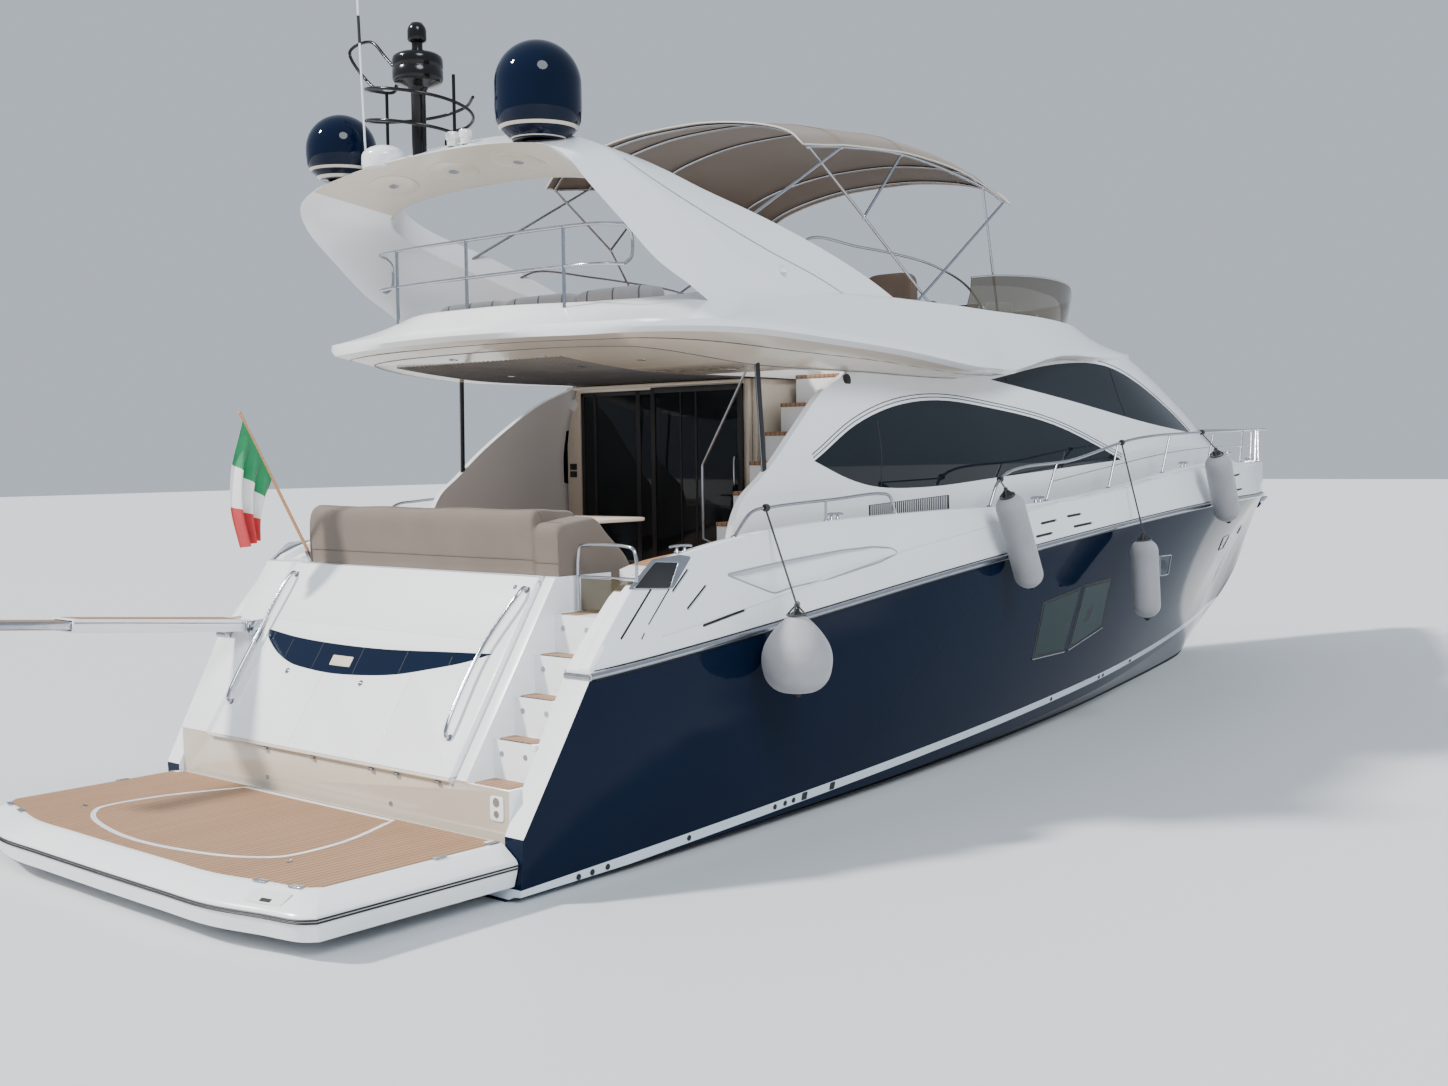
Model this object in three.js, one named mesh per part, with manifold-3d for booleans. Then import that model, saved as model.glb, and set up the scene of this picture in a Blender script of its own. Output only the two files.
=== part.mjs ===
// Motor yacht of about 22 m, lying afloat.
// Millimetres, +X to the bow, +Y to port, +Z up, heights from the waterline.
// Lengths are stations forward of the swim platform's aft edge; the group at the
// end sets the origin amidships.
import * as THREE from 'three';
import { mergeVertices } from 'three/addons/utils/BufferGeometryUtils.js';
import Module from 'manifold-3d';

const wasm = await Module();
wasm.setup();

// Driving dimensions
const ORIGIN_STATION = 11000;
const GAP = 0.3;
const TRANSOM = 2100;
const STEM = 21750;
const RECESS_HALF = 2280;
const RECESS_FLOOR = 400;
const COCKPIT_HALF = 2050;
const COCKPIT_AFT = 3600;
const SOLE = 2050;
const BULKHEAD = 6900;
const SALOON_HALF = 2000;
const SALOON_FORE = 13200;
const PLATFORM_TOP = 450;
const PLATFORM_ROD = 30;
const WALL = 70;

// Door of the tender garage: outer face from its sill to its hinge line
const DOOR = {
  sillX: 2140, sillZ: 845, topX: 3112, topZ: 2343, y0: -1600, y1: 1780, thick: 80, gap: 6, pin: 8, pinOut: 30,
};

// Shaft line, one on each side
const SHAFT = { y: 950, propX: 3250, propZ: -1060, angle: 9, radius: 32, insideX: 5900 };
const PROPELLER = { radius: 400, blades: 5, hub: 75, pitch: 32 };
const RUDDER = { x: 2640, stock: 35, top: -480, bottom: -1330, chord: 430, thick: 46 };

// Hull lines: station, keel height, chine half-beam and height, sheer half-beam and height, flare
const HULL_TABLE = [
  [2100, -900, 2440, 60, 2540, 1600, 20],
  [3400, -960, 2420, 70, 2600, 1700, 20],
  [5200, -1040, 2360, 90, 2660, 1880, 20],
  [7500, -1090, 2240, 120, 2700, 2120, 10],
  [10000, -1110, 2020, 180, 2710, 2340, 0],
  [12500, -1090, 1700, 270, 2690, 2520, -30],
  [14500, -1010, 1340, 370, 2560, 2610, -60],
  [16500, -820, 920, 490, 2170, 2620, -90],
  [18000, -450, 560, 600, 1620, 2600, -90],
  [19200, 290, 210, 660, 1150, 2570, -70],
  [20000, 700, 30, 730, 850, 2540, -50],
  [20800, 1190, 20, 1210, 520, 2500, -20],
  [21400, 1830, 14, 1850, 230, 2460, -4],
  [STEM, 2380, 8, 2385, 24, 2430, 0],
];

// White topsides: station, bulwark half-beam and height, depth of the side deck below it
const DECK_TABLE = [
  [2760, 2530, 1700, 20],
  [3050, 2520, 2050, 40],
  [3400, 2510, 2380, 60],
  [4100, 2520, 2560, 90],
  [5400, 2530, 2690, 180],
  [7500, 2550, 2740, 260],
  [9500, 2550, 2750, 260],
  [11500, 2530, 2880, 240],
  [13800, 2440, 3100, 220],
  [16000, 2170, 3110, 180],
  [18000, 1540, 3090, 140],
  [19500, 1000, 3080, 110],
  [20600, 600, 3070, 90],
  [21300, 250, 3060, 60],
  [STEM, 22, 3040, 30],
];

// House: height, half-width, station where the front begins to round, station of the front
const HOUSE_TABLE = [
  [2350, 2120, 13300, 19300],
  [2900, 2130, 13250, 19100],
  [3200, 2140, 13150, 18350],
  [3370, 2130, 13000, 17450],
  [3700, 2060, 12800, 16850],
  [4000, 1960, 12600, 16250],
  [4300, 1880, 12300, 15550],
  [4600, 1790, 12000, 14700],
];

// Flybridge outline from aft to fore, for one side: station, half-beam and height of the outer
// edge, then station, half-beam and height of the coaming top, then its inner edge
const FLY_TABLE = [
  [3450, 0, 4400, 3700, 0, 4650, 3820, 0],
  [3460, 600, 4395, 3720, 500, 4650, 3840, 480],
  [3500, 1180, 4385, 3850, 900, 4650, 3960, 830],
  [3600, 1700, 4375, 4100, 1250, 4660, 4200, 1150],
  [3800, 2100, 4385, 4420, 1620, 4690, 4500, 1490],
  [4300, 2370, 4400, 4850, 1930, 4745, 4900, 1790],
  [5000, 2450, 4405, 5280, 2080, 4790, 5290, 1940],
  [6000, 2460, 4365, 6000, 2120, 4820, 6000, 1990],
  [7200, 2450, 4305, 7200, 2110, 4850, 7200, 1990],
  [8500, 2390, 4205, 8500, 2060, 4860, 8500, 1930],
  [9100, 2320, 4200, 9100, 2015, 4860, 9100, 1880],
  [9700, 2230, 4210, 9700, 1960, 4860, 9700, 1820],
  [11000, 2050, 4420, 11000, 1820, 4870, 10900, 1660],
  [12300, 1900, 4450, 12000, 1660, 4840, 11700, 1440],
  [13250, 1720, 4480, 12700, 1420, 4770, 12200, 1100],
  [14000, 1420, 4510, 13400, 1130, 4700, 12500, 740],
  [14650, 940, 4530, 13900, 740, 4655, 12650, 380],
  [14880, 480, 4540, 14100, 370, 4645, 12700, 180],
  [14950, 0, 4540, 14150, 0, 4640, 12720, 0],
];
const FLY_FLOOR = 4430;
const FLY_UNDER = [
  [3450, 4330],
  [4100, 4245],
  [4750, 4170],
  [5450, 4120],
  [7000, 4110],
  [9000, 4110],
  [10500, 4280],
  [12500, 4400],
  [15400, 4500],
];

// Shape helpers

// Smooth reading of a table over its first column
function along(rows) {
  const slope = (i, c) => {
    const a = rows[Math.max(i - 1, 0)];
    const b = rows[Math.min(i + 1, rows.length - 1)];
    return (b[c] - a[c]) / (b[0] - a[0]);
  };
  return (x) => {
    const at = THREE.MathUtils.clamp(x, rows[0][0], rows.at(-1)[0]);
    let i = 0;
    while (i < rows.length - 2 && rows[i + 1][0] < at) i += 1;
    const span = rows[i + 1][0] - rows[i][0];
    const t = (at - rows[i][0]) / span;
    const value = (c) => (2 * t ** 3 - 3 * t ** 2 + 1) * rows[i][c]
      + (t ** 3 - 2 * t ** 2 + t) * span * slope(i, c)
      + (3 * t ** 2 - 2 * t ** 3) * rows[i + 1][c]
      + (t ** 3 - t ** 2) * span * slope(i + 1, c);
    return rows[i].slice(1).map((_, c) => value(c + 1));
  };
}

const hullAt = along(HULL_TABLE);
const deckAt = along(DECK_TABLE);
const houseAt = along(HOUSE_TABLE);
const flyAt = along(FLY_TABLE);
const flyUnderAt = along(FLY_UNDER);
const mix = THREE.MathUtils.lerp;

function signedVolume(points, faces) {
  const [a, b, c] = [new THREE.Vector3(), new THREE.Vector3(), new THREE.Vector3()];
  let sum = 0;
  for (let i = 0; i < faces.length; i += 3) {
    a.fromArray(points, 3 * faces[i]);
    b.fromArray(points, 3 * faces[i + 1]);
    c.fromArray(points, 3 * faces[i + 2]);
    sum += a.dot(b.cross(c)) / 6;
  }
  return sum;
}

// Closed geometry from points and faces, turned to face outwards
function closed(points, faces) {
  if (signedVolume(points, faces) < 0) faces.reverse();
  const geometry = new THREE.BufferGeometry();
  geometry.setAttribute('position', new THREE.Float32BufferAttribute(points, 3));
  geometry.setIndex(faces);
  return geometry;
}

// Solid through rings of equal count, with flat ends; drop is the axis left out for the ends,
// and without it the end rings are convex
function loft(rings, drop) {
  const count = rings[0].length;
  const faces = [];
  for (let r = 0; r + 1 < rings.length; r += 1) {
    for (let i = 0; i < count; i += 1) {
      const j = (i + 1) % count;
      const [a, b, c, d] = [r * count + i, r * count + j, (r + 1) * count + j, (r + 1) * count + i];
      faces.push(a, b, c, a, c, d);
    }
  }
  const keep = [0, 1, 2].filter((axis) => axis !== drop);
  const end = (ring, base, forward) => {
    if (drop === undefined) {
      for (let k = 1; k + 1 < count; k += 1) {
        faces.push(base, base + (forward ? k : k + 1), base + (forward ? k + 1 : k));
      }
      return;
    }
    const flat = ring.map((p) => new THREE.Vector2(p[keep[0]], p[keep[1]]));
    const sense = THREE.ShapeUtils.isClockWise(flat);
    for (const tri of THREE.ShapeUtils.triangulateShape(flat, [])) {
      const same = THREE.ShapeUtils.isClockWise(tri.map((k) => flat[k])) === sense;
      const order = same === forward ? tri : [...tri].reverse();
      faces.push(...order.map((k) => base + k));
    }
  };
  end(rings[0], 0, false);
  end(rings.at(-1), (rings.length - 1) * count, true);
  return closed(rings.flat(2), faces);
}

function toSolid(geometry) {
  const bare = geometry.clone();
  bare.deleteAttribute('normal');
  bare.deleteAttribute('uv');
  const merged = mergeVertices(bare, 1e-3);
  return new wasm.Manifold(new wasm.Mesh({
    numProp: 3,
    vertProperties: merged.attributes.position.array,
    triVerts: Uint32Array.from(merged.index.array),
  }));
}

function fromSolid(solid) {
  const mesh = solid.getMesh();
  const geometry = new THREE.BufferGeometry();
  geometry.setAttribute('position', new THREE.BufferAttribute(mesh.vertProperties, 3));
  geometry.setIndex(new THREE.BufferAttribute(mesh.triVerts, 1));
  return geometry;
}

const join = (...parts) => fromSolid(parts.map(toSolid).reduce((sum, part) => sum.add(part)));
const cut = (part, ...tools) => fromSolid(
  tools.map(toSolid).reduce((rest, tool) => rest.subtract(tool), toSolid(part)));
const keepInside = (part, tool) => fromSolid(toSolid(part).intersect(toSolid(tool)));

const box = (x0, x1, y0, y1, z0, z1) => new THREE.BoxGeometry(x1 - x0, y1 - y0, z1 - z0)
  .translate((x0 + x1) / 2, (y0 + y1) / 2, (z0 + z1) / 2);

// Plate of an outline drawn in x and z, between two values of y
function sidePlate(outline, y0, y1) {
  const shape = new THREE.Shape(outline.map(([x, z]) => new THREE.Vector2(x, z)));
  return new THREE.ExtrudeGeometry(shape, { depth: y1 - y0, bevelEnabled: false, curveSegments: 8 })
    .rotateX(Math.PI / 2)
    .translate(0, y1, 0);
}

// Plate of an outline drawn in x and y, between two heights
function flatPlate(outline, z0, z1) {
  const shape = new THREE.Shape(outline.map(([x, y]) => new THREE.Vector2(x, y)));
  return new THREE.ExtrudeGeometry(shape, { depth: z1 - z0, bevelEnabled: false })
    .translate(0, 0, z0);
}

// Plate of an outline drawn in y and z, between two stations
function crossPlate(outline, x0, x1) {
  const shape = new THREE.Shape(outline.map(([y, z]) => new THREE.Vector2(y, z)));
  return new THREE.ExtrudeGeometry(shape, { depth: x1 - x0, bevelEnabled: false })
    .rotateX(Math.PI / 2)
    .rotateZ(Math.PI / 2)
    .translate(x0, 0, 0);
}

// Outline drawn in towards its middle
function shrunk(outline, by) {
  const centre = [0, 1].map((k) => outline.reduce((sum, p) => sum + p[k], 0) / outline.length);
  const size = Math.max(...outline.map((p) => Math.hypot(p[0] - centre[0], p[1] - centre[1])));
  return outline.map((p) => p.map((v, k) => centre[k] + (v - centre[k]) * (1 - by / size)));
}

const vec = (p) => new THREE.Vector3(...p);

function bar(from, to, radius, sides = 5, phase = 0) {
  const a = vec(from);
  const b = vec(to);
  const turn = new THREE.Quaternion()
    .setFromUnitVectors(new THREE.Vector3(0, 1, 0), b.clone().sub(a).normalize());
  return new THREE.CylinderGeometry(radius, radius, a.distanceTo(b), sides)
    .rotateY(phase)
    .applyQuaternion(turn)
    .translate(...a.clone().add(b).multiplyScalar(0.5).toArray());
}

// Twelve-sided hole for a twelve-sided bar of radius r, clear of it at every angle
const bore = (from, to, r) => bar(from, to, (r + GAP) / Math.cos(Math.PI / 12), 12, Math.PI / 12);

const curveThrough = (points) => new THREE.CatmullRomCurve3(points.map(vec), false, 'centripetal');

// Tube through points, with a number of straight pieces between each two of them
function tube(points, radius, each = 2, sides = 5) {
  const path = curveThrough(points).getPoints(each * (points.length - 1));
  const side = new THREE.Vector3(0.3, 0.5, 0.8);
  const rings = path.map((p, i) => {
    const tangent = path[Math.min(i + 1, path.length - 1)].clone().sub(path[Math.max(i - 1, 0)]).normalize();
    side.addScaledVector(tangent, -side.dot(tangent)).normalize();
    const up = tangent.clone().cross(side);
    return Array.from({ length: sides }, (_, k) => {
      const angle = (2 * Math.PI * k) / sides;
      return p.clone()
        .addScaledVector(side, radius * Math.cos(angle))
        .addScaledVector(up, radius * Math.sin(angle))
        .toArray();
    });
  });
  return loft(rings);
}

// Solid of revolution about a vertical axis from a profile of radius and height
const turned = (profile, segments = 20) => new THREE.LatheGeometry(
  profile.map(([r, z]) => new THREE.Vector2(r, z)), segments).rotateX(Math.PI / 2);

const dome = (radius, z0, z1, steps = 4) => Array.from({ length: steps + 1 }, (_, i) => {
  const angle = (Math.PI / 2) * (i / steps);
  return [i === steps ? 0 : radius * Math.cos(angle), mix(z0, z1, Math.sin(angle))];
});

const materials = {};
function material(name, color, roughness, metalness = 0) {
  materials[name] = new THREE.MeshStandardMaterial({ name, color, roughness, metalness });
}
material('navy', 0x0b1526, 0.12);
material('white', 0xf2f2ee, 0.25);
material('cream', 0xdad2c4, 0.5);
material('teak', 0xb98552, 0.7);
material('glass', 0x10181f, 0.08);
material('steel', 0xc9ccd0, 0.22, 1);
material('black', 0x101114, 0.35);
material('canvas', 0x8d8072, 0.95);
material('fender', 0xb9b4b0, 0.95);
material('bronze', 0xa9814b, 0.35, 1);
material('engine', 0xd8d8d4, 0.5);
material('flag', 0xeeeeee, 0.9);

const boat = new THREE.Group();
boat.position.x = -ORIGIN_STATION;

function add(name, materialName, geometry) {
  const mesh = new THREE.Mesh(geometry, materials[materialName]);
  mesh.name = name;
  boat.add(mesh);
}

// Hull

function hullRing(x) {
  const [keel, chineY, chineZ, sheerY, sheerZ, flare] = hullAt(x);
  const side = (t) => [mix(chineY, sheerY, t) + flare * 4 * t * (1 - t), mix(chineZ, sheerZ, t)];
  const half = [
    [chineY * 0.5, mix(keel, chineZ, 0.5) - 25 * Math.min(1, chineY / 1000)],
    [chineY * 0.97, chineZ - 8],
    [chineY, chineZ],
    side(0.33),
    side(0.67),
    [sheerY, sheerZ],
  ];
  const starboard = half.map(([y, z]) => [x, -y, z]);
  const port = half.map(([y, z]) => [x, y, z]).reverse();
  return [[x, 0, keel], ...starboard, ...port];
}

const HULL_STATIONS = [2100, 2760, 3050, 3400, 4100, 5400, 6500, 7500, 8700, 10000, 11200, 12500, 13500,
  14500, 15500, 16500, 17300, 18000, 18600, 19200, 19600, 20000, 20400, 20800, 21100, 21400, STEM];

const shaftHeight = (x) => SHAFT.propZ
  + (x - SHAFT.propX) * Math.tan(THREE.MathUtils.degToRad(SHAFT.angle));

function shaftBracket(y) {
  const x = SHAFT.propX + 300;
  const z = shaftHeight(x);
  const slope = Math.tan(THREE.MathUtils.degToRad(SHAFT.angle));
  const barrel = bar([x - 90, y, z - 90 * slope], [x + 90, y, z + 90 * slope], 58, 12);
  const strut = (dy) => sidePlate([[-45, z], [45, z], [95, -480], [-35, -480]]
    .map(([dx, height]) => [x + dx, height]), y + dy - 11, y + dy + 11);
  return join(barrel, strut(-30), strut(30));
}

function guideNotch(side) {
  return box(TRANSOM - 50, TRANSOM + 200, side * 500 - 80, side * 500 + 80, -430, 360);
}

const hullBody = () => loft(HULL_STATIONS.map(hullRing), 0);

function makeHull() {
  const quarter = sidePlate([[1900, 500], [TRANSOM, 500], [2740, 1640], [2760, 2200], [1900, 2200]],
    -3000, 3000);
  const recess = box(1900, BULKHEAD + 200, -RECESS_HALF, RECESS_HALF, RECESS_FLOOR, 3000);
  const enginePocket = box(4900, 7060, -1500, 1500, -300, 700);
  const saloonWell = box(BULKHEAD, SALOON_FORE, -SALOON_HALF, SALOON_HALF, SOLE, 3000);
  const bores = [-1, 1].map((side) => bore(
    [SHAFT.propX - 400, side * SHAFT.y, shaftHeight(SHAFT.propX - 400)],
    [SHAFT.insideX, side * SHAFT.y, shaftHeight(SHAFT.insideX)], SHAFT.radius));
  const stocks = [-1, 1].map((side) => bore([RUDDER.x, side * SHAFT.y, -2000],
    [RUDDER.x, side * SHAFT.y, 200], RUDDER.stock));
  const hull = cut(hullBody(), quarter, recess, enginePocket, saloonWell, guideNotch(-1), guideNotch(1));
  const rods = [-1, 1].map((side) => bar([TRANSOM + 120, side * 500, -440],
    [TRANSOM + 120, side * 500, 370], PLATFORM_ROD, 12));
  const brackets = [-1, 1].map((side) => shaftBracket(side * SHAFT.y));
  return cut(join(hull, ...rods, ...brackets), ...bores, ...stocks);
}

// Half-round metal strake along the joint of the hull and the white topsides
function makeStrake() {
  const depth = 34;
  const high = 28;
  const stations = [...HULL_STATIONS.filter((x) => x > 2700), STEM + depth];
  const half = (side) => loft(stations.map((x) => {
    const [, , , y, z] = hullAt(x);
    return [
      [x, side * (y + GAP), z - high],
      [x, side * (y + GAP), z + high],
      [x, side * (y + depth), z + high * 0.5],
      [x, side * (y + depth), z - high * 0.5],
    ];
  }), 0);
  const [, , , y, z] = hullAt(STEM);
  const nose = box(STEM + GAP, STEM + depth, -y - 10, y + 10, z - high, z + high);
  return join(half(-1), half(1), nose);
}

// White topsides with bulwarks, side decks and foredeck

const ANCHOR_Z = 2560;

const DECK_STATIONS = HULL_STATIONS.slice(1);

function deckRing(x) {
  const [, , , sheerY, sheerZ] = hullAt(x);
  const [bulwarkY, bulwarkZ, drop] = deckAt(x);
  const cap = Math.min(110, bulwarkY * 0.3);
  const half = [
    [sheerY, sheerZ + GAP],
    [mix(sheerY, bulwarkY, 0.35), mix(sheerZ, bulwarkZ, 0.55)],
    [bulwarkY, bulwarkZ],
    [bulwarkY - cap, bulwarkZ],
    [bulwarkY - cap * 1.25, bulwarkZ - drop],
  ];
  const starboard = half.map(([y, z]) => [x, -y, z]);
  const port = half.map(([y, z]) => [x, y, z]).reverse();
  return [...starboard, [x, 0, bulwarkZ - drop + 20], ...port];
}

function makeDeck() {
  const body = loft(DECK_STATIONS.map(deckRing), 0);
  const hawse = box(STEM - 260, STEM + 20, -18 - GAP, 18 + GAP, ANCHOR_Z + 180 - GAP,
    ANCHOR_Z + 240 + GAP);
  const lowRecess = box(1900, BULKHEAD + 200, -RECESS_HALF, RECESS_HALF, 0, SOLE + GAP);
  const quarterWell = box(1900, COCKPIT_AFT, -RECESS_HALF, RECESS_HALF, SOLE, 4000);
  const cockpit = box(COCKPIT_AFT - 1, BULKHEAD + 200, -COCKPIT_HALF, COCKPIT_HALF, SOLE, 4000);
  const saloon = box(BULKHEAD, SALOON_FORE, -SALOON_HALF, SALOON_HALF, SOLE - 500, 4000);
  return cut(body, hawse, lowRecess, quarterWell, cockpit, saloon);
}

// Lengths of the topsides: the foredeck, and one side deck with its bulwark on each side of the house
const foredeck = () => keepInside(makeDeck(), box(SALOON_FORE + GAP, STEM + 500, -4000, 4000, 0, 6000));
const topsides = (side) => keepInside(makeDeck(), box(2000, SALOON_FORE, side * 2000 - 1999.9,
  side * 2000 + 1999.9, 0, 6000));

// Point on the garage door's outer face, at a share of its height and a distance outwards
function doorPoint(t, out) {
  const dx = DOOR.topX - DOOR.sillX;
  const dz = DOOR.topZ - DOOR.sillZ;
  const length = Math.hypot(dx, dz);
  return [DOOR.sillX + dx * t - (dz / length) * out, DOOR.sillZ + dz * t + (dx / length) * out];
}

// Plate in the door's plane, of an outline in y and in lengths up the slope from the sill, between
// two depths below its face
const doorPlate = (outline, from, to) => crossPlate(outline, from, to)
  .rotateY(Math.atan2(DOOR.topX - DOOR.sillX, DOOR.topZ - DOOR.sillZ))
  .translate(DOOR.sillX, 0, DOOR.sillZ);

// Hinge pin of the door, just under its upper edge
const DOOR_PIN = doorPoint(0.985, -25);

// Cockpit moulding with the garage, the stairs, the sofa base and the sole

const STAIR_STEPS = 4;
const STAIR_RISE = (SOLE - 2 * 415) / STAIR_STEPS;

function stairCut() {
  const outline = [[2000, 830]];
  for (let i = 0; i < STAIR_STEPS; i += 1) {
    outline.push([2420 + 225 * i, 830 + STAIR_RISE * i]);
    outline.push([2420 + 225 * i, 830 + STAIR_RISE * (i + 1)]);
  }
  outline.push([3900, SOLE], [3900, 3200], [2000, 3200]);
  return sidePlate(outline, -3000, -1800);
}

function makeCockpit() {
  const { sillX, sillZ, topX, topZ, y0, y1 } = DOOR;
  const body = sidePlate([[2150, RECESS_FLOOR + GAP], [2150, 820], [sillX, sillZ], [topX, topZ],
    [topX + 30, 2350], [3750, 2350], [3750, SOLE], [BULKHEAD + 200 - GAP, SOLE],
    [BULKHEAD + 200 - GAP, RECESS_FLOOR + GAP]], -RECESS_HALF + GAP, RECESS_HALF - GAP);
  const garage = sidePlate([[1900, 839], [2247, 839], [2247, 560], [4700, 560], [4700, 1900],
    [3300, 1900], [3300, 2290], [3192, 2296], [3125, 2360], [1900, 2360]], y0 - DOOR.gap,
  y1 + DOOR.gap);
  const [pinX, pinZ] = DOOR_PIN;
  const pinReach = DOOR.pinOut + 5;
  const pinHole = bore([pinX, y0 - pinReach, pinZ], [pinX, y1 + pinReach, pinZ], DOOR.pin);
  const engineRoom = box(4900, 6800, -1500, 1500, 300, 1100);
  const forward = [-1, 1].map((side) => box(COCKPIT_AFT, BULKHEAD, side * 2250 - 200,
    side * 2250 + 200, SOLE - 0.1, 3000));
  return join(cut(body, garage, pinHole, engineRoom, stairCut(), ...forward), ...gangwayFork());
}

// Garage door with its two hand rails, and its dark glass strip in the shape of a crescent
const DOOR_GLASS = [[-1470, 1072], [-1190, 972], [-780, 870], [-400, 789], [0, 745], [450, 723],
  [800, 736], [1110, 768], [1375, 848], [1540, 929], [1660, 1009], [1700, 1077], [1200, 1027], [600, 1004],
  [0, 1004], [-400, 1018], [-900, 1045]];
// Half-beams of each rail low down, half way up and high up
const DOOR_RAILS = [[-1400, -1390, -1540], [1700, 1715, 1690]];


function makeGarageDoor() {
  const { y0, y1, thick, sillZ } = DOOR;
  const [innerX, innerZ] = doorPoint(0, -thick);
  const [upX, upZ] = doorPoint(1, -thick);
  const rise = (sillZ - innerZ) / (upZ - innerZ);
  const slab = sidePlate([doorPoint(0, 0), doorPoint(1, 0), [upX, upZ],
    [mix(innerX, upX, rise), sillZ]], y0, y1);
  const strip = doorPlate(DOOR_GLASS, -20, 20);
  const rails = DOOR_RAILS.map(([low, middle, high]) => {
    const at = (y, t, out) => {
      const [x, z] = doorPoint(t, out);
      return [x, y, z];
    };
    return tube([at(low, 0.18, -20), at(low, 0.18, 45), at(low, 0.21, 70), at(middle, 0.58, 70),
      at(high, 0.9, 70), at(high, 0.93, 45), at(high, 0.93, -20)], 16);
  });
  const [pinX, pinZ] = DOOR_PIN;
  const pin = bar([pinX, y0 - DOOR.pinOut, pinZ], [pinX, y1 + DOOR.pinOut, pinZ], DOOR.pin, 12);
  return join(cut(slab, strip), pin, ...rails);
}

const doorGlass = () => doorPlate(shrunk(DOOR_GLASS, 0.6), 0, 20 - GAP);

// Swim platform, carried on the two rods in the transom

const PLATFORM_RIM = [[70, 0], [75, 900], [85, 1500], [190, 2000], [260, 2330], [340, 2420], [2090, 2430]];

function makePlatform() {
  const rim = (inset, z) => PLATFORM_RIM
    .map(([x, y]) => [x + (x < 2000 ? inset : 0), Math.max(y - inset, 0), z]);
  const ring = (inset, z) => {
    const half = rim(inset, z);
    const other = half.slice(1).reverse().map(([x, y, h]) => [x, -y, h]);
    return [...half, ...other];
  };
  const slab = loft([ring(240, 95), ring(45, 140), ring(0, 300), ring(0, 390), ring(30, PLATFORM_TOP)], 2);
  const lug = (side) => box(2040, 2290, side * 500 - 55, side * 500 + 55, 60, 330);
  const hole = (side) => bore([TRANSOM + 120, side * 500, -100], [TRANSOM + 120, side * 500, 600],
    PLATFORM_ROD);
  return cut(join(slab, lug(-1), lug(1)), hole(-1), hole(1));
}

// House shell with cut windows

function houseRing(z, inset, aft) {
  const [halfWidth, roundFrom, front] = houseAt(z);
  const w = halfWidth - inset;
  const xf = front - inset * 1.8;
  const half = [[aft, w], [9000, w], [11000, w]];
  const steps = 10;
  for (let i = 0; i <= steps; i += 1) {
    const angle = (Math.PI / 2) * (i / steps);
    half.push([mix(roundFrom, xf, Math.sin(angle) ** 0.92), w * Math.cos(angle) ** 0.92]);
  }
  half.at(-1)[1] = 0;
  const starboard = half.map(([x, y]) => [x, -y, z]);
  const port = half.slice(0, -1).map(([x, y]) => [x, y, z]).reverse();
  return [...starboard, ...port];
}

const HOUSE_LEVELS = HOUSE_TABLE.map((row) => row[0]);
const houseBody = (inset, aft, low = 0, high = 0) => {
  const levels = [...HOUSE_LEVELS];
  levels[0] -= low;
  levels[levels.length - 1] += high;
  return loft(levels.map((z) => houseRing(z, inset, aft)), 2);
};

const LOWER_WINDOW = [[6120, 3250], [6850, 3590], [7620, 3790], [8450, 3860], [9460, 3790],
  [10790, 3610], [12350, 3190], [9450, 3030], [8070, 2960], [7170, 2980], [6670, 3070]];
const UPPER_WINDOW = [[9620, 4110], [11190, 4335], [12450, 4360], [13560, 4090], [14830, 3520],
  [13280, 3640], [11190, 3920]];
const WINDSCREEN = [[-1430, 3610], [1430, 3610], [1180, 4390], [0, 4420], [-1180, 4390]];

// Everything above the underside of the flybridge, and everything below the deck surface
const skyTool = () => loft([...flyRings().slice(0, 3), flyRing(([x, y]) => [x, y, 6000])], 2)
  .translate(0, 0, -GAP);
const deckTool = () => loft(DECK_STATIONS.map((x) => deckRing(x)
  .map(([, y, z], i, ring) => [x, y, i === 0 || i === ring.length - 1 ? 1000 : z + GAP])), 0);

function makeHouse() {
  const outer = houseBody(0, 4900);
  const inner = houseBody(WALL, 4700, 400, 400);
  const aftEdge = sidePlate([[4000, 2300], [4900, 2300], [4950, 2660], [5090, 2920], [5370, 3130],
    [5810, 3480], [6430, 3900], [7000, 4150], [7600, 4700], [4000, 4800]], -3000, 3000);
  const windows = [-1, 1].flatMap((side) => [
    sidePlate(LOWER_WINDOW, side * 2400 - 900, side * 2400 + 900),
    sidePlate(UPPER_WINDOW, side * 2400 - 1300, side * 2400 + 1300),
  ]);
  const screen = crossPlate(WINDSCREEN, 13500, 19000);
  return cut(outer, inner, aftEdge, ...windows, screen, skyTool(), deckTool());
}

function glassLayer() {
  return cut(houseBody(18, 4900), houseBody(32, 4700, 400, 400));
}

const sideGlass = (outline, side, reach) => keepInside(glassLayer(),
  sidePlate(shrunk(outline, 0.6), side * 2400 - reach, side * 2400 + reach));

const makeWindscreen = () => keepInside(glassLayer(),
  crossPlate(shrunk(WINDSCREEN, 0.6), 13500, 19000));

let shell = null;
function houseShell() {
  shell ??= makeHouse();
  return shell.clone();
}

// Flybridge moulding

function flyRing(pick) {
  const half = FLY_TABLE.map(pick);
  const port = half.slice(1, -1).reverse();
  return [...half.map(([x, y, z]) => [x, -y, z]), ...port];
}

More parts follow.
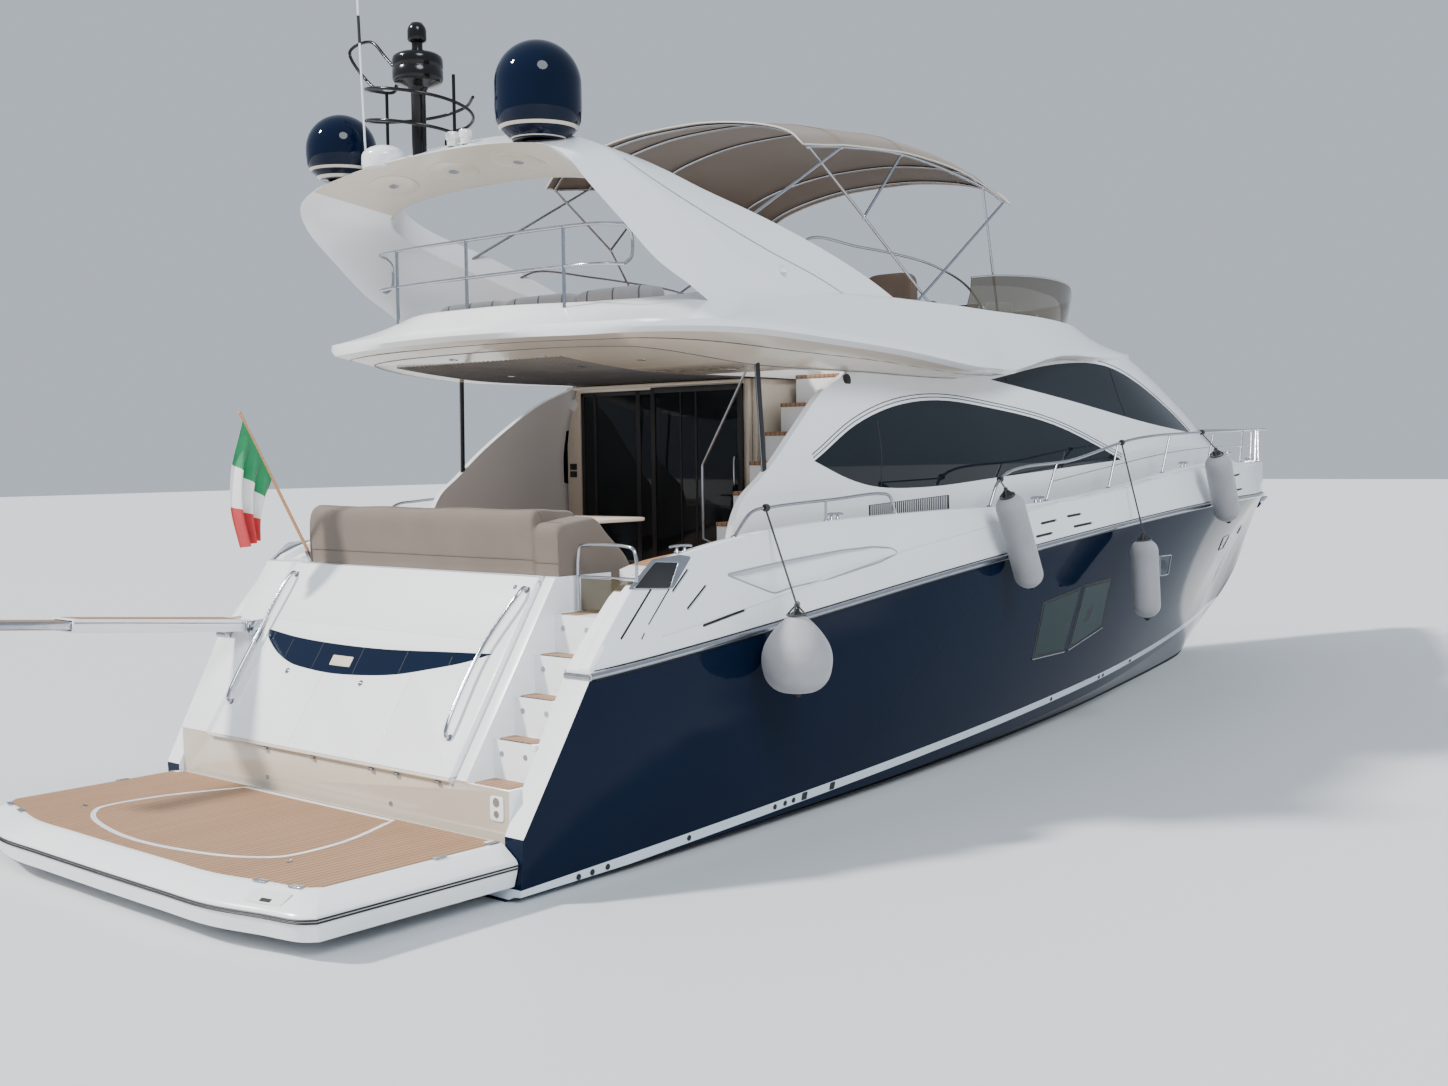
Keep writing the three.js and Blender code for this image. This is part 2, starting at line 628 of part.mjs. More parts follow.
function flyRings() {
  const inward = (x, y, by) => {
    const mid = THREE.MathUtils.clamp(x, FLY_TABLE[0][0] + by, FLY_TABLE.at(-1)[0] - by);
    return [mid, Math.max(y - by, 0)];
  };
  return [
    flyRing(([x, y]) => {
      const [px, py] = inward(x, y, 420);
      return [px, py, flyUnderAt(px)[0]];
    }),
    flyRing(([x, y, z]) => [...inward(x, y, 60), z - 45]),
    flyRing(([x, y, z]) => [x, y, z]),
    flyRing(([x, y, z]) => [...inward(x, y, 12), z + 60]),
    flyRing(([x, y, z, cx, cy, cz]) => [cx, cy, cz]),
    flyRing(([, , , , , cz, ix, iy]) => [ix, iy, cz]),
    flyRing(([, , , , , , ix, iy]) => [ix, Math.max(iy - 20, 0), FLY_FLOOR]),
  ];
}

const flybridgeBody = () => loft(flyRings(), 2);

function makeFlybridge() {
  const hatch = box(6100, 7750, -1900, -820, 3900, 4820);
  return cut(flybridgeBody(), hatch);
}

// Radar arch: for one half, from the centreline down to the foot, the station, half-beam and
// height of its aft edge, of its crest, of its forward edge and of its inner edge
const ARCH_TABLE = [
  [3290, 0, 5985, 3650, 0, 6130, 4150, 0, 6070, 4020, 0, 5790],
  [3290, 700, 5970, 3650, 700, 6110, 4150, 690, 6050, 4020, 680, 5775],
  [3290, 1250, 5920, 3650, 1240, 6050, 4180, 1200, 5990, 4030, 1150, 5730],
  [3280, 1620, 5850, 3680, 1600, 5970, 4300, 1540, 5920, 4080, 1420, 5680],
  [3290, 1840, 5730, 3750, 1830, 5860, 4500, 1760, 5800, 4200, 1600, 5600],
  [3420, 1930, 5540, 3950, 1950, 5680, 4900, 1870, 5660, 4550, 1720, 5480],
  [3770, 1980, 5250, 4500, 2030, 5380, 5700, 1930, 5480, 5300, 1790, 5290],
  [4150, 2010, 4960, 5100, 2090, 5080, 6500, 1990, 5260, 6000, 1830, 5120],
  [4500, 2050, 4780, 5600, 2150, 4850, 7200, 2040, 5020, 6800, 1850, 4950],
  [4800, 2090, 4600, 5900, 2190, 4600, 7800, 2080, 4760, 7600, 1870, 4760],
];
const MAST = { x: 3420, y: 180 };

function archBody() {
  const edge = (c) => {
    const half = ARCH_TABLE.map((row) => row.slice(c, c + 3));
    const whole = [...half.slice(1).reverse().map(([x, y, z]) => [x, -y, z]), ...half];
    return curveThrough(whole).getPoints(2 * (whole.length - 1)).map((p) => p.toArray());
  };
  const edges = [edge(0), edge(3), edge(6), edge(9)];
  const rings = edges[0].map((_, i) => edges.map((line) => line[i]));
  return cut(loft(rings, 2), flybridgeBody().translate(0, 0, GAP));
}

// Arch with the low white dome on it
function makeArch() {
  const lowDome = turned([[0, 5960], [195, 5960], [205, 6030], ...dome(205, 6060, 6175, 3)], 16)
    .translate(MAST.x, 690, 0);
  return join(archBody(), lowDome);
}

const DOMES = {
  starboard: { y: -1376, radius: 361, low: 5935, top: 6750 },
  port: { y: 1331, radius: 327, low: 5935, top: 6540 },
};

function makeDome({ y, radius, low, top }) {
  const profile = [[0, low], [radius * 0.6, low], [radius * 0.93, low + radius * 0.3],
    [radius, low + radius * 0.7], ...dome(radius, top - radius, top, 6)];
  return cut(turned(profile, 24).translate(MAST.x, y, 0), archBody().translate(0, 0, GAP));
}

// Mast with the radar drum
function makeMast() {
  const body = turned([[0, 6000], [65, 6000], [65, 6630], [215, 6665], [222, 6700], [222, 6860], [180, 6905],
    [55, 6920], [45, 7000], [80, 7020], [82, 7120], [60, 7180], [0, 7190]], 20);
  return cut(body.translate(MAST.x, MAST.y, 0), archBody().translate(0, 0, GAP));
}

// Guard round the mast: two tubes that wind down round it, two posts, and an angular loop on top
const GUARD = { x: 3450, y: 200, radius: 470, drop: 460, tube: 15 };

function guardTurn(fromAngle, toAngle, top) {
  const steps = Math.round((toAngle - fromAngle) / 30);
  return Array.from({ length: steps + 1 }, (_, i) => {
    const angle = THREE.MathUtils.degToRad(mix(fromAngle, toAngle, i / steps));
    return [GUARD.x + GUARD.radius * Math.cos(angle), GUARD.y + GUARD.radius * Math.sin(angle),
      top - (GUARD.drop * (i / steps) * (toAngle - fromAngle)) / 360];
  });
}

function makeGuard() {
  const upper = guardTurn(80, 380, 6670);
  const lower = guardTurn(-40, 320, 6550);
  const loopTop = [[3450, 500, 6780], [3465, 700, 6980], [3465, 910, 7150], [3465, 1230, 7110],
    [3465, 930, 6770], [GUARD.x, GUARD.y + GUARD.radius, 6640]];
  const intoArch = ([x, y]) => [x, y, 6010];
  const post = (side) => bar([GUARD.x, GUARD.y + side * GUARD.radius, 6010],
    [GUARD.x, GUARD.y + side * GUARD.radius, 6660], GUARD.tube, 6);
  return cut(join(
    tube([...loopTop.slice(0, 1), upper[0], ...upper.slice(1), intoArch(upper.at(-1))], GUARD.tube),
    tube([...lower, intoArch(lower.at(-1))], GUARD.tube),
    tube([upper[0], ...loopTop], GUARD.tube, 1),
    post(-1),
    post(1),
  ), makeArch().translate(0, 0, GAP));
}

// Canvas top on its tube frame

const CLOTH = 14;
const CLOTH_HALF = 1790;
const crownAt = along([[6450, 6670], [7400, 6780], [8400, 6820], [9300, 6760], [10300, 6520]]);
const fallAt = along([[0, 0], [500, 15], [1000, 80], [1400, 170], [1650, 270], [CLOTH_HALF, 400]]);
const clothTop = (x, y) => crownAt(x)[0] - fallAt(Math.abs(y))[0];
const clothAcross = (half) => [-1, -0.92, -0.78, -0.56, -0.28, 0, 0.28, 0.56, 0.78, 0.92, 1]
  .map((share) => share * half);

function makeCanopy() {
  const ys = clothAcross(CLOTH_HALF);
  const ring = (x) => [
    ...ys.map((y) => [x, y, clothTop(x, y)]),
    ...[...ys].reverse().map((y) => [x, y, clothTop(x, y) - CLOTH]),
  ];
  return loft([6450, 6900, 7400, 7900, 8400, 8900, 9300, 9800, 10300].map(ring), 0);
}

const BOWS = [6560, 7090, 8140, 9730, 10180];
const FRAME_TUBE = 15;

function makeCanopyFrame() {
  const half = CLOTH_HALF - 20;
  const under = (x, y) => [x, y, clothTop(x, y) - CLOTH - 8 - 16 * (y / half) ** 4];
  const bows = BOWS.map((x) => tube(clothAcross(half).map((y) => under(x, y)), FRAME_TUBE, 1));
  const side = (s) => {
    const [first, second, third, fourth, fifth] = BOWS.map((x) => under(x, s * half));
    const foot = (x, share = 0.5) => {
      const [, , , coaming, high, , inner] = flyAt(x);
      return [x, s * mix(coaming, inner, share), high - 20];
    };
    const knee = [7440, s * 1790, 5680];
    const strut = (from, to) => bar(from, to, FRAME_TUBE);
    return [
      strut(first, knee),
      strut(knee, foot(8310)),
      strut(second, [5350, s * 1880, 5370]),
      strut(third, knee),
      strut(fifth, foot(8030)),
      strut(fourth, foot(9990, 0.85)),
      tube(BOWS.map((x) => under(x, s * half)), FRAME_TUBE, 1),
      tube([[6150, s * 1950, 5270], [6420, s * 1930, 5370], [7210, s * 1870, 5360], [7800, s * 1875, 5345],
        [8620, s * 1840, 5290], [9340, s * 1810, 5120], foot(9660, 0.85)], FRAME_TUBE - 2),
    ];
  };
  return cut(join(...bows, ...side(-1), ...side(1)), makeCanopy().translate(0, 0, -GAP),
    flybridgeBody().translate(0, 0, GAP), archBody().translate(0, 0, GAP), archBody());
}

// Rails

const RAIL_IN = 60;
const BOW_TUBE = 17;
const SIDE_TUBE = 15;

// Points of the port half of the bow rail, from its aft foot forward
function bowRailPath() {
  const rows = [[8650, 2728], [8900, 3040], [10500, 3210], [12050, 3440], [14000, 3520], [16000, 3560],
    [18000, 3590], [19500, 3610], [20800, 3620]];
  return rows.map(([x, z]) => [x, deckAt(x)[0] - RAIL_IN, z]);
}

function sideRailPath() {
  const foot = (x) => {
    const [y, z] = deckAt(x);
    return [x, y - RAIL_IN, z - 12];
  };
  const [a, b, c] = [foot(4560), foot(6950), foot(5850)];
  return [a, [4800, a[1], 2820], [5100, a[1], 2860], [6000, c[1], 2900], [6700, b[1], 2930],
    [6850, b[1], 2900], b];
}

// Point of a rail's path at a station
function railPoint(path, x) {
  const curve = curveThrough(path);
  let best = curve.getPoint(0);
  for (let i = 0; i <= 400; i += 1) {
    const p = curve.getPoint(i / 400);
    if (Math.abs(p.x - x) < Math.abs(best.x - x)) best = p;
  }
  return best.toArray();
}

function bowTube(radius) {
  const half = bowRailPath();
  const nose = [[21500, 300, 3625], [21800, 0, 3625], [21500, -300, 3625]];
  return tube([...half, ...nose, ...[...half].reverse().map(([x, y, z]) => [x, -y, z])], radius);
}

const sideTube = (side, radius) => tube(sideRailPath().map(([x, y, z]) => [x, side * y, z]), radius);

function makeBowRail() {
  const posts = [-1, 1].flatMap((side) => [10100, 11600, 13100, 14700, 16300, 17900, 19300, 20500]
    .map((x) => {
      const [footY, footZ] = deckAt(x - 250);
      const [topX, topY, topZ] = railPoint(bowRailPath(), x);
      return bar([x - 250, side * (footY - RAIL_IN), footZ - 12], [topX, side * topY, topZ], 14);
    }));
  return cut(join(bowTube(BOW_TUBE), ...posts), deckTool());
}

function makeSideRail(side) {
  const [footY, footZ] = deckAt(5850);
  const post = bar([5850, side * (footY - RAIL_IN), footZ - 12], [5850, side * (footY - RAIL_IN), 2890], 13);
  return cut(join(sideTube(side, SIDE_TUBE), post), deckTool());
}

// Rail across the aft end of the flybridge: a closed hoop of tube with three posts
function makeFlyRail() {
  const half = (z, y1) => [[4130, y1], [3960, 1500], [3880, 1000], [3860, 0]].map(([x, y]) => [x, y, z]);
  const across = (z) => {
    const points = half(z, 1640);
    return [...points, ...points.slice(0, -1).reverse().map(([x, y, h]) => [x, -y, h])];
  };
  const [top, low] = [across(5300), across(4960)];
  const hoop = (s) => tube([[4130, s * 1640, 5300], [4210, s * 1650, 5240], [4230, s * 1652, 5130],
    [4210, s * 1650, 5020], [4130, s * 1640, 4960]], 15);
  const posts = [[3890, 1150], [3860, 100], [3890, -1150]].map(([x, y]) => bar([x, y, 4450],
    [x, y, 5300], 16));
  return cut(join(tube(top, 15), tube(low, 15), hoop(1), hoop(-1), ...posts),
    flybridgeBody().translate(0, 0, GAP));
}

// Running gear

function makePropeller(side) {
  const { radius, blades, hub, pitch } = PROPELLER;
  const outline = new THREE.Shape();
  outline.moveTo(-40, 40);
  outline.bezierCurveTo(-150, 150, -170, 330, -20, radius);
  outline.bezierCurveTo(120, 360, 150, 200, 40, 40);
  const blade = (i) => new THREE.ExtrudeGeometry(outline,
    { depth: 16, bevelEnabled: false, curveSegments: 6 })
    .translate(0, 0, -8)
    .rotateY(THREE.MathUtils.degToRad(side * pitch))
    .rotateZ((2 * Math.PI * i) / blades);
  const core = turned([[0, -110], [hub * 0.55, -90], [hub, -30], [hub, 80], [0, 80]], 12);
  const shaftLength = (SHAFT.insideX - 60 - SHAFT.propX)
    / Math.cos(THREE.MathUtils.degToRad(SHAFT.angle));
  const shaft = bar([0, 0, 40], [0, 0, shaftLength], SHAFT.radius, 12);
  const parts = Array.from({ length: blades }, (_, i) => blade(i));
  return join(core, shaft, ...parts)
    .rotateY(THREE.MathUtils.degToRad(90 - SHAFT.angle))
    .translate(SHAFT.propX, side * SHAFT.y, SHAFT.propZ);
}

function makeRudder(side) {
  const { x, top, bottom, chord, thick, stock } = RUDDER;
  const section = (z, scale) => [[0.42, 0], [0.25, 0.42], [0, 0.5], [-0.3, 0.34], [-0.58, 0.06],
    [-0.58, -0.06], [-0.3, -0.34], [0, -0.5], [0.25, -0.42]]
    .map(([a, b]) => [x + a * chord * scale, side * SHAFT.y + b * thick, z]);
  const blade = loft([section(bottom, 0.86), section(top - 190, 1)], 2);
  return join(blade, bar([x, side * SHAFT.y, bottom + 200], [x, side * SHAFT.y, 100], stock, 12));
}

// Trim tab, hung on a knuckle along the transom
const TAB = { long: 480, half: 400, thick: 20, knuckle: 12 };

function makeTab(side) {
  const rise = Math.atan2(330, 800);
  const { long, half, thick, knuckle } = TAB;
  const pinX = TRANSOM - knuckle - GAP;
  return join(box(TRANSOM - long, pinX, -half, half, -thick / 2, thick / 2),
    bar([pinX, -half, 0], [pinX, half, 0], knuckle, 12))
    .rotateX(side * rise)
    .translate(0, side * 1300, -400);
}

// Fenders, hung from the rails by their lines
const FENDERS = [
  { name: 'pear', x: 4750, z: 1650, radius: 300, neck: 0.55, length: 680, lean: 0, rail: 'side', at: 5000 },
  { name: 'mid', x: 8540, z: 2320, radius: 160, neck: 1, length: 900, lean: -12, rail: 'bow', at: 8800 },
  { name: 'fore', x: 11440, z: 1830, radius: 160, neck: 1, length: 900, lean: 0, rail: 'bow', at: 11100 },
  { name: 'bow', x: 14050, z: 2860, radius: 170, neck: 1, length: 850, lean: 0, rail: 'bow', at: 13650 },
];

function makeFender({ x, z, radius, neck, length, lean, rail, at }) {
  const [, , , sheerY] = hullAt(x);
  const y = -(sheerY + radius + 40);
  const low = -length / 2;
  const high = length / 2;
  const upper = radius * neck;
  const profile = [[0, low], [radius * 0.6, low + radius * 0.15], [radius * 0.92, low + radius * 0.5],
    [radius, low + radius * 0.95], [mix(radius, upper, 0.6), high - radius * 0.85],
    [upper * 0.8, high - radius * 0.45], [upper * 0.4, high - radius * 0.12], [25, high], [0, high]];
  const tilt = THREE.MathUtils.degToRad(lean);
  const body = turned(profile, 16).rotateY(tilt).translate(x, y, z);
  const [railX, railY, railZ] = railPoint(rail === 'bow' ? bowRailPath() : sideRailPath(), at);
  const eye = [x + (high - 20) * Math.sin(tilt), y, z + (high - 20) * Math.cos(tilt)];
  const line = bar(eye, [railX, -railY, railZ], 9);
  const holder = rail === 'bow' ? bowTube(BOW_TUBE + GAP) : sideTube(-1, SIDE_TUBE + GAP);
  return cut(join(body, line), holder);
}

// Cockpit and saloon

function makeBulkhead() {
  const reach = [[1999, SOLE + 16], [1999, 3450], [1960, 3690], [1860, 4000], [1815, 4100]];
  const outline = (from) => [...reach, [from, 4100], [from, SOLE + 16]];
  const frame = crossPlate(outline(-700), BULKHEAD, BULKHEAD + 60);
  const opening = box(BULKHEAD - 10, BULKHEAD + 70, -610, 1780, SOLE + 60, 4030);
  const mullion = box(BULKHEAD, BULKHEAD + 60, 560, 620, SOLE + 50, 4040);
  const partition = box(BULKHEAD, 8000, -760, -700, SOLE + 16, 4100);
  const end = crossPlate([...reach.map(([y, z]) => [-y, z]), [-700, 4100], [-700, SOLE + 16]],
    7960, 8000);
  const header = box(BULKHEAD - 60, BULKHEAD + 1, -650, 1830, 4062, 4095);
  return join(cut(frame, opening), mullion, partition, end, header);
}

const SLIDING = { y0: -640, y1: 650, travel: 1150 };

function makeSlidingDoor() {
  const { y0, y1 } = SLIDING;
  const panel = box(BULKHEAD - 40, BULKHEAD - 8, y0, y1, SOLE + 30, 4050);
  const shoe = (y) => box(BULKHEAD - 36, BULKHEAD - 12, y, y + 90, SOLE + GAP, SOLE + 40);
  return join(panel, shoe(y0 + 60), shoe(y1 - 150));
}

function makeFlyStair() {
  const steps = 7;
  const rise = (FLY_FLOOR - SOLE) / (steps + 1);
  const going = 260;
  const front = 5900;
  const outline = [[front, SOLE + GAP]];
  for (let i = 0; i < steps; i += 1) {
    outline.push([front + going * i, SOLE + rise * (i + 1)]);
    outline.push([front + going * (i + 1), SOLE + rise * (i + 1)]);
  }
  outline.push([front + going * steps, FLY_FLOOR - rise - 160], [front + 300, SOLE + GAP]);
  return sidePlate(outline, -1840, -880);
}

function makePillar(side) {
  const post = bar([5434, side * 2098, 3100], [5400, side * 2040, 4330], 27, 8);
  return cut(post, houseShell().translate(0, 0, GAP), skyTool());
}

function makeSofaCover() {
  const main = sidePlate([[3160, 2350.3], [3150, 2800], [3240, 2890], [3620, 2860], [3745, 2520],
    [3745, 2350.3]], -1500, 1620);
  const flap = sidePlate([[3170, SOLE + 60], [3160, 2760], [3600, 2820], [3990, 2420], [3990, SOLE + 60]],
    -1795, -1500);
  const body = join(main, flap);
  return cut(body, box(3000, 3750 + GAP, -2000, -1400, 1900, 2350 + GAP));
}

function makeTable() {
  const top = flatPlate([[4150, -1000], [4250, -1150], [4850, -1150], [4950, -1000], [4950, 1000],
    [4850, 1150], [4250, 1150], [4150, 1000]], 2720, 2755);
  const leg = (y) => bar([4550, y, SOLE + GAP], [4550, y, 2730], 60, 8);
  const beam = box(4510, 4590, -600, 600, 2660, 2730);
  return join(top, leg(-600), leg(600), beam);
}

const SALOON_FLOOR = SOLE + 16;

// Saloon sole with the sofa, the helm console and the helm seat that stand on it
function makeSaloon() {
  const sole = box(BULKHEAD + 200, SALOON_FORE - GAP, -1999.5, 1999.5, SOLE + GAP, SALOON_FLOOR - GAP);
  const low = SALOON_FLOOR - 5;
  return join(
    sole,
    box(8300, 11000, -1940, -1180, low, 2480),
    box(8300, 11000, -1940, -1760, 2400, 2860),
    box(8300, 8480, -1940, -1180, 2400, 2760),
    sidePlate([[12350, low], [12350, 2750], [12500, 3050], [13150, 3120], [13150, low]], -1500, -250),
    box(11450, 11950, -1350, -450, low, 2700),
    box(11350, 11520, -1350, -450, 2500, 3250),
  );
}

// Flybridge furniture

function makeFlySofa() {
  const floor = FLY_FLOOR + GAP;
  const seat = box(4640, 5750, -1480, 1480, floor, 4700);
  const back = box(4640, 4840, -1480, 1480, 4650, 4850);
  return join(seat, back);
}

const makeFlyConsole = () => sidePlate([[10500, FLY_FLOOR + GAP], [10500, 4900], [10700, 5080],
  [11300, 5120], [11300, FLY_FLOOR + GAP]], -1250, 150);

const makeFlySeat = () => join(
  box(9250, 9850, -1200, 100, FLY_FLOOR + GAP, 4830),
  box(9150, 9300, -1200, 100, 4700, 5330));

// Smoked screen round the front of the flybridge
const SCREEN_HEIGHTS = [330, 400, 470, 500, 530, 560, 580, 590, 590];

function makeFlyScreen() {
  const rows = FLY_TABLE.slice(-SCREEN_HEIGHTS.length);
  const half = rows.map(([, , , cx, cy, cz, ix, iy], i) => {
    const foot = [mix(cx, ix, 0.5), mix(cy, iy, 0.5)];
    const out = [0.35 * SCREEN_HEIGHTS[i] * (i / rows.length), 0.2 * SCREEN_HEIGHTS[i]];
    return { foot, out, low: cz, high: cz + SCREEN_HEIGHTS[i], last: i === rows.length - 1 };
  });
  const ring = ({ foot: [x, y], out, low, high, last }, side) => {
    const dy = last ? 0 : side * 12;
    const dx = last ? 12 : 4;
    const yTop = last ? 0 : side * (y + out[1]);
    return [
      [x - dx, side * y - dy, low - 20],
      [x, side * y, low - 20],
      [x + out[0], yTop, high],
      [x + out[0] - dx, yTop - dy, high],
    ];
  };
  const rings = [...half.map((row) => ring(row, -1)),
    ...half.slice(0, -1).reverse().map((row) => ring(row, 1))];
  return cut(loft(rings, 1), flybridgeBody().translate(0, 0, GAP));
}

// Foredeck gear

const foredeckHeight = (x) => {
  const [, bulwarkZ, drop] = deckAt(x);
  return bulwarkZ - drop + 20;
};

function makeWindlass() {
  const x = 20500;
  const drum = turned([[0, 0], [110, 0], [110, 40], [70, 70], [60, 150], [95, 180], [95, 210],
    [0, 220]], 12).translate(x, 0, foredeckHeight(x) + 31);
  return cut(join(drum, box(x - 200, x + 160, -120, 120, foredeckHeight(x) - 60,
    foredeckHeight(x) + 40)), deckTool());
}

function makeAnchor() {
  const z = ANCHOR_Z;
  const shank = box(STEM - 240, STEM + 300, -18, 18, z + 180, z + 240);
  const crown = sidePlate([[STEM + 80, z - 130], [STEM + 140, z - 160], [STEM + 310, z + 240],
    [STEM + 230, z + 250]], -26, 26);
  const fluke = (side) => flatPlate([[0, 0], [0, side * 170], [-230, side * 40], [-230, 0]], 0, 26)
    .rotateY(THREE.MathUtils.degToRad(-62))
    .translate(STEM + 150, side * 20, z - 120);
  return join(shank, crown, fluke(-1), fluke(1));
}

const HATCH = { x0: 19150, x1: 19750, half: 300, thick: 45 };

function makeForeHatch() {
  const top = foredeckHeight(HATCH.x0) + HATCH.thick;
  return cut(box(HATCH.x0, HATCH.x1, -HATCH.half, HATCH.half, top - 90, top), deckTool());
}

// Boarding gangway at the port quarter: a hollow outer beam on a pin, and its sliding inner beam
const GANGWAY = {
  y: 2040, z: 1780, pinX: 2600, half: 190, deep: 58, outerAft: 900, innerAft: -300, tilt: 5,
};

// Turn of the gangway about its pin to the rise it rests at
const raised = (geometry) => geometry.translate(-GANGWAY.pinX, 0, -GANGWAY.z)
  .rotateY(THREE.MathUtils.degToRad(GANGWAY.tilt))
  .translate(GANGWAY.pinX, 0, GANGWAY.z);

function makeGangwayOuter() {
  const { y, z, pinX, half, deep, outerAft } = GANGWAY;
  const beam = box(outerAft, pinX + 30, y - half, y + half, z - deep, z + deep);
  const hollow = box(outerAft - 10, pinX - 80, y - half + 25, y + half - 25, z - deep + 15,
    z + deep - 15);
  const pin = bar([pinX, y - half - 34, z], [pinX, y + half + 34, z], 14, 12);
  return raised(join(cut(beam, hollow), pin));
}

function makeGangwayInner() {
  const { y, z, half, deep, innerAft } = GANGWAY;
  const beam = box(innerAft, 1500, y - half + 30, y + half - 30, z - deep + 22, z + deep - 22);
  const pad = box(1440, 1499, y - half + 25 + GAP, y + half - 25 - GAP, z - deep + 15 + GAP,
    z + deep - 15 - GAP);
  return raised(join(beam, pad));
}

function gangwayFork() {
  const { y, z, pinX, half } = GANGWAY;
  const cheek = (side) => {
    const mid = y + side * (half + 22);
    return cut(sidePlate([[pinX - 40, z - 40], [pinX - 40, z + 40], [pinX + 260, z + 60],
      [pinX + 260, z - 160], [pinX + 60, z - 160]], mid - 14, mid + 14),
    bore([pinX, mid - 30, z], [pinX, mid + 30, z], 14));
  };
  return [cheek(-1), cheek(1)];
}

// Ensign staff and ensign

const STAFF = { y: 1710, foot: [3230, 2350], head: [2490, 3770] };

const staffPole = (radius) => bar([STAFF.foot[0] + 12, STAFF.y, STAFF.foot[1] - 20],
  [STAFF.head[0], STAFF.y, STAFF.head[1]], radius, 8);

const makeStaff = () => cut(staffPole(16), box(3000, 3500, 1500, 1900, 2200, 2350 + GAP));

const makeEnsign = () => cut(sidePlate([[2490, 3742], [2804, 3140], [2680, 2560], [2500, 2500],
  [2400, 2900], [2390, 3400]], STAFF.y - 8, STAFF.y + 8), staffPole(16 + GAP));

const makeWhip = () => cut(bar([MAST.x, 960, 6000], [MAST.x, 1066, 8300], 11, 6),
  archBody().translate(0, 0, GAP));

// Assembly

function addHullParts() {
  add('hull', 'navy', makeHull());
  add('rubbing_strake', 'steel', makeStrake());
  add('foredeck', 'white', foredeck());
  add('topsides_port', 'white', topsides(1));
  add('topsides_starboard', 'white', topsides(-1));
  add('cockpit_moulding', 'white', makeCockpit());
  add('swim_platform', 'white', makePlatform());
  add('garage_door', 'white', makeGarageDoor());
  add('garage_glass', 'glass', doorGlass());
  for (const [name, side] of [['port', 1], ['starboard', -1]]) {
    add(`engine_${name}`, 'engine', box(4960, 6760, side * 800 - 540, side * 800 + 540,
      -300 + GAP, 950));
    add(`propeller_${name}`, 'bronze', makePropeller(side));
    add(`rudder_${name}`, 'bronze', makeRudder(side));
    add(`trim_tab_${name}`, 'steel', makeTab(side));
    add(`side_rail_${name}`, 'steel', makeSideRail(side));
  }
}

function addHouseParts() {
  add('house', 'white', houseShell());
  add('saloon_bulkhead', 'white', makeBulkhead());
  add('saloon_door', 'glass', makeSlidingDoor());
  add('saloon_door_glass', 'glass', box(BULKHEAD + 20, BULKHEAD + 34, 620 + GAP, 1780 - GAP,
    SOLE + 60 + GAP, 4030 - GAP));
  add('saloon_interior', 'cream', makeSaloon());
  add('fly_stair', 'white', makeFlyStair());
  add('sofa_cover', 'canvas', makeSofaCover());
  add('cockpit_table', 'teak', makeTable());
  add('pillar_port', 'black', makePillar(1));
  add('pillar_starboard', 'black', makePillar(-1));
  for (const [name, side] of [['port', 1], ['starboard', -1]]) {
    add(`saloon_glass_${name}`, 'glass', sideGlass(LOWER_WINDOW, side, 900));
    add(`pilothouse_glass_${name}`, 'glass', sideGlass(UPPER_WINDOW, side, 1300));
  }
  add('windscreen', 'glass', makeWindscreen());
}

function addFlyParts() {
  add('flybridge', 'white', makeFlybridge());
  add('radar_arch', 'white', makeArch());
  add('dome_starboard', 'navy', makeDome(DOMES.starboard));
  add('dome_port', 'navy', makeDome(DOMES.port));
  add('mast', 'black', makeMast());
  add('mast_guard', 'black', makeGuard());
  add('canopy', 'canvas', makeCanopy());
  add('canopy_frame', 'steel', makeCanopyFrame());
  add('fly_rail', 'steel', makeFlyRail());
  add('bow_rail', 'steel', makeBowRail());
  add('fly_sofa', 'cream', makeFlySofa());
  add('fly_console', 'white', makeFlyConsole());
  add('fly_helm_seat', 'cream', makeFlySeat());
  add('fly_screen', 'glass', makeFlyScreen());
  add('whip_antenna', 'white', makeWhip());
}

function addDeckGear() {
  add('windlass', 'steel', makeWindlass());
  add('anchor', 'steel', makeAnchor());
  add('fore_hatch', 'glass', makeForeHatch());
  add('gangway_outer', 'steel', makeGangwayOuter());
  add('gangway_inner', 'steel', makeGangwayInner());
  add('ensign_staff', 'steel', makeStaff());
  add('ensign', 'flag', makeEnsign());
  for (const fender of FENDERS) add(`fender_${fender.name}`, 'fender', makeFender(fender));
}

addHullParts();
addHouseParts();
addFlyParts();
addDeckGear();

export default boat;
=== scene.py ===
import math
import random

import bmesh
import bpy
import numpy as np
from mathutils import Matrix, Vector


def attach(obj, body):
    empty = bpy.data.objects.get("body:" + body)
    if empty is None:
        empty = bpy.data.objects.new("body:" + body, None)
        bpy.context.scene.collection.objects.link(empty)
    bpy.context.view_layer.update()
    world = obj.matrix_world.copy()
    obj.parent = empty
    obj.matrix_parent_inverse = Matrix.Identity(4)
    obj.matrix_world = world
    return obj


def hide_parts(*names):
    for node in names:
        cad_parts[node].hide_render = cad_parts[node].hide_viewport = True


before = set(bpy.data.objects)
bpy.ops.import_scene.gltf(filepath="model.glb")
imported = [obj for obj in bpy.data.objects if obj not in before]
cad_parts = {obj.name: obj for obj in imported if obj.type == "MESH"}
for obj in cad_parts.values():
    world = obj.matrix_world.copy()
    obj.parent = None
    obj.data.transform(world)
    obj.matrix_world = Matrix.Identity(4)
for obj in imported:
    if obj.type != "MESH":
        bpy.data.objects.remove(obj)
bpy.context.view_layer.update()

# Camera, floor and light

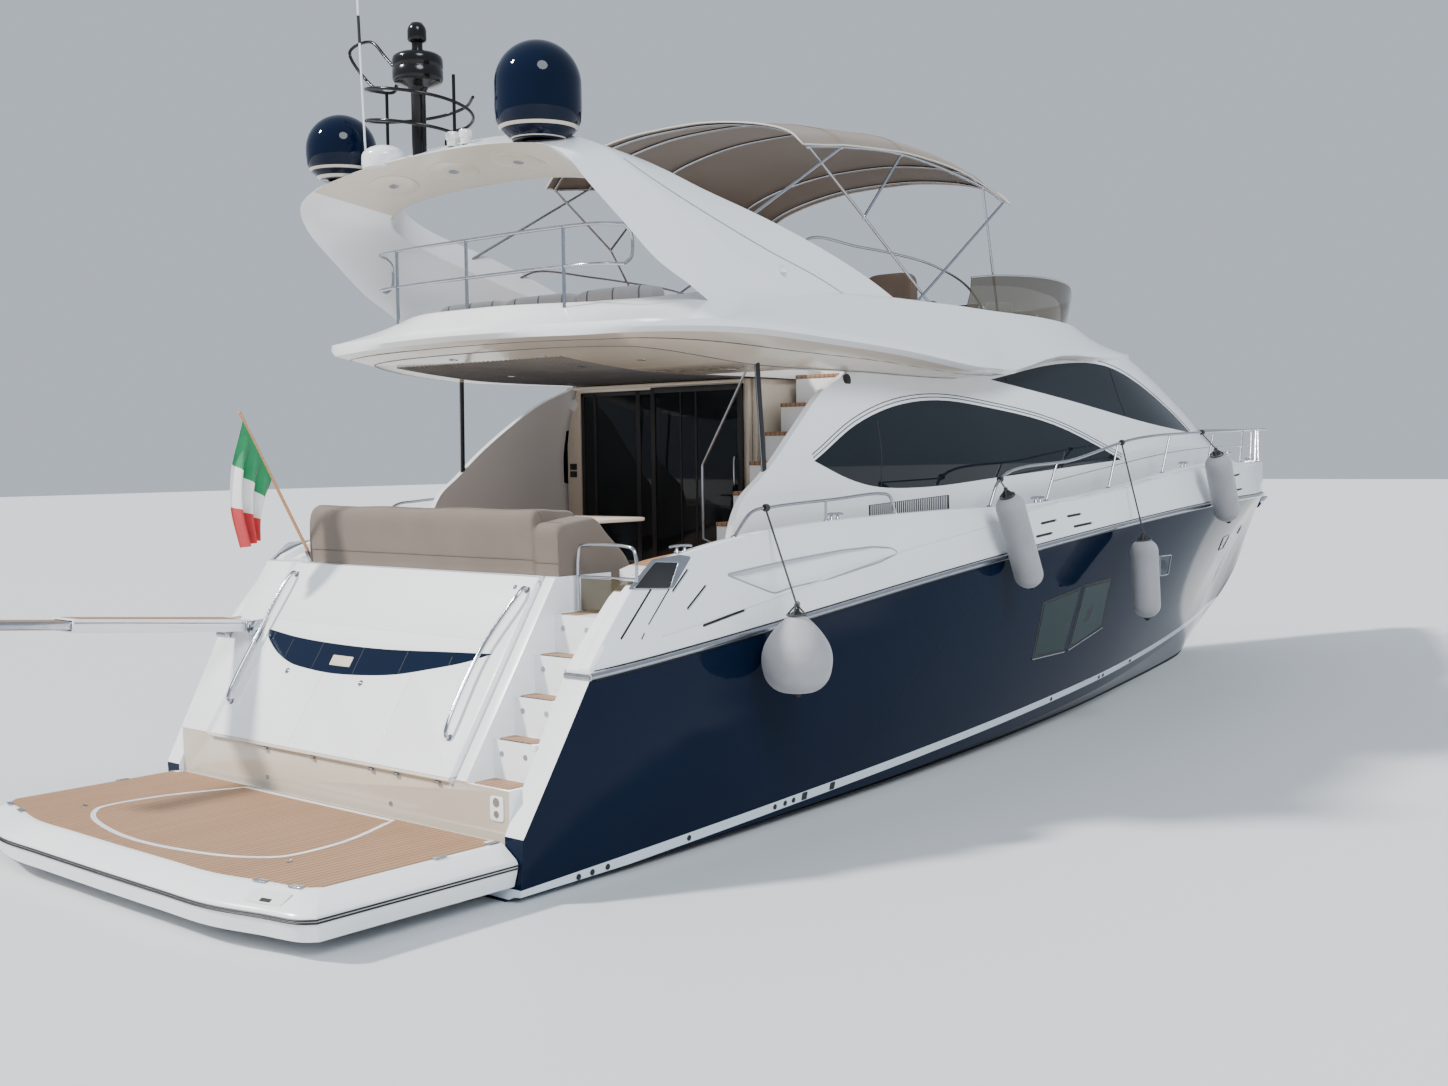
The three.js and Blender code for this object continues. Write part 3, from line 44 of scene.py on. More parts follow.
CAMERA_AT = (-16.624, -11.129, 3.335)
CAMERA_YAW, CAMERA_DIP, CAMERA_ROLL = 0.711, 0.057, -0.013
SENSOR, IMAGE_WIDTH, FOCAL_PIXELS = 36, 1448, 1577.04
SKY, SKY_STRENGTH = (0.78, 0.87, 1.0, 1), 0.68
# Name, direction it comes from, strength, softness in degrees and colour of each light
SUNS = [("key", (-14, 12, 17), 5.8, 6, (1.0, 0.955, 0.89)),
        ("fill", (-8, -15, 14), 2.6, 24, (0.90, 0.95, 1.0))]


def linked(name, data):
    item = bpy.data.objects.new(name, data)
    bpy.context.scene.collection.objects.link(item)
    return item


def set_camera():
    ahead = Vector((math.cos(CAMERA_YAW), math.sin(CAMERA_YAW), 0))
    right = Vector((math.sin(CAMERA_YAW), -math.cos(CAMERA_YAW), 0))
    up = Vector((0, 0, 1))
    look = ahead * math.cos(CAMERA_DIP) - up * math.sin(CAMERA_DIP)
    tall = up * math.cos(CAMERA_DIP) + ahead * math.sin(CAMERA_DIP)
    across = right * math.cos(CAMERA_ROLL) + tall * math.sin(CAMERA_ROLL)
    tall = tall * math.cos(CAMERA_ROLL) - right * math.sin(CAMERA_ROLL)
    data = bpy.data.cameras.new("camera")
    data.sensor_width = SENSOR
    data.lens = SENSOR * FOCAL_PIXELS / IMAGE_WIDTH
    data.clip_end = 500
    camera = linked("camera", data)
    turn = Matrix((across, tall, -look)).transposed().to_4x4()
    camera.matrix_world = Matrix.Translation(CAMERA_AT) @ turn
    bpy.context.scene.camera = camera


def set_light():
    world = bpy.data.worlds.new("studio")
    world.use_nodes = True
    background = world.node_tree.nodes["Background"]
    background.inputs["Color"].default_value = SKY
    background.inputs["Strength"].default_value = SKY_STRENGTH
    bpy.context.scene.world = world
    for name, spot, energy, softness, colour in SUNS:
        data = bpy.data.lights.new(name, "SUN")
        data.energy = energy
        data.angle = math.radians(softness)
        data.color = colour
        linked(name, data).rotation_euler = Vector(spot).to_track_quat("Z", "Y").to_euler()


set_camera()
set_light()

# Main sizes, in millimetres: stations forward of the platform's aft edge, y to port, heights from
# the waterline

ORIGIN = 11000
TRANSOM = 2100
STEM = 21750
RECESS_HALF = 2280
RECESS_FLOOR = 400
COCKPIT_HALF = 2050
COCKPIT_AFT = 3600
SOLE = 2050
BULKHEAD = 6900
SALOON_HALF = 2000
SALOON_FORE = 13200
PLATFORM_TOP = 450
FLY_FLOOR = 4430
GAP = 0.3
SIDES = (-1, 1)
# Reach of the cutting solids past the ship, and the platform's two rods
ASTERN, SHIP_WIDE = 1900, (-3000, 3000)
ROD_X, ROD_Y = TRANSOM + 120, 500

# Station, keel height, chine half-beam and height, sheer half-beam and height, flare
HULL_LINES = [
    [2100, -900, 2440, 60, 2540, 1600, 20], [3400, -960, 2420, 70, 2600, 1700, 20],
    [5200, -1040, 2360, 90, 2660, 1880, 20], [7500, -1090, 2240, 120, 2700, 2120, 10],
    [10000, -1110, 2020, 180, 2710, 2340, 0], [12500, -1090, 1700, 270, 2690, 2520, -30],
    [14500, -1010, 1340, 370, 2560, 2610, -60], [16500, -820, 920, 490, 2170, 2620, -90],
    [18000, -450, 560, 600, 1620, 2600, -90], [19200, 290, 210, 660, 1150, 2570, -70],
    [20000, 700, 30, 730, 850, 2540, -50], [20800, 1190, 20, 1210, 520, 2500, -20],
    [21400, 1830, 14, 1850, 230, 2460, -4], [21750, 2380, 8, 2385, 24, 2430, 0],
]
# Station, bulwark half-beam and height, depth of the side deck below it
DECK_LINES = [
    [2760, 2530, 1700, 20], [3050, 2520, 2050, 40], [3400, 2510, 2380, 60], [4100, 2520, 2560, 90],
    [5400, 2530, 2690, 180], [7500, 2550, 2740, 260], [9500, 2550, 2750, 260], [11500, 2530, 2880, 240],
    [13800, 2440, 3100, 220], [16000, 2170, 3110, 180], [18000, 1540, 3090, 140],
    [19500, 1000, 3080, 110], [20600, 600, 3070, 90], [21300, 250, 3060, 60], [21750, 22, 3040, 30],
]
# Height, half-width, station where the front begins to round, station of the front
HOUSE_LINES = [
    [2350, 2120, 13300, 19300], [2900, 2130, 13250, 19100], [3200, 2140, 13150, 18350],
    [3370, 2130, 13000, 17450], [3700, 2060, 12800, 16850], [4000, 1960, 12600, 16250],
    [4300, 1880, 12300, 15550], [4600, 1790, 12000, 14700],
]
# Outer edge x, y, z, coaming top x, y, z, inner edge x, y, from aft to fore
FLY_LINES = [
    [3450, 0, 4400, 3700, 0, 4650, 3820, 0], [3460, 600, 4395, 3720, 500, 4650, 3840, 480],
    [3500, 1180, 4385, 3850, 900, 4650, 3960, 830], [3600, 1700, 4375, 4100, 1250, 4660, 4200, 1150],
    [3800, 2100, 4385, 4420, 1620, 4690, 4500, 1490], [4300, 2370, 4400, 4850, 1930, 4745, 4900, 1790],
    [5000, 2450, 4405, 5280, 2080, 4790, 5290, 1940], [6000, 2460, 4365, 6000, 2120, 4820, 6000, 1990],
    [7200, 2450, 4305, 7200, 2110, 4850, 7200, 1990], [8500, 2390, 4205, 8500, 2060, 4860, 8500, 1930],
    [9100, 2320, 4200, 9100, 2015, 4860, 9100, 1880], [9700, 2230, 4210, 9700, 1960, 4860, 9700, 1820],
    [11000, 2050, 4420, 11000, 1820, 4870, 10900, 1660], [12300, 1900, 4450, 12000, 1660, 4840, 11700, 1440],
    [13250, 1720, 4480, 12700, 1420, 4770, 12200, 1100], [14000, 1420, 4510, 13400, 1130, 4700, 12500, 740],
    [14650, 940, 4530, 13900, 740, 4655, 12650, 380], [14880, 480, 4540, 14100, 370, 4645, 12700, 180],
    [14950, 0, 4540, 14150, 0, 4640, 12720, 0],
]
FLY_UNDER = [
    [3450, 4330], [4100, 4245], [4750, 4170], [5450, 4120], [7000, 4110], [9000, 4110],
    [10500, 4280], [12500, 4400], [15400, 4500],
]
# Aft edge, crest, forward edge and inner edge of the radar arch, from the centreline to the foot
ARCH_LINES = [
    [3290, 0, 5985, 3650, 0, 6130, 4150, 0, 6070, 4020, 0, 5790],
    [3290, 700, 5970, 3650, 700, 6110, 4150, 690, 6050, 4020, 680, 5775],
    [3290, 1250, 5920, 3650, 1240, 6050, 4180, 1200, 5990, 4030, 1150, 5730],
    [3280, 1620, 5850, 3680, 1600, 5970, 4300, 1540, 5920, 4080, 1420, 5680],
    [3290, 1840, 5730, 3750, 1830, 5860, 4500, 1760, 5800, 4200, 1600, 5600],
    [3420, 1930, 5540, 3950, 1950, 5680, 4900, 1870, 5660, 4550, 1720, 5480],
    [3770, 1980, 5250, 4500, 2030, 5380, 5700, 1930, 5480, 5300, 1790, 5290],
    [4150, 2010, 4960, 5100, 2090, 5080, 6500, 1990, 5260, 6000, 1830, 5120],
    [4500, 2050, 4780, 5600, 2150, 4850, 7200, 2040, 5020, 6800, 1850, 4950],
    [4800, 2090, 4600, 5900, 2190, 4600, 7800, 2080, 4760, 7600, 1870, 4760],
]

# Curves


def along(rows):
    """Smooth reading of a table over its first column."""
    rows = np.array(rows, float)

    def slope(i):
        a, b = rows[max(i - 1, 0)], rows[min(i + 1, len(rows) - 1)]
        return (b - a) / (b[0] - a[0])

    def read(x):
        x = min(max(x, rows[0, 0]), rows[-1, 0])
        i = int(np.clip(np.searchsorted(rows[:, 0], x) - 1, 0, len(rows) - 2))
        span = rows[i + 1, 0] - rows[i, 0]
        t = (x - rows[i, 0]) / span
        return ((2 * t ** 3 - 3 * t ** 2 + 1) * rows[i] + (t ** 3 - 2 * t ** 2 + t) * span * slope(i)
                + (3 * t ** 2 - 2 * t ** 3) * rows[i + 1] + (t ** 3 - t ** 2) * span * slope(i + 1))[1:]
    return read


hull_at, deck_at = along(HULL_LINES), along(DECK_LINES)
house_at, fly_under_at = along(HOUSE_LINES), along(FLY_UNDER)


def ceiling_z(x):
    return fly_under_at(x)[0]


def mix(a, b, t):
    return a + (b - a) * t


def curve_through(points, each):
    """Centripetal curve through points, with a number of steps between each two of them."""
    p = np.asarray(points, float)
    first, last = 2 * p[0] - p[1], 2 * p[-1] - p[-2]
    q = np.vstack([first, p, last])
    out = []
    for i in range(len(p) - 1):
        p0, p1, p2, p3 = q[i:i + 4]
        d = [max(np.sum((b[:3] - a[:3]) ** 2) ** 0.25, 1e-4) for a, b in ((p0, p1), (p1, p2), (p2, p3))]
        t1 = ((p1 - p0) / d[0] - (p2 - p0) / (d[0] + d[1]) + (p2 - p1) / d[1]) * d[1]
        t2 = ((p2 - p1) / d[1] - (p3 - p1) / (d[1] + d[2]) + (p3 - p2) / d[2]) * d[1]
        for k in range(each):
            t = k / each
            out.append(p1 + t1 * t + (-3 * p1 + 3 * p2 - 2 * t1 - t2) * t ** 2
                       + (2 * p1 - 2 * p2 + t1 + t2) * t ** 3)
    out.append(p[-1])
    return np.array(out)


def at_station(path, x):
    """Point of a fine path that is nearest to a station."""
    path = np.asarray(path)
    return path[np.argmin(np.abs(path[:, 0] - x))]


def rounded(corners, radius, steps=4):
    """Closed ring of corners with each corner turned into an arc."""
    corners = np.asarray(corners, float)
    radii = np.broadcast_to(np.asarray(radius, float), (len(corners),))
    out = []
    for i, p in enumerate(corners):
        a, b = corners[i - 1] - p, corners[(i + 1) % len(corners)] - p
        la, lb = max(np.linalg.norm(a), 1e-6), max(np.linalg.norm(b), 1e-6)
        r = min(radii[i], 0.48 * la, 0.48 * lb)
        start, end = p + a / la * r, p + b / lb * r
        for k in range(steps + 1):
            t = k / steps
            out.append((1 - t) ** 2 * start + 2 * t * (1 - t) * p + t ** 2 * end)
    return np.array(out)


# Solids, each a list of points and a list of faces, in millimetres


def merged(*solids):
    points, faces, base = [], [], 0
    for p, f in solids:
        points.append(np.asarray(p, float))
        faces += [tuple(i + base for i in face) for face in f]
        base += len(p)
    return np.concatenate(points), faces


def moved(solid, x=0, y=0, z=0):
    return np.asarray(solid[0]) + [x, y, z], solid[1]


def turned_about(solid, axis, degrees, centre=(0, 0, 0)):
    turn = np.array(Matrix.Rotation(math.radians(degrees), 3, axis))
    return (np.asarray(solid[0]) - centre) @ turn.T + centre, solid[1]


def loft(rings, caps=True, closed=True):
    rings = [np.asarray(r, float) for r in rings]
    count = len(rings[0])
    faces = []
    for r in range(len(rings) - 1):
        a, b = r * count, (r + 1) * count
        for i in range(count if closed else count - 1):
            j = (i + 1) % count
            faces.append((a + i, a + j, b + j, b + i))
    if caps:
        faces.append(tuple(range(count)))
        faces.append(tuple(range((len(rings) - 1) * count, len(rings) * count)))
    return np.concatenate(rings), faces


def box(x0, x1, y0, y1, z0, z1):
    ring = [(x0, y0), (x1, y0), (x1, y1), (x0, y1)]
    return loft([[(x, y, z0) for x, y in ring], [(x, y, z1) for x, y in ring]])


def slab(x0, x1, y0, y1, z0, z1, radius=20, edge=6, steps=3):
    """Box with rounded corners in plan and eased upper and lower edges."""
    def ring(inset, z):
        a, b, c, d = x0 + inset, x1 - inset, y0 + inset, y1 - inset
        return rounded([(a, c, z), (b, c, z), (b, d, z), (a, d, z)], radius, 4)
    edge = min(edge, (z1 - z0) / 2)
    shares = [math.pi / 2 * k / steps for k in range(steps + 1)]
    low = [ring(edge * (1 - math.sin(a)), z0 + edge * (1 - math.cos(a))) for a in shares]
    high = [ring(edge * (1 - math.cos(a)), z1 - edge * (1 - math.sin(a))) for a in shares]
    return loft(low + high)


def plate(outline, low, high, plane="xy", edge=0):
    """Plate of an outline between two values of the axis across it, with its edges eased."""
    outline = np.asarray(outline, float)
    centre = outline.mean(0)
    order = {"xy": (0, 1, 2), "xz": (0, 2, 1), "yz": (1, 2, 0)}[plane]

    def ring(inset, value):
        flat = centre + (outline - centre) * (1 - inset / max(np.abs(outline - centre).max(), 1))
        out = np.zeros((len(flat), 3))
        out[:, order[0]], out[:, order[1]], out[:, order[2]] = flat[:, 0], flat[:, 1], value
        return out
    steps = ((edge, 0), (edge * 0.3, edge * 0.3), (0, edge)) if edge else ((0, 0),)
    return loft([ring(inset, low + rise) for inset, rise in steps]
                + [ring(inset, high - rise) for inset, rise in reversed(steps)])


def tube(path, radius, sides=12, closed=False):
    path = np.asarray(path, float)
    n = len(path)
    radii = np.broadcast_to(np.asarray(radius, float), (n,))
    side, rings = np.array([0.3, 0.5, 0.8]), []
    for i, p in enumerate(path):
        before, after = path[max(i - 1, 0)], path[min(i + 1, n - 1)]
        if closed:
            before, after = path[i - 1], path[(i + 1) % n]
        tangent = (after - before) / max(np.linalg.norm(after - before), 1e-9)
        side = side - tangent * side.dot(tangent)
        side /= np.linalg.norm(side)
        up = np.cross(tangent, side)
        angles = 2 * np.pi * np.arange(sides) / sides
        rings.append(p + radii[i] * (np.outer(np.cos(angles), side) + np.outer(np.sin(angles), up)))
    if closed:
        rings.append(rings[0])
    return loft(rings, caps=not closed)


def pipe(points, radius, each=8, sides=12):
    return tube(curve_through(points, each), radius, sides)


def rod(a, b, radius, sides=12):
    return tube([a, mix(np.asarray(a, float), np.asarray(b, float), 0.5), b], radius, sides)


def round_turn(count):
    """Angles once round, the last one short of the first."""
    return 2 * np.pi * np.arange(count) / count


def hoop(wide, tall, thick, steps, sides=8, upright=False):
    """Closed tube round a circle or an ellipse, lying flat or standing across the ship."""
    ring = [(wide * math.cos(a), tall * math.sin(a)) for a in round_turn(steps)]
    return tube([(0, u, v) if upright else (u, v, 0) for u, v in ring], thick, sides, closed=True)


def sheet_of(rows):
    """Open surface through rows of points."""
    n = len(rows[0])
    faces = [(i * n + j, (i + 1) * n + j, (i + 1) * n + j + 1, i * n + j + 1)
             for i in range(len(rows) - 1) for j in range(n - 1)]
    return [p for row in rows for p in row], faces


def revolved(profile, segments=40, at=(0, 0, 0)):
    """Solid of revolution about a vertical axis, from rows of radius and height."""
    angles = 2 * np.pi * np.arange(segments) / segments
    rings = [np.stack([max(r, 0.01) * np.cos(angles), max(r, 0.01) * np.sin(angles), np.full(segments, z)], 1)
             for r, z in profile]
    return moved(loft(rings), *at)


def disc(centre, axis, radius, depth, segments=28, edge=0.25):
    """Round fitting on a surface: its axis points outwards."""
    e = depth * edge
    solid = revolved([(radius, -depth * 0.5), (radius, depth - e), (radius - e, depth)], segments)
    turn = np.array(Vector(axis).to_track_quat("Z", "Y").to_matrix())
    return np.asarray(solid[0]) @ turn.T + centre, solid[1]


# Blender objects


def blank(name, solid):
    """Piece without a finish, from one solid or a list of solids."""
    points, faces = merged(*solid) if isinstance(solid, list) else solid
    mesh = bpy.data.meshes.new(name)
    mesh.from_pydata(((np.asarray(points, float) - [ORIGIN, 0, 0]) / 1000).tolist(), [], faces)
    piece = linked(name, mesh)
    clean(piece)
    return piece


def clean(piece, distance=2e-5):
    bm = bmesh.new()
    bm.from_mesh(piece.data)
    bmesh.ops.remove_doubles(bm, verts=bm.verts, dist=distance)
    bmesh.ops.dissolve_degenerate(bm, edges=bm.edges, dist=1e-6)
    bmesh.ops.recalc_face_normals(bm, faces=bm.faces)
    bm.to_mesh(piece.data)
    bm.free()


def settle(piece):
    """Turns the modifiers' result into the piece's plain mesh."""
    graph = bpy.context.evaluated_depsgraph_get()
    made = piece.evaluated_get(graph)
    mesh = bpy.data.meshes.new_from_object(made, preserve_all_data_layers=True, depsgraph=graph)
    piece.modifiers.clear()
    old, piece.data = piece.data, mesh
    name = old.name
    bpy.data.meshes.remove(old)
    mesh.name = name
    return piece


def carved(piece, *solids, operation="DIFFERENCE"):
    """Cuts solids from a piece with the quick solver, or with the exact one where the quick one fails."""
    for solid in solids:
        tool = blank("tool", solid)
        before = len(piece.data.vertices)
        for solver in ("MANIFOLD", "EXACT"):
            step = piece.modifiers.new("carve", "BOOLEAN")
            step.operation, step.solver, step.object = operation, solver, tool
            graph = bpy.context.evaluated_depsgraph_get()
            count = len(piece.evaluated_get(graph).data.vertices)
            if count > 0 and not (solver == "MANIFOLD" and count == before):
                settle(piece)
                break
            piece.modifiers.clear()
        bpy.data.meshes.remove(tool.data)
    return piece


def eased(piece, width, angle=40, segments=2):
    """Bevels the sharp edges, width in millimetres."""
    step = piece.modifiers.new("ease", "BEVEL")
    step.width = width / 1000
    step.segments = segments
    step.limit_method = "ANGLE"
    step.angle_limit = math.radians(angle)
    step.use_clamp_overlap = True
    return settle(piece)


def dressed(piece, finish, body="boat", stands_for=(), crease=35):
    """Gives a piece its finish and body; the finish may be a list for paint() to choose from."""
    finishes = finish if isinstance(finish, list) else [finish]
    piece.data.materials.clear()
    for f in finishes:
        piece.data.materials.append(f.material)
    for face in piece.data.polygons:
        face.use_smooth = True
    piece.data.set_sharp_from_angle(angle=math.radians(crease))
    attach(piece, body)
    if stands_for:
        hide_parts(*([stands_for] if isinstance(stands_for, str) else stands_for))
    return piece


def paint(piece, index, test):
    """Gives a finish by its number to faces whose middle, in millimetres, and normal pass a test."""
    for face in piece.data.polygons:
        c = face.center
        if test(c.x * 1000 + ORIGIN, c.y * 1000, c.z * 1000, face.normal):
            face.material_index = index


def add(name, solid, finish, body="boat", stands_for=(), crease=35, ease=0):
    piece = blank(name, solid)
    if ease:
        eased(piece, ease)
    return dressed(piece, finish, body, stands_for, crease)


# Materials


def operator(name, swapped=False):
    """Method of a Signal that adds one Math node."""
    def method(self, *others):
        return self.maths(name, *((*others, self) if swapped else (self, *others)))
    return method


class Signal:
    """A socket of a shader tree that takes part in Python expressions."""

    def __init__(self, tree, socket):
        self.tree, self.socket = tree, socket

    def maths(self, operation, *values):
        node = add_node(self.tree, "ShaderNodeMath", {"operation": operation}, dict(enumerate(values)))
        return Signal(self.tree, node.outputs[0])

    def held(self):
        node = add_node(self.tree, "ShaderNodeClamp", inputs={"Value": self})
        return Signal(self.tree, node.outputs[0])

    __add__ = __radd__ = operator("ADD")
    __mul__ = __rmul__ = operator("MULTIPLY")
    __sub__, __rsub__ = operator("SUBTRACT"), operator("SUBTRACT", swapped=True)
    __truediv__, __rtruediv__ = operator("DIVIDE"), operator("DIVIDE", swapped=True)
    over, under = operator("GREATER_THAN"), operator("LESS_THAN")
    fraction, floor = operator("FRACT"), operator("FLOOR")
    size, sine = operator("ABSOLUTE"), operator("SINE")


def add_node(tree, kind, settings=None, inputs=None):
    """Adds a node of a type: its settings first, then the values or links of its sockets."""
    node = tree.nodes.new(kind)
    for key, value in (settings or {}).items():
        setattr(node, key, value)
    for key, value in (inputs or {}).items():
        value = value.socket if isinstance(value, Signal) else value
        if isinstance(value, bpy.types.NodeSocket):
            tree.links.new(value, node.inputs[key])
        else:
            node.inputs[key].default_value = value
    return node


# Numbers of the Mix node's colour sockets
MIX_A, MIX_B, MIX_RESULT = 6, 7, 2


class Finish:
    """One procedural finish: a material on Blender's principled shader and the record's slot."""

    def __init__(self, name, slot, **uniform):
        self.slot = slot
        self.material = bpy.data.materials.new(name)
        self.material.use_nodes = True
        self.tree = self.material.node_tree
        self.shader = self.tree.nodes["Principled BSDF"]
        self.set(**uniform)

    def set(self, **values):
        for key, value in values.items():
            socket = self.shader.inputs[key.replace("_", " ")]
            if isinstance(value, Signal):
                self.tree.links.new(value.socket, socket)
            else:
                socket.default_value = (*value, 1) if isinstance(value, tuple) and len(value) == 3 else value
        return self

    def node(self, kind, settings=None, inputs=None, output=0):
        return Signal(self.tree, add_node(self.tree, kind, settings, inputs).outputs[output])

    def place(self, scale=(1, 1, 1)):
        spot = self.node("ShaderNodeTexCoord", output="Object")
        return self.node("ShaderNodeMapping", inputs={"Vector": spot, "Scale": scale})

    def axes(self):
        parts = add_node(self.tree, "ShaderNodeSeparateXYZ", inputs={0: self.place()})
        return [Signal(self.tree, out) for out in parts.outputs]

    def noise(self, scale, detail=3.0, place=None):
        return self.node("ShaderNodeTexNoise", inputs={
            "Vector": place or self.place(), "Scale": scale, "Detail": detail, "Roughness": 0.55})

    def between(self, share, a, b):
        """Mix of two colours by a share."""
        a, b = ((*colour, 1) if isinstance(colour, tuple) else colour for colour in (a, b))
        inputs = {"Factor": share, MIX_A: a, MIX_B: b}
        return self.node("ShaderNodeMix", {"data_type": "RGBA"}, inputs, MIX_RESULT)

    def relief(self, height, distance, strength=1.0):
        """Bump from a height signal, distance in metres."""
        return self.set(Normal=self.node("ShaderNodeBump", inputs={
            "Height": height, "Distance": distance, "Strength": strength}))


# The white stripe over the waterline: height of its lower edge at a station, rise per metre and depth
STRIPE_FROM, STRIPE_LOW, STRIPE_RISE, STRIPE_DEEP = -7.6, 0.073, 0.037, 0.088


def hull_gelcoat():
    f = Finish("navy_gelcoat", "navy", Specular_IOR_Level=0.08)
    x, _, z = f.axes()
    rise = z - (x - STRIPE_FROM) * STRIPE_RISE - STRIPE_LOW
    stripe = rise.over(0.0) * rise.under(STRIPE_DEEP)
    below = (rise + 0.06).under(0.0) * z.under(0.06)
    cloud = f.noise(0.6, 2)
    navy = f.between(cloud, (0.0022, 0.0062, 0.019), (0.004, 0.0105, 0.028))
    painted = f.between(below, navy, (0.012, 0.014, 0.018))
    # The white stripe's colour is a darker, bluish grey: painted shade on a white stripe.
    f.set(Base_Color=f.between(stripe, painted, (0.62, 0.70, 0.76)),
          Roughness=f.noise(3.0, 2) * 0.03 + 0.045 + below * 0.5)
    return f.relief(f.noise(1.3, 1) + f.noise(5.0, 1) * 0.2, 0.004, 0.35)


def moulded_white(name, slot, light, dark, rough):
    f = Finish(name, slot, Coat_Weight=0.35, Coat_Roughness=0.08)
    f.set(Base_Color=f.between(f.noise(0.9, 3), light, dark), Roughness=f.noise(7, 3) * 0.1 + rough)
    return f.relief(f.noise(1.6, 1), 0.003, 0.25)


PLANK = 0.06


def teak_deck():
    f = Finish("teak_planks", "teak")
    x, y, _ = f.axes()
    plank = y / PLANK
    shade = f.node("ShaderNodeTexWhiteNoise", {"noise_dimensions": "1D"}, {"W": plank.floor()})
    grain = f.noise(1.0, 6, f.place((3.0, 95.0, 40.0)))
    wear = f.noise(1.1, 3)
    wood = f.between((grain * 0.8 + shade * 0.3).held(), (0.26, 0.13, 0.06), (0.39, 0.215, 0.112))
    wood = f.between((wear * 0.4).held(), wood, (0.32, 0.22, 0.145))
    seam = ((plank.fraction() - 0.5).size()).over(0.435)
    f.set(Base_Color=f.between(seam, wood, (0.035, 0.03, 0.028)), Roughness=0.52 + grain * 0.25)
    return f.relief(grain * 0.15 - seam * 0.5, 0.0015, 0.6)


def plain_teak(name="teak_trim", dark=(0.42, 0.2, 0.085), light=(0.66, 0.38, 0.19)):
    f = Finish(name, "teak")
    grain = f.noise(1.0, 6, f.place((4.0, 14.0, 60.0)))
    f.set(Base_Color=f.between(grain, dark, light), Roughness=0.4 + grain * 0.25)
    return f.relief(grain, 0.001, 0.4)


def tinted_glass(name, tint, alpha=1.0):
    f = Finish(name, "glass", Roughness=0.03, Specular_IOR_Level=0.18)
    cloud = f.noise(0.8, 2)
    f.set(Base_Color=f.between(cloud, tint, tuple(v * 1.8 for v in tint)))
    if alpha < 1:
        f.set(Alpha=cloud * 0.06 + alpha)
    return f.relief(f.noise(0.9, 0), 0.002, 0.2)


def polished_steel():
    f = Finish("polished_steel", "steel", Metallic=1.0)
    haze = f.noise(14, 4)
    f.set(Base_Color=f.between(haze, (0.33, 0.35, 0.38), (0.48, 0.50, 0.54)), Roughness=haze * 0.12 + 0.08)
    return f.relief(f.noise(60, 2), 0.0004, 0.3)


def black_rubber(name="black_trim", slot="black", shade=0.014, rough=0.35):
    f = Finish(name, slot)
    grit = f.noise(220, 3)
    dark, pale = (shade, shade, shade * 1.1), (shade * 2, shade * 2, shade * 2.1)
    f.set(Base_Color=f.between(f.noise(4, 2), dark, pale), Roughness=grit * 0.15 + rough)
    return f.relief(grit, 0.0004, 0.4)


def woven(name, slot, light, dark, pitch=0.0016, sheen=0.25, folds=0.0, stripe=0.0):
    """Cloth with a plain weave, mottling and a soft sheen."""
    f = Finish(name, slot, Sheen_Weight=sheen)
    x, y, z = f.axes()
    run = 2 * math.pi / pitch
    weave = (x * run).sine() * ((y + z) * run).sine()
    mottle = f.noise(2.2, 5)
    fine = f.noise(160, 2)
    tone = (mottle * 0.75 + fine * 0.2 + weave * 0.06).held()
    colour = f.between(tone, dark, light)
    if stripe:
        line = ((y / stripe).fraction() - 0.5).size().over(0.468)
        colour = f.between(line, colour, (0.12, 0.125, 0.135))
    f.set(Base_Color=colour, Roughness=0.82 + fine * 0.12)
    return f.relief(weave * 0.12 + fine * 0.25 + f.noise(5.0, 4) * folds, 0.0016, 0.7)


def knitted_fender():
    f = Finish("fender_knit", "fender", Sheen_Weight=0.4)
    _, _, z = f.axes()
    rib = (z * (2 * math.pi / 0.009)).sine()
    fluff = f.noise(95, 5)
    soil = f.noise(3.2, 4)
    f.set(Base_Color=f.between((soil * 0.8 + fluff * 0.25).held(), (0.22, 0.22, 0.23), (0.38, 0.38, 0.395)),
          Roughness=0.88 + fluff * 0.1)
    return f.relief(rib * 0.2 + fluff, 0.003, 0.8)


def flag_cloth(name, light, dark):
    f = Finish(name, "flag", Sheen_Weight=0.2, Roughness=0.8)
    f.set(Base_Color=f.between(f.noise(9, 4), dark, light))
    return f.relief(f.noise(300, 2) + f.noise(12, 3) * 0.5, 0.0008, 0.5)


def bronze():
    f = Finish("bronze", "bronze", Metallic=1.0)
    cast = f.noise(9, 5)
    f.set(Base_Color=f.between(cast, (0.42, 0.25, 0.10), (0.66, 0.45, 0.21)), Roughness=0.28 + cast * 0.22)
    return f.relief(f.noise(120, 3), 0.0006, 0.4)


NAVY = hull_gelcoat()
WHITE = moulded_white("white_gelcoat", "white", (0.83, 0.845, 0.86), (0.77, 0.79, 0.81), 0.17)
CREAM = moulded_white("cream_gelcoat", "white", (0.62, 0.55, 0.455), (0.54, 0.475, 0.385), 0.15)
JOINERY = moulded_white("pale_joinery", "cream", (0.62, 0.56, 0.47), (0.55, 0.48, 0.39), 0.3)
ANTISLIP = moulded_white("deck_antislip", "white", (0.70, 0.71, 0.71), (0.62, 0.63, 0.64), 0.55)
TEAK, TEAK_TRIM = teak_deck(), plain_teak()
TABLE = plain_teak("pale_table", (0.60, 0.50, 0.39), (0.74, 0.65, 0.53))
GLASS = tinted_glass("black_glass", (0.0055, 0.0085, 0.012))
DOOR_GLAZE = tinted_glass("door_glass", (0.006, 0.008, 0.010), 0.86)
BLUE_GLASS = tinted_glass("blue_glass", (0.0014, 0.005, 0.016))
GREEN_GLASS = tinted_glass("green_glass", (0.004, 0.018, 0.017))
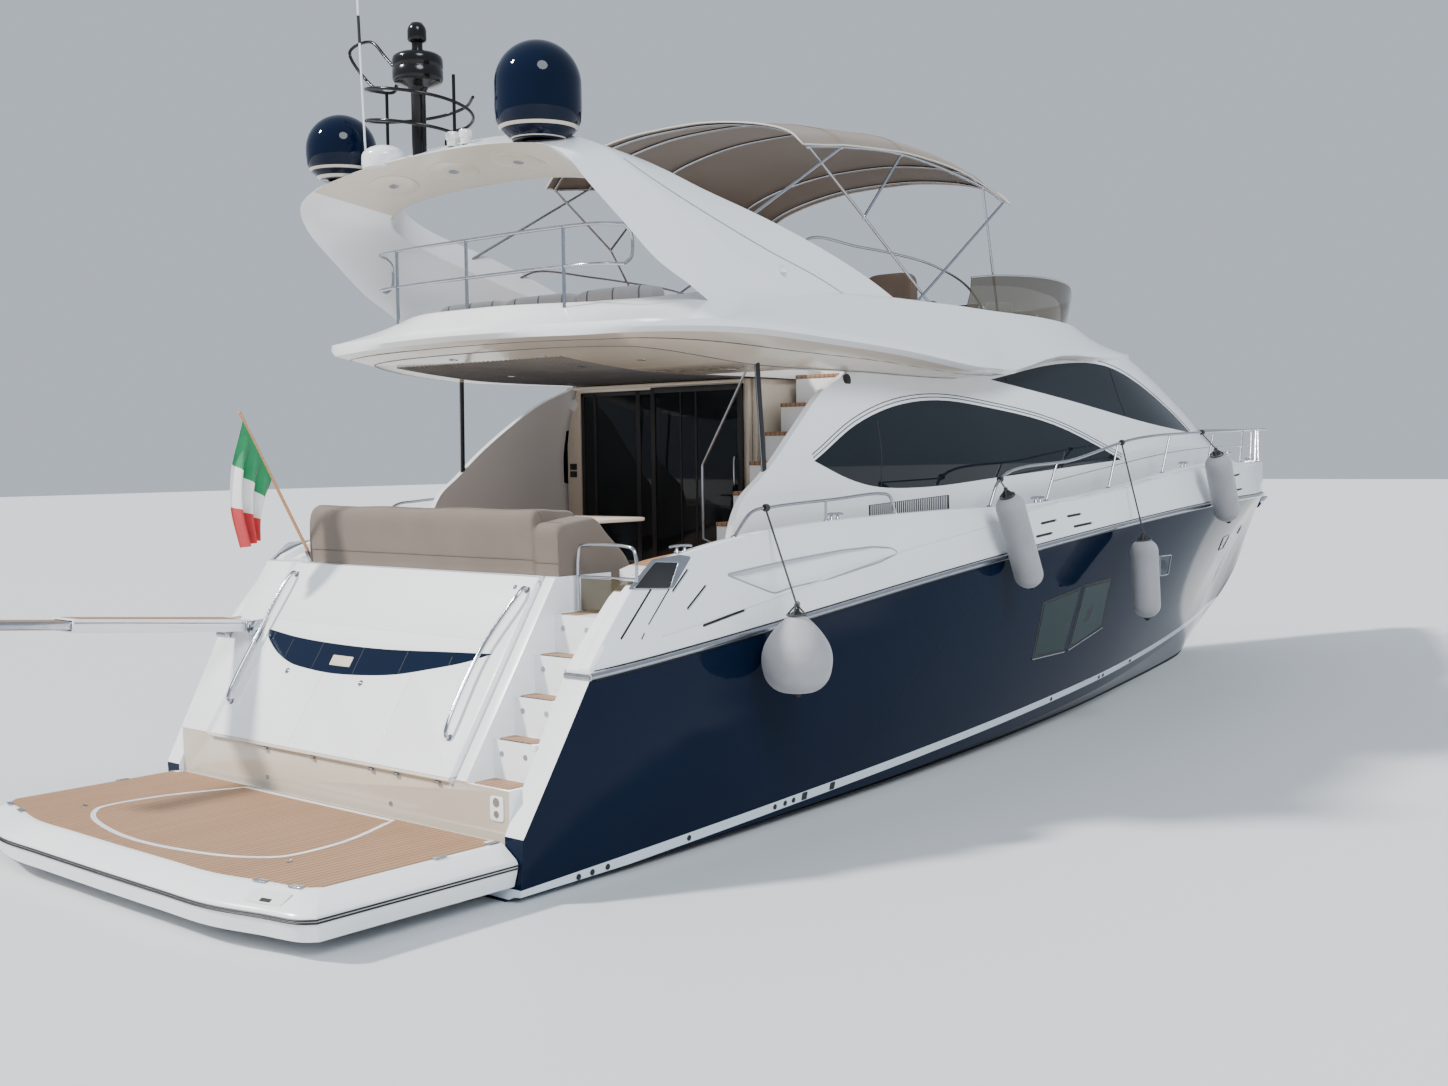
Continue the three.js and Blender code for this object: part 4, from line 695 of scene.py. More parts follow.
SMOKE = tinted_glass("smoked_screen", (0.05, 0.04, 0.022), 0.62)
STEEL = polished_steel()
BLACK = black_rubber()
BLACK.set(Specular_IOR_Level=0.25)
DOME_BLUE = tinted_glass("dome_gelcoat", (0.0012, 0.0042, 0.014))
DOME_BLUE.slot = "navy"
CANVAS = woven("taupe_canvas", "canvas", (0.165, 0.13, 0.103), (0.11, 0.086, 0.067), 0.0018, 0.2, 0.5)
CANVAS_DARK = woven("brown_canvas", "canvas", (0.15, 0.105, 0.075), (0.085, 0.058, 0.042), 0.0018, 0.2, 0.5)
CUSHION = woven("grey_cushion", "cream", (0.60, 0.60, 0.61), (0.47, 0.48, 0.50), 0.002, 0.3, 0.3)
STRIPED = woven("striped_cushion", "cream", (0.62, 0.62, 0.63), (0.48, 0.49, 0.51), 0.002, 0.3, 0.3, 0.33)
LEATHER = woven("cream_upholstery", "cream", (0.66, 0.60, 0.51), (0.56, 0.49, 0.40), 0.0012, 0.15, 0.4)
KNIT = knitted_fender()
FLAG_GREEN = flag_cloth("ensign_green", (0.012, 0.27, 0.10), (0.008, 0.17, 0.06))
FLAG_WHITE = flag_cloth("ensign_white", (0.82, 0.82, 0.80), (0.70, 0.70, 0.70))
FLAG_RED = flag_cloth("ensign_red", (0.62, 0.035, 0.04), (0.42, 0.02, 0.025))
BRONZE = bronze()
ENGINE = black_rubber("engine_paint", "engine", 0.33, 0.3)
LAMP = Finish("lamp_lens", "white", Roughness=0.08, Coat_Weight=1.0)
LAMP.set(Base_Color=LAMP.between(LAMP.noise(30, 2), (0.85, 0.84, 0.78), (0.6, 0.6, 0.6)))
GLOSS_BLACK = black_rubber("gloss_black", shade=0.004, rough=0.08)
GLOSS_BLACK.set(Specular_IOR_Level=0.3)
SHADE = moulded_white("scoop_shade", "white", (0.30, 0.335, 0.385), (0.25, 0.285, 0.335), 0.4)
GROOVE = black_rubber("shadow_gap", shade=0.07, rough=0.6)
ROPE = woven("black_rope", "black", (0.035, 0.034, 0.036), (0.012, 0.012, 0.013), 0.006, 0.3)
PIPING = woven("pale_piping", "canvas", (0.60, 0.55, 0.48), (0.46, 0.41, 0.35), 0.003, 0.2)

# Floor at the waterline

FLOOR_REACH = 140


def make_floor():
    f = Finish("pale_floor", "white", Roughness=0.6)
    f.set(Base_Color=f.between(f.noise(0.05, 2), (0.60, 0.615, 0.63), (0.63, 0.645, 0.66)))
    mesh = bpy.data.meshes.new("floor")
    corners = ((-1, -1), (1, -1), (1, 1), (-1, 1))
    mesh.from_pydata([(x * FLOOR_REACH, y * FLOOR_REACH, 0) for x, y in corners], [], [(0, 1, 2, 3)])
    mesh.materials.append(f.material)
    linked("floor", mesh)


make_floor()

# Hull


def hull_ring(x):
    keel, chine_y, chine_z, sheer_y, sheer_z, flare = hull_at(x)
    half = []
    for t in np.linspace(0.2, 0.85, 5):
        belly = 25 * min(1, chine_y / 1000) * math.sin(math.pi * t)
        half.append((chine_y * t, mix(keel, chine_z, t) - belly))
    half += [(chine_y * 0.97, chine_z - 8), (chine_y, chine_z)]
    half += [(mix(chine_y, sheer_y, t) + flare * 4 * t * (1 - t), mix(chine_z, sheer_z, t))
             for t in np.linspace(0.08, 1, 13)]
    star = [(x, -y, z) for y, z in half]
    port = [(x, y, z) for y, z in reversed(half)]
    return [(x, 0, keel)] + star + port


def stations(start, end, step=160):
    return np.linspace(start, end, int((end - start) / step) + 2)


def skin_y(x, z):
    """Half-beam of the topsides or the hull at a station and a height."""
    _, chine_y, chine_z, sheer_y, sheer_z, flare = hull_at(x)
    if z <= sheer_z:
        t = max((z - chine_z) / (sheer_z - chine_z), 0)
        return mix(chine_y, sheer_y, t) + flare * 4 * t * (1 - t)
    ring = topside_profile(x)
    for (y0, z0), (y1, z1) in zip(ring, ring[1:]):
        if z <= z1:
            return mix(y0, y1, (z - z0) / max(z1 - z0, 1))
    return ring[-1][0]


def make_hull():
    hull = blank("hull_shell", loft([hull_ring(x) for x in stations(TRANSOM, STEM)]))
    quarter = [(ASTERN, 500), (TRANSOM, 500), (2740, 1640), (2760, 2200), (ASTERN, 2200)]
    notches = [box(TRANSOM - 50, TRANSOM + 200, s * ROD_Y - 80, s * ROD_Y + 80, -430, 360) for s in SIDES]
    engine_room = box(4900, 7060, -1500, 1500, -300, 700)
    carved(hull, plate(quarter, *SHIP_WIDE, "xz"),
           box(ASTERN, BULKHEAD + 200, -RECESS_HALF, RECESS_HALF, RECESS_FLOOR, 3000), engine_room,
           box(BULKHEAD, SALOON_FORE, -SALOON_HALF, SALOON_HALF, SOLE, 3000), *notches)
    dressed(hull, [NAVY, WHITE], stands_for="hull", crease=28)
    paint(hull, 1, lambda x, y, z, n: z > RECESS_FLOOR - 2 and abs(y) < RECESS_HALF + 1.5
          and x < BULKHEAD + 201)
    paint(hull, 1, lambda x, y, z, n: x < 2790 and z > 498 and n.x < -0.5)


def make_running_gear_seats():
    slope = math.tan(math.radians(9))
    parts = []
    for side in SIDES:
        x, y = 3550, side * 950
        z = -1060 + 300 * slope
        for lean in (-30, 30):
            arm = [(x - 45, z), (x - 20, z - 30), (x + 45, z), (x + 95, -480), (x - 35, -480)]
            parts.append(plate(arm, y + lean - 9, y + lean + 9, "xz", 4))
        barrel = [(x + ahead, y, z + slope * ahead) for ahead in (-90, -45, 0, 45, 90)]
        parts.append(tube(barrel, [50, 58, 58, 58, 50], 20))
    rods = [rod((ROD_X, s * ROD_Y, -440), (ROD_X, s * ROD_Y, 370), 30, 20) for s in SIDES]
    add("platform_rods", rods, STEEL)
    add("shaft_brackets", parts, BRONZE)


def make_strake():
    section = rounded([(GAP, -28), (20, -28), (34, -12), (34, 12), (20, 28), (GAP, 28)], 9, 2)

    def ring(x, side):
        y, z = hull_at(x)[3:5]
        return [(x, side * (y + a), z + b) for a, b in section]
    runs = [loft([ring(x, s) for x in stations(2720, STEM + 20)]) for s in SIDES]
    y, z = hull_at(STEM)[3:5]
    nose = slab(STEM + GAP, STEM + 34, -y - 10, y + 10, z - 28, z + 28, 8, 8)
    ends = [rod((2735, s * (hull_at(2735)[3] + 10), 1640), (2733, s * 2300, 1640), 24, 16) for s in SIDES]
    add("rubbing_strake_steel", [*runs, nose, *ends], STEEL, stands_for="rubbing_strake", crease=50)
    lines = []
    for s in SIDES:
        for dz in (-34, 34):
            path = [(x, hull_at(x)[4] + dz) for x in stations(2790, STEM - 60)]
            lines.append(tube([(x, s * (skin_y(x, z) + 1), z) for x, z in path], 6, 6))
    add("strake_sealing", lines, BLACK)


# White topsides


FOLD_LINE = [[2760, 1665], [3050, 1800], [3400, 1875], [3607, 1902], [4935, 2098], [6729, 2372],
             [7843, 2492], [8540, 2572], [9224, 2668], [10460, 2790], [11933, 2925], [13108, 3010],
             [14200, 3050], [18000, 3045], [21750, 2995]]
fold_at = along(FOLD_LINE)


def topside_profile(x):
    """Half-beams and heights of the topsides' outer face from the sheer to the edge of the cap."""
    _, _, _, sheer_y, sheer_z, _ = hull_at(x)
    y, z, _ = deck_at(x)
    swell = 30 * min(1, max(0, (x - 2760) / 700)) * min(1, max(0, (20500 - x) / 3000))
    crease_z = min(max(float(fold_at(x)[0]), sheer_z + 20), z - 30)
    crease_y = mix(sheer_y, y, 0.9 * (crease_z - sheer_z) / (z - sheer_z)) + swell
    return [(sheer_y, sheer_z + GAP), (mix(sheer_y, crease_y, 0.6), mix(sheer_z, crease_z, 0.55)),
            (crease_y, crease_z), (mix(crease_y, y, 0.5) - swell * 0.3, mix(crease_z, z, 0.5)), (y, z)]


def deck_ring(x):
    y, z, drop = deck_at(x)
    cap = min(110, y * 0.3)
    ease = min(22, cap * 0.3)
    inner = y - cap
    crown = [(y - ease * (1 - math.cos(a)), z - ease * (1 - math.sin(a))) for a in (0, 0.4, 0.8, 1.2, 1.57)]
    half = topside_profile(x)[:-1] + crown + [
        (inner + ease, z), (inner + ease * 0.4, z - ease * 0.2), (inner, z - ease * 0.8),
        (y - cap * 1.25, z - drop + 2), (y - cap * 1.25 - 20, z - drop)]
    star = [(x, -b, c) for b, c in half]
    port = [(x, b, c) for b, c in reversed(half)]
    return star + [(x, 0, z - drop + 20)] + port


def wrapped(outline, side, out, steps=4):
    """Points of an outline drawn in station and height, laid on the ship's side, some way out of it."""
    outline = np.asarray(outline, float)
    fine = []
    for i, p in enumerate(outline):
        q = outline[(i + 1) % len(outline)]
        fine += [mix(p, q, k / steps) for k in range(steps)]
    return [(x, side * (skin_y(x, z) + out), z) for x, z in fine]


def side_patch(outline, side, low, high, inset=0.0, steps=4):
    """Plate on the ship's side between two distances out of it; the outer outline may be drawn in."""
    outline = np.asarray(outline, float)
    centre = outline.mean(0)
    inner = centre + (outline - centre) * (1 - inset)
    shoulder = wrapped(mix(outline, inner, 0.4), side, mix(low, high, 0.8), steps)
    return loft([wrapped(outline, side, low, steps), shoulder, wrapped(inner, side, high, steps)])


def side_frame(outline, side, width, low, high):
    """Closed strip that follows an outline on the ship's side."""
    path = wrapped(outline, side, (low + high) / 2, 6)
    return tube(path, width / 2, 8, closed=True)


def slot_outline(ends, width, steps):
    """Round-ended outline along a straight line between two places of station and height."""
    (x0, z0), (x1, z1) = ends
    length = math.hypot(x1 - x0, z1 - z0)
    nx, nz = -(z1 - z0) / length * width / 2, (x1 - x0) / length * width / 2
    corners = [(x0 + nx, z0 + nz), (x1 + nx, z1 + nz), (x1 - nx, z1 - nz), (x0 - nx, z0 - nz)]
    return rounded(corners, width * 0.45, steps)


def stroke(ends, side, width, low, high):
    return side_patch(slot_outline(ends, width, 3), side, low, high, 0.0, 1)


SCOOP = [(4330, 2322), (4640, 2350), (5200, 2396), (5900, 2438), (6390, 2447), (6660, 2420), (6740, 2370),
         (6430, 2300), (5660, 2200), (5130, 2160), (4890, 2122)]
SCOOP_EASE = (60, 3)
SIDE_SLOTS = [((3692, 2222), (3902, 2393)), ((3822, 2072), (4088, 2251)), ((3970, 1927), (4504, 2016)),
              ((9453, 2531), (9808, 2556)), ((10045, 2585), (10381, 2603)), ((10134, 2469), (10571, 2495)),
              ((9294, 2398), (9665, 2424)), ((14900, 2930), (15500, 2950)), ((15050, 2740), (15500, 2752))]


def scoop_tool(side):
    """Cutter of the long arrow-shaped hollow: deep at its aft end and running out forward."""
    fine = rounded(SCOOP, *SCOOP_EASE)
    centre = fine.mean(0)
    rings = []
    for inset, depth in ((0, 60), (0, 4), (0.05, -36), (0.17, -74)):
        ring = []
        for x, z in centre + (fine - centre) * (1 - inset):
            share = min(1, max(0.15, (7000 - x) / 1900))
            ring.append((x, side * (skin_y(x, z) + (depth if depth > 0 else depth * share)), z))
        rings.append(ring)
    return loft(rings)


def make_topsides():
    shell = blank("topsides_shell", loft([deck_ring(x) for x in stations(2760, STEM)]))
    roller_slot = box(STEM - 260, STEM + 20, -18.3, 18.3, 2739.7, 2800.3)
    both_ways = [(slot, side) for slot in SIDE_SLOTS for side in SIDES]
    carved(shell, roller_slot, box(ASTERN, BULKHEAD + 200, -RECESS_HALF, RECESS_HALF, 0, SOLE + GAP),
           box(ASTERN, COCKPIT_AFT, -RECESS_HALF, RECESS_HALF, SOLE, 4000),
           box(COCKPIT_AFT - 1, BULKHEAD + 200, -COCKPIT_HALF, COCKPIT_HALF, SOLE, 4000),
           box(BULKHEAD, SALOON_FORE, -SALOON_HALF, SALOON_HALF, SOLE - 500, 4000),
           scoop_tool(-1), scoop_tool(1),
           *[side_patch(slot_outline(slot, 28, 2), side, -24, 30, 0, 2) for slot, side in both_ways])
    dressed(shell, [WHITE, TEAK], stands_for=("foredeck", "topsides_port", "topsides_starboard"), crease=24)
    paint(shell, 1, lambda x, y, z, n: 3700 < x < 13400 and n.z > 0.9 and abs(y) > 1990
          and z < deck_at(x)[1] - deck_at(x)[2] + 30 and abs(y) < deck_at(x)[0] - 120)
    add("side_slots", [stroke(slot, side, 34, -26, -18) for slot, side in both_ways], BLACK)
    # Grey-blue tubes round the hollow's rim are painted shadow along its edges.
    ring = rounded(SCOOP, *SCOOP_EASE)
    edges = [tube([(x, s * (skin_y(x, z) - 2), z) for x, z in ring], 8, 8, closed=True) for s in SIDES]
    add("scoop_edges", edges, SHADE, crease=60)


# House

# Exponent of the round front's plan, heights of the body's rings, and the station where the house begins
NOSE_POWER = 0.92
HOUSE_LEVELS = [2350, 2550, 2750, 2900, 3000, 3100, 3200, 3260, 3315, 3370, 3450, 3530, 3615, 3700,
                *range(3800, 4700, 100)]
HOUSE_START = 4900


def house_ring(z, inset, aft, steps=26):
    half_width, round_from, front = house_at(z)
    w, xf = half_width - inset, front - inset * 1.8
    half = [(mix(aft, round_from - 80, i / 23), w) for i in range(24)]
    for i in range(steps + 1):
        a = math.pi / 2 * i / steps
        along_x, along_y = math.sin(a) ** NOSE_POWER, max(math.cos(a), 0) ** NOSE_POWER
        half.append((mix(round_from, xf, along_x), w * along_y))
    half[-1] = (half[-1][0], 0)
    return [(x, -y, z) for x, y in half] + [(x, y, z) for x, y in reversed(half[:-1])]


def house_body(inset, aft=HOUSE_START, stretch=0):
    """House as a full block, drawn in by an inset, its lowest and highest rings moved apart."""
    rings = [house_ring(z, inset, aft) for z in HOUSE_LEVELS]
    rings[0] = [(x, y, z - stretch) for x, y, z in rings[0]]
    rings[-1] = [(x, y, z + stretch) for x, y, z in rings[-1]]
    return loft(rings)


def house_core(inset):
    """Cutter of the space inside the house."""
    return house_body(inset, HOUSE_START - 200, 400)


LOWER_WINDOW = [(6120, 3250), (6850, 3590), (7620, 3790), (8450, 3860), (9460, 3790), (10790, 3610),
                (12350, 3190), (9450, 3030), (8070, 2960), (7170, 2980), (6670, 3070)]
UPPER_WINDOW = [(9620, 4110), (11190, 4335), (12450, 4360), (13560, 4090), (14830, 3520), (13280, 3640),
                (11190, 3920)]
WINDSCREEN = [(-1430, 3610), (1430, 3610), (1180, 4390), (0, 4420), (-1180, 4390)]


def smooth_outline(outline, each, sharp):
    """Closed smooth outline through points, with corners at those whose numbers are sharp."""
    outline = np.asarray(outline, float)
    n = len(outline)
    out = []
    for a, b in zip(sharp, sharp[1:] + (sharp[0] + n,)):
        run = np.array([outline[i % n] for i in range(a, b + 1)])
        flat = np.hstack([run, np.zeros((len(run), 1))])
        out.append(curve_through(flat, each)[:-1, :2])
    return np.concatenate(out)


def drawn_in(outline, by):
    outline = np.asarray(outline, float)
    centre = outline.mean(0)
    size = np.hypot(*(outline - centre).T).max()
    return centre + (outline - centre) * (1 - by / size)


# Reach of the windows' cutters to each side of a plane 2.4 m off the centreline
LOWER_REACH, UPPER_REACH = 900, 1300
LOWER_SMOOTH = smooth_outline(LOWER_WINDOW, 5, (0, 6))
UPPER_SMOOTH = smooth_outline(UPPER_WINDOW, 5, (0, 4))
HOUSE_AFT = [(4000, 2300), (4900, 2300), (4950, 2660), (5090, 2920), (5370, 3130), (5810, 3480),
             (6430, 3900), (7000, 4150), (7600, 4700), (4000, 4800)]


def sky_tool():
    rings = fly_sections()[:3]
    top = [(x, y, 6000) for x, y, _ in rings[-1]]
    return moved(fly_body(rings + [top]), z=-GAP)


def deck_tool():
    rings = []
    for x in stations(2760, STEM, 400):
        ring = deck_ring(x)
        ends = (0, len(ring) - 1)
        rings.append([(a, b, 1000 if i in ends else c + GAP) for i, (a, b, c) in enumerate(ring)])
    return loft(rings)


def window_tools(outline, reach, by=0):
    """Cutters of a side window to starboard and port, drawn in by some way."""
    outline = drawn_in(outline, by) if by else outline
    return [plate(outline, s * 2400 - reach, s * 2400 + reach, "xz") for s in SIDES]


def screen_tool(by=0):
    outline = rounded(WINDSCREEN, 90, 4)
    return plate(drawn_in(outline, by) if by else outline, 13500, 19000, "yz")


def make_house():
    curve = curve_through([(x, z, 0) for x, z in HOUSE_AFT[1:-1]], 6)[:, :2]
    aft_edge = plate([HOUSE_AFT[0], *curve, HOUSE_AFT[-1]], *SHIP_WIDE, "xz")
    house = blank("house_shell", house_body(0))
    carved(house, house_core(70), aft_edge, *window_tools(LOWER_SMOOTH, LOWER_REACH),
           *window_tools(UPPER_SMOOTH, UPPER_REACH), screen_tool(), sky_tool(), deck_tool())
    dressed(house, WHITE, stands_for="house", crease=26)
    panes = [("saloon_panes", window_tools(LOWER_SMOOTH, LOWER_REACH, 5),
              ("saloon_glass_port", "saloon_glass_starboard")),
             ("pilothouse_panes", window_tools(UPPER_SMOOTH, UPPER_REACH, 5),
              ("pilothouse_glass_port", "pilothouse_glass_starboard")),
             ("windscreen_panes", [screen_tool(5)], "windscreen")]
    for name, openings, nodes in panes:
        pane = blank(name, house_body(4))
        carved(pane, house_core(26))
        carved(pane, merged(*openings), operation="INTERSECT")
        dressed(pane, GLASS, stands_for=nodes, crease=26)


def make_wing_plugs():
    """White backs of the saloon windows' tips, aft of the bulkhead."""
    plugs = blank("wing_plugs", house_body(27))
    carved(plugs, house_core(70))
    carved(plugs, merged(*window_tools(LOWER_SMOOTH, LOWER_REACH, 1)), operation="INTERSECT")
    carved(plugs, box(5000, BULKHEAD, *SHIP_WIDE, 2000, 4500), operation="INTERSECT")
    dressed(plugs, WHITE, crease=26)


def house_y(x, z):
    """Half-width of the house at a station and a height, for small pieces laid on it."""
    half_width, round_from, front = house_at(z)
    if x <= round_from:
        return half_width
    share = min(1, (x - round_from) / (front - round_from)) ** (1 / NOSE_POWER)
    return half_width * math.cos(math.asin(share)) ** NOSE_POWER


# Flybridge


def fly_rows(each=3):
    """Rows of the flybridge's lines, with steps between them, for one side."""
    rows = np.array(FLY_LINES, float)
    over = [1, -1, 1, 1, -1, 1, 1, -1]
    q = np.vstack([rows[1] * over, rows, rows[-2] * over])
    out = []
    for i in range(1, len(rows)):
        p0, p1, p2, p3 = q[i - 1:i + 3]
        for k in range(each):
            t = k / each
            out.append(0.5 * (2 * p1 + (p2 - p0) * t + (2 * p0 - 5 * p1 + 4 * p2 - p3) * t ** 2
                              + (3 * p1 - p0 - 3 * p2 + p3) * t ** 3))
    out.append(rows[-1])
    return out


def fly_ring(pick):
    half = [pick(row) for row in fly_rows()]
    half = [(x, max(y, 0), z) for x, y, z in half]
    return [(x, -y, z) for x, y, z in half] + [(x, y, z) for x, y, z in reversed(half[1:-1])]


def fly_sections():
    start, end = FLY_LINES[0][0], FLY_LINES[-1][0]

    def inward(x, y, by):
        return min(max(x, start + by), end - by), max(y - by, 0)

    def under(by):
        """Ring drawn in along the outline's own normals, on the height of the ceiling."""
        rim = np.array([row[:2] for row in fly_rows()])
        rim = np.vstack([rim[1] * [1, -1], rim, rim[-2] * [1, -1]])
        out = []
        for a, p, b in zip(rim, rim[1:], rim[2:]):
            way = (b - a) / np.linalg.norm(b - a)
            x, y = p + np.array([way[1], -way[0]]) * by
            out.append((x, max(y, 0), fly_under_at(x)[0]))
        return [(x, -y, z) for x, y, z in out] + [(x, y, z) for x, y, z in reversed(out[1:-1])]

    def rim(by, dz):
        return lambda row: (*inward(row[0], row[1], by), row[2] + dz)

    def rise(t, bulge):
        def pick(row):
            a = np.array([*inward(row[0], row[1], 12), row[2] + 60])
            b = np.array([row[3], row[4], row[5]])
            return tuple(mix(a, b, t) + np.array([0, 0, bulge * 4 * t * (1 - t)]))
        return pick

    def crown(t, dz):
        return lambda row: (mix(row[3], row[6], t), mix(row[4], row[7], t), row[5] + dz)
    return [under(420)] + [fly_ring(p) for p in (
        rim(60, -45), rim(0, 0), rim(0, 26), rim(4, 44), rim(12, 60), rise(0.25, -10), rise(0.5, -10),
        rise(0.75, -8), rise(0.93, -4), crown(0, 0), crown(0.12, 8), crown(0.5, 12), crown(0.88, 8),
        crown(1, -2),
        lambda row: (row[6], max(row[7] - 20, 0), FLY_FLOOR))]


def fly_body(rings):
    """Solid through the flybridge's rings, closed below and above by strips from side to side."""
    points, faces = loft(rings, caps=False)
    n = len(rings[0])
    for base in (0, n * (len(rings) - 1)):
        for i in range(n // 2):
            strip = dict.fromkeys((i, i + 1, (n - i - 1) % n, (n - i) % n))
            faces.append(tuple(base + k for k in strip))
    return points, faces


def make_flybridge():
    fly = blank("flybridge_shell", fly_body(fly_sections()))
    carved(fly, box(6100, 7750, -1900, -820, 3900, 4820))
    dressed(fly, [WHITE, CREAM, TEAK], stands_for="flybridge", crease=30)
    rim = np.array(FLY_LINES)[:, (0, 2)]
    paint(fly, 1, lambda x, y, z, n: n.z < -0.2 and z < np.interp(x, rim[:, 0], rim[:, 1]) - 39)
    paint(fly, 2, lambda x, y, z, n: n.z > 0.9 and abs(z - FLY_FLOOR) < 12)


# Radar arch


def arch_edges(each=5):
    edges = []
    for c in (0, 3, 6, 9):
        half = [np.array(row[c:c + 3], float) for row in ARCH_LINES]
        whole = [p * [1, -1, 1] for p in reversed(half[1:])] + half
        edges.append(curve_through(whole, each))
    return edges


def arch_body(radius=(16, 40, 26, 22)):
    edges = arch_edges()
    return loft([rounded([e[i] for e in edges], radius, 4) for i in range(len(edges[0]))])


def make_arch():
    arch = blank("arch_shell", arch_body())
    carved(arch, moved(fly_body(fly_sections()), z=GAP))
    dressed(arch, [WHITE, CREAM], stands_for="radar_arch", crease=40)
    paint(arch, 1, lambda x, y, z, n: abs(y) < 1500 and n.z < -0.35)
    low_dome = [(0, 5960), (195, 5960), (205, 6000), (205, 6055)]
    low_dome += [(205 * math.cos(a), mix(6060, 6175, math.sin(a))) for a in np.linspace(0.15, math.pi / 2, 9)]
    add("low_dome", revolved(low_dome, 40, (MAST_X, 690, 0)), WHITE, crease=45)
    edges = arch_edges()
    wells, lenses = [], []

    def underside(share, y, out):
        aft, fore = (np.array([np.interp(y, e[:, 1], e[:, 0]), y, np.interp(y, e[:, 1], e[:, 2])])
                     for e in (edges[0], edges[3]))
        normal = np.array([aft[2] - fore[2], 0, fore[0] - aft[0]])
        return mix(aft, fore, share) - normal / np.linalg.norm(normal) * out

    def oval(y, size, out):
        return [underside(0.5 + 0.25 * size * math.cos(t), y + 290 * size * math.sin(t), out)
                for t in round_turn(36)]
    for y in (-860, 0, 860):
        for bag, size, depth in ((wells, 1.0, 6), (lenses, 0.2, 11)):
            levels = ((1, -6), (1, depth * 0.6), (0.97, depth), (0.4, depth))
            bag.append(loft([oval(y, size * k, out) for k, out in levels]))
    # Grey-blue tubes down the legs are painted shade along the fold of the legs' concave facets.
    shade_lines = []
    for feet in (range(2, 24), range(len(edges[0]) - 3, len(edges[0]) - 25, -1)):
        path = [mix(edges[1][i], edges[2][i], 0.55 - 0.45 * k / 21) for k, i in enumerate(feet)]
        shade_lines.append(tube(path, 6, 8))
    add("arch_grooves", shade_lines, SHADE, crease=60)
    add("arch_light_panels", wells, CREAM)
    add("arch_lights", lenses, STEEL)


MAST_X = 3420
# Side, half-beam, radius, lowest and highest point of the two domes
DOMES = [("starboard", -1376, 361, 5935, 6750), ("port", 1331, 327, 5935, 6540)]


def dome_profile(radius, low, top):
    rows = [(0, low), (radius * 0.6, low), (radius * 0.64, low + 8), (radius * 0.86, low + radius * 0.22),
            (radius * 0.97, low + radius * 0.42), (radius, low + radius * 0.7)]
    return rows + [(radius * math.cos(a), mix(top - radius, top, math.sin(a)))
                   for a in np.linspace(0.02, math.pi / 2, 22)]


def on_arch(name, solid, finish, stands_for=(), crease=35):
    """Adds a piece whose foot is cut to the top of the arch."""
    piece = blank(name, solid)
    carved(piece, moved(arch_body(), z=GAP))
    return dressed(piece, finish, stands_for=stands_for, crease=crease)


def make_mast_gear():
    x = MAST_X
    for name, y, radius, low, top in DOMES:
        shell = revolved(dome_profile(radius, low, top), 64, (x, y, 0))
        on_arch(f"dome_{name}_shell", shell, DOME_BLUE, f"dome_{name}", 60)
        skirt = [(radius * 0.4, low), (radius * 0.62 + 3, low + 4), (radius * 0.9 + 3, low + radius * 0.27),
                 (radius * 0.915 + 3, low + radius * 0.30), (radius * 0.3, low + radius * 0.3)]
        on_arch(f"dome_{name}_foot", revolved(skirt, 64, (x, y, 0)), CREAM, crease=40)
    drum = [(0, 6000), (65, 6000), (65, 6560), (90, 6610), (205, 6650), (222, 6680), (224, 6700),
            (224, 6762), (219, 6768), (219, 6776), (224, 6782), (224, 6850), (214, 6880), (180, 6902),
            (100, 6914), (55, 6920), (48, 6960), (48, 7000), (78, 7018), (84, 7030), (84, 7110), (76, 7140),
            (50, 7176), (0, 7190)]
    on_arch("mast_and_drum", revolved(drum, 48, (x, 180, 0)), GLOSS_BLACK, "mast", 40)
    make_guard()
    whip = [(x, 960 + 21.2 * k, 6000 + 460 * k) for k in range(5)] + [(x, 1066, 8300)]
    on_arch("whip_pole", tube(curve_through(whip, 3), 10, 12), WHITE, "whip_antenna")
    add("whip_ferrule", tube([(x, 1013, 7150), (x, 1019, 7280), (x, 1025, 7400)], 14, 14), BLACK)
    lamp = [(0, -70), (46, -70), (46, -20), (60, -8), (60, 40), (54, 52), (0, 56)]
    add("arch_lamps", [revolved(lamp, 24, (x, y, z)) for y, z in ((-270, 6105), (-450, 6100))], LAMP)


GUARD_X, GUARD_Y, GUARD_RADIUS, GUARD_DROP = 3450, 200, 470, 460


def guard_turn(start, end, top):
    """Loop round the mast from one angle to another, sinking as it goes."""
    steps = round((end - start) / 30)
    out = []
    for i in range(steps + 1):
        a = math.radians(mix(start, end, i / steps))
        out.append((GUARD_X + GUARD_RADIUS * math.cos(a), GUARD_Y + GUARD_RADIUS * math.sin(a),
                    top - GUARD_DROP * (i / steps) * (end - start) / 360))
    return out


def make_guard():
    port, starboard = GUARD_Y + GUARD_RADIUS, GUARD_Y - GUARD_RADIUS
    upper, lower = guard_turn(80, 380, 6670), guard_turn(-40, 320, 6550)
    horn = [(3450, 500, 6780), (3465, 700, 6980), (3465, 910, 7150), (3465, 1230, 7110), (3465, 930, 6770),
            (GUARD_X, port, 6640)]

    def ending(path):
        return path[-1][0], path[-1][1], 6010
    parts = [pipe([horn[0], *upper, ending(upper)], 15), pipe([*lower, ending(lower)], 15),
             pipe([upper[0], *horn], 15, 6)]
    parts += [rod((GUARD_X, y, 6010), (GUARD_X, y, 6660), 15) for y in (starboard, port)]
    add("guard_tubes", parts, GLOSS_BLACK, stands_for="mast_guard", crease=50)


# Canvas top

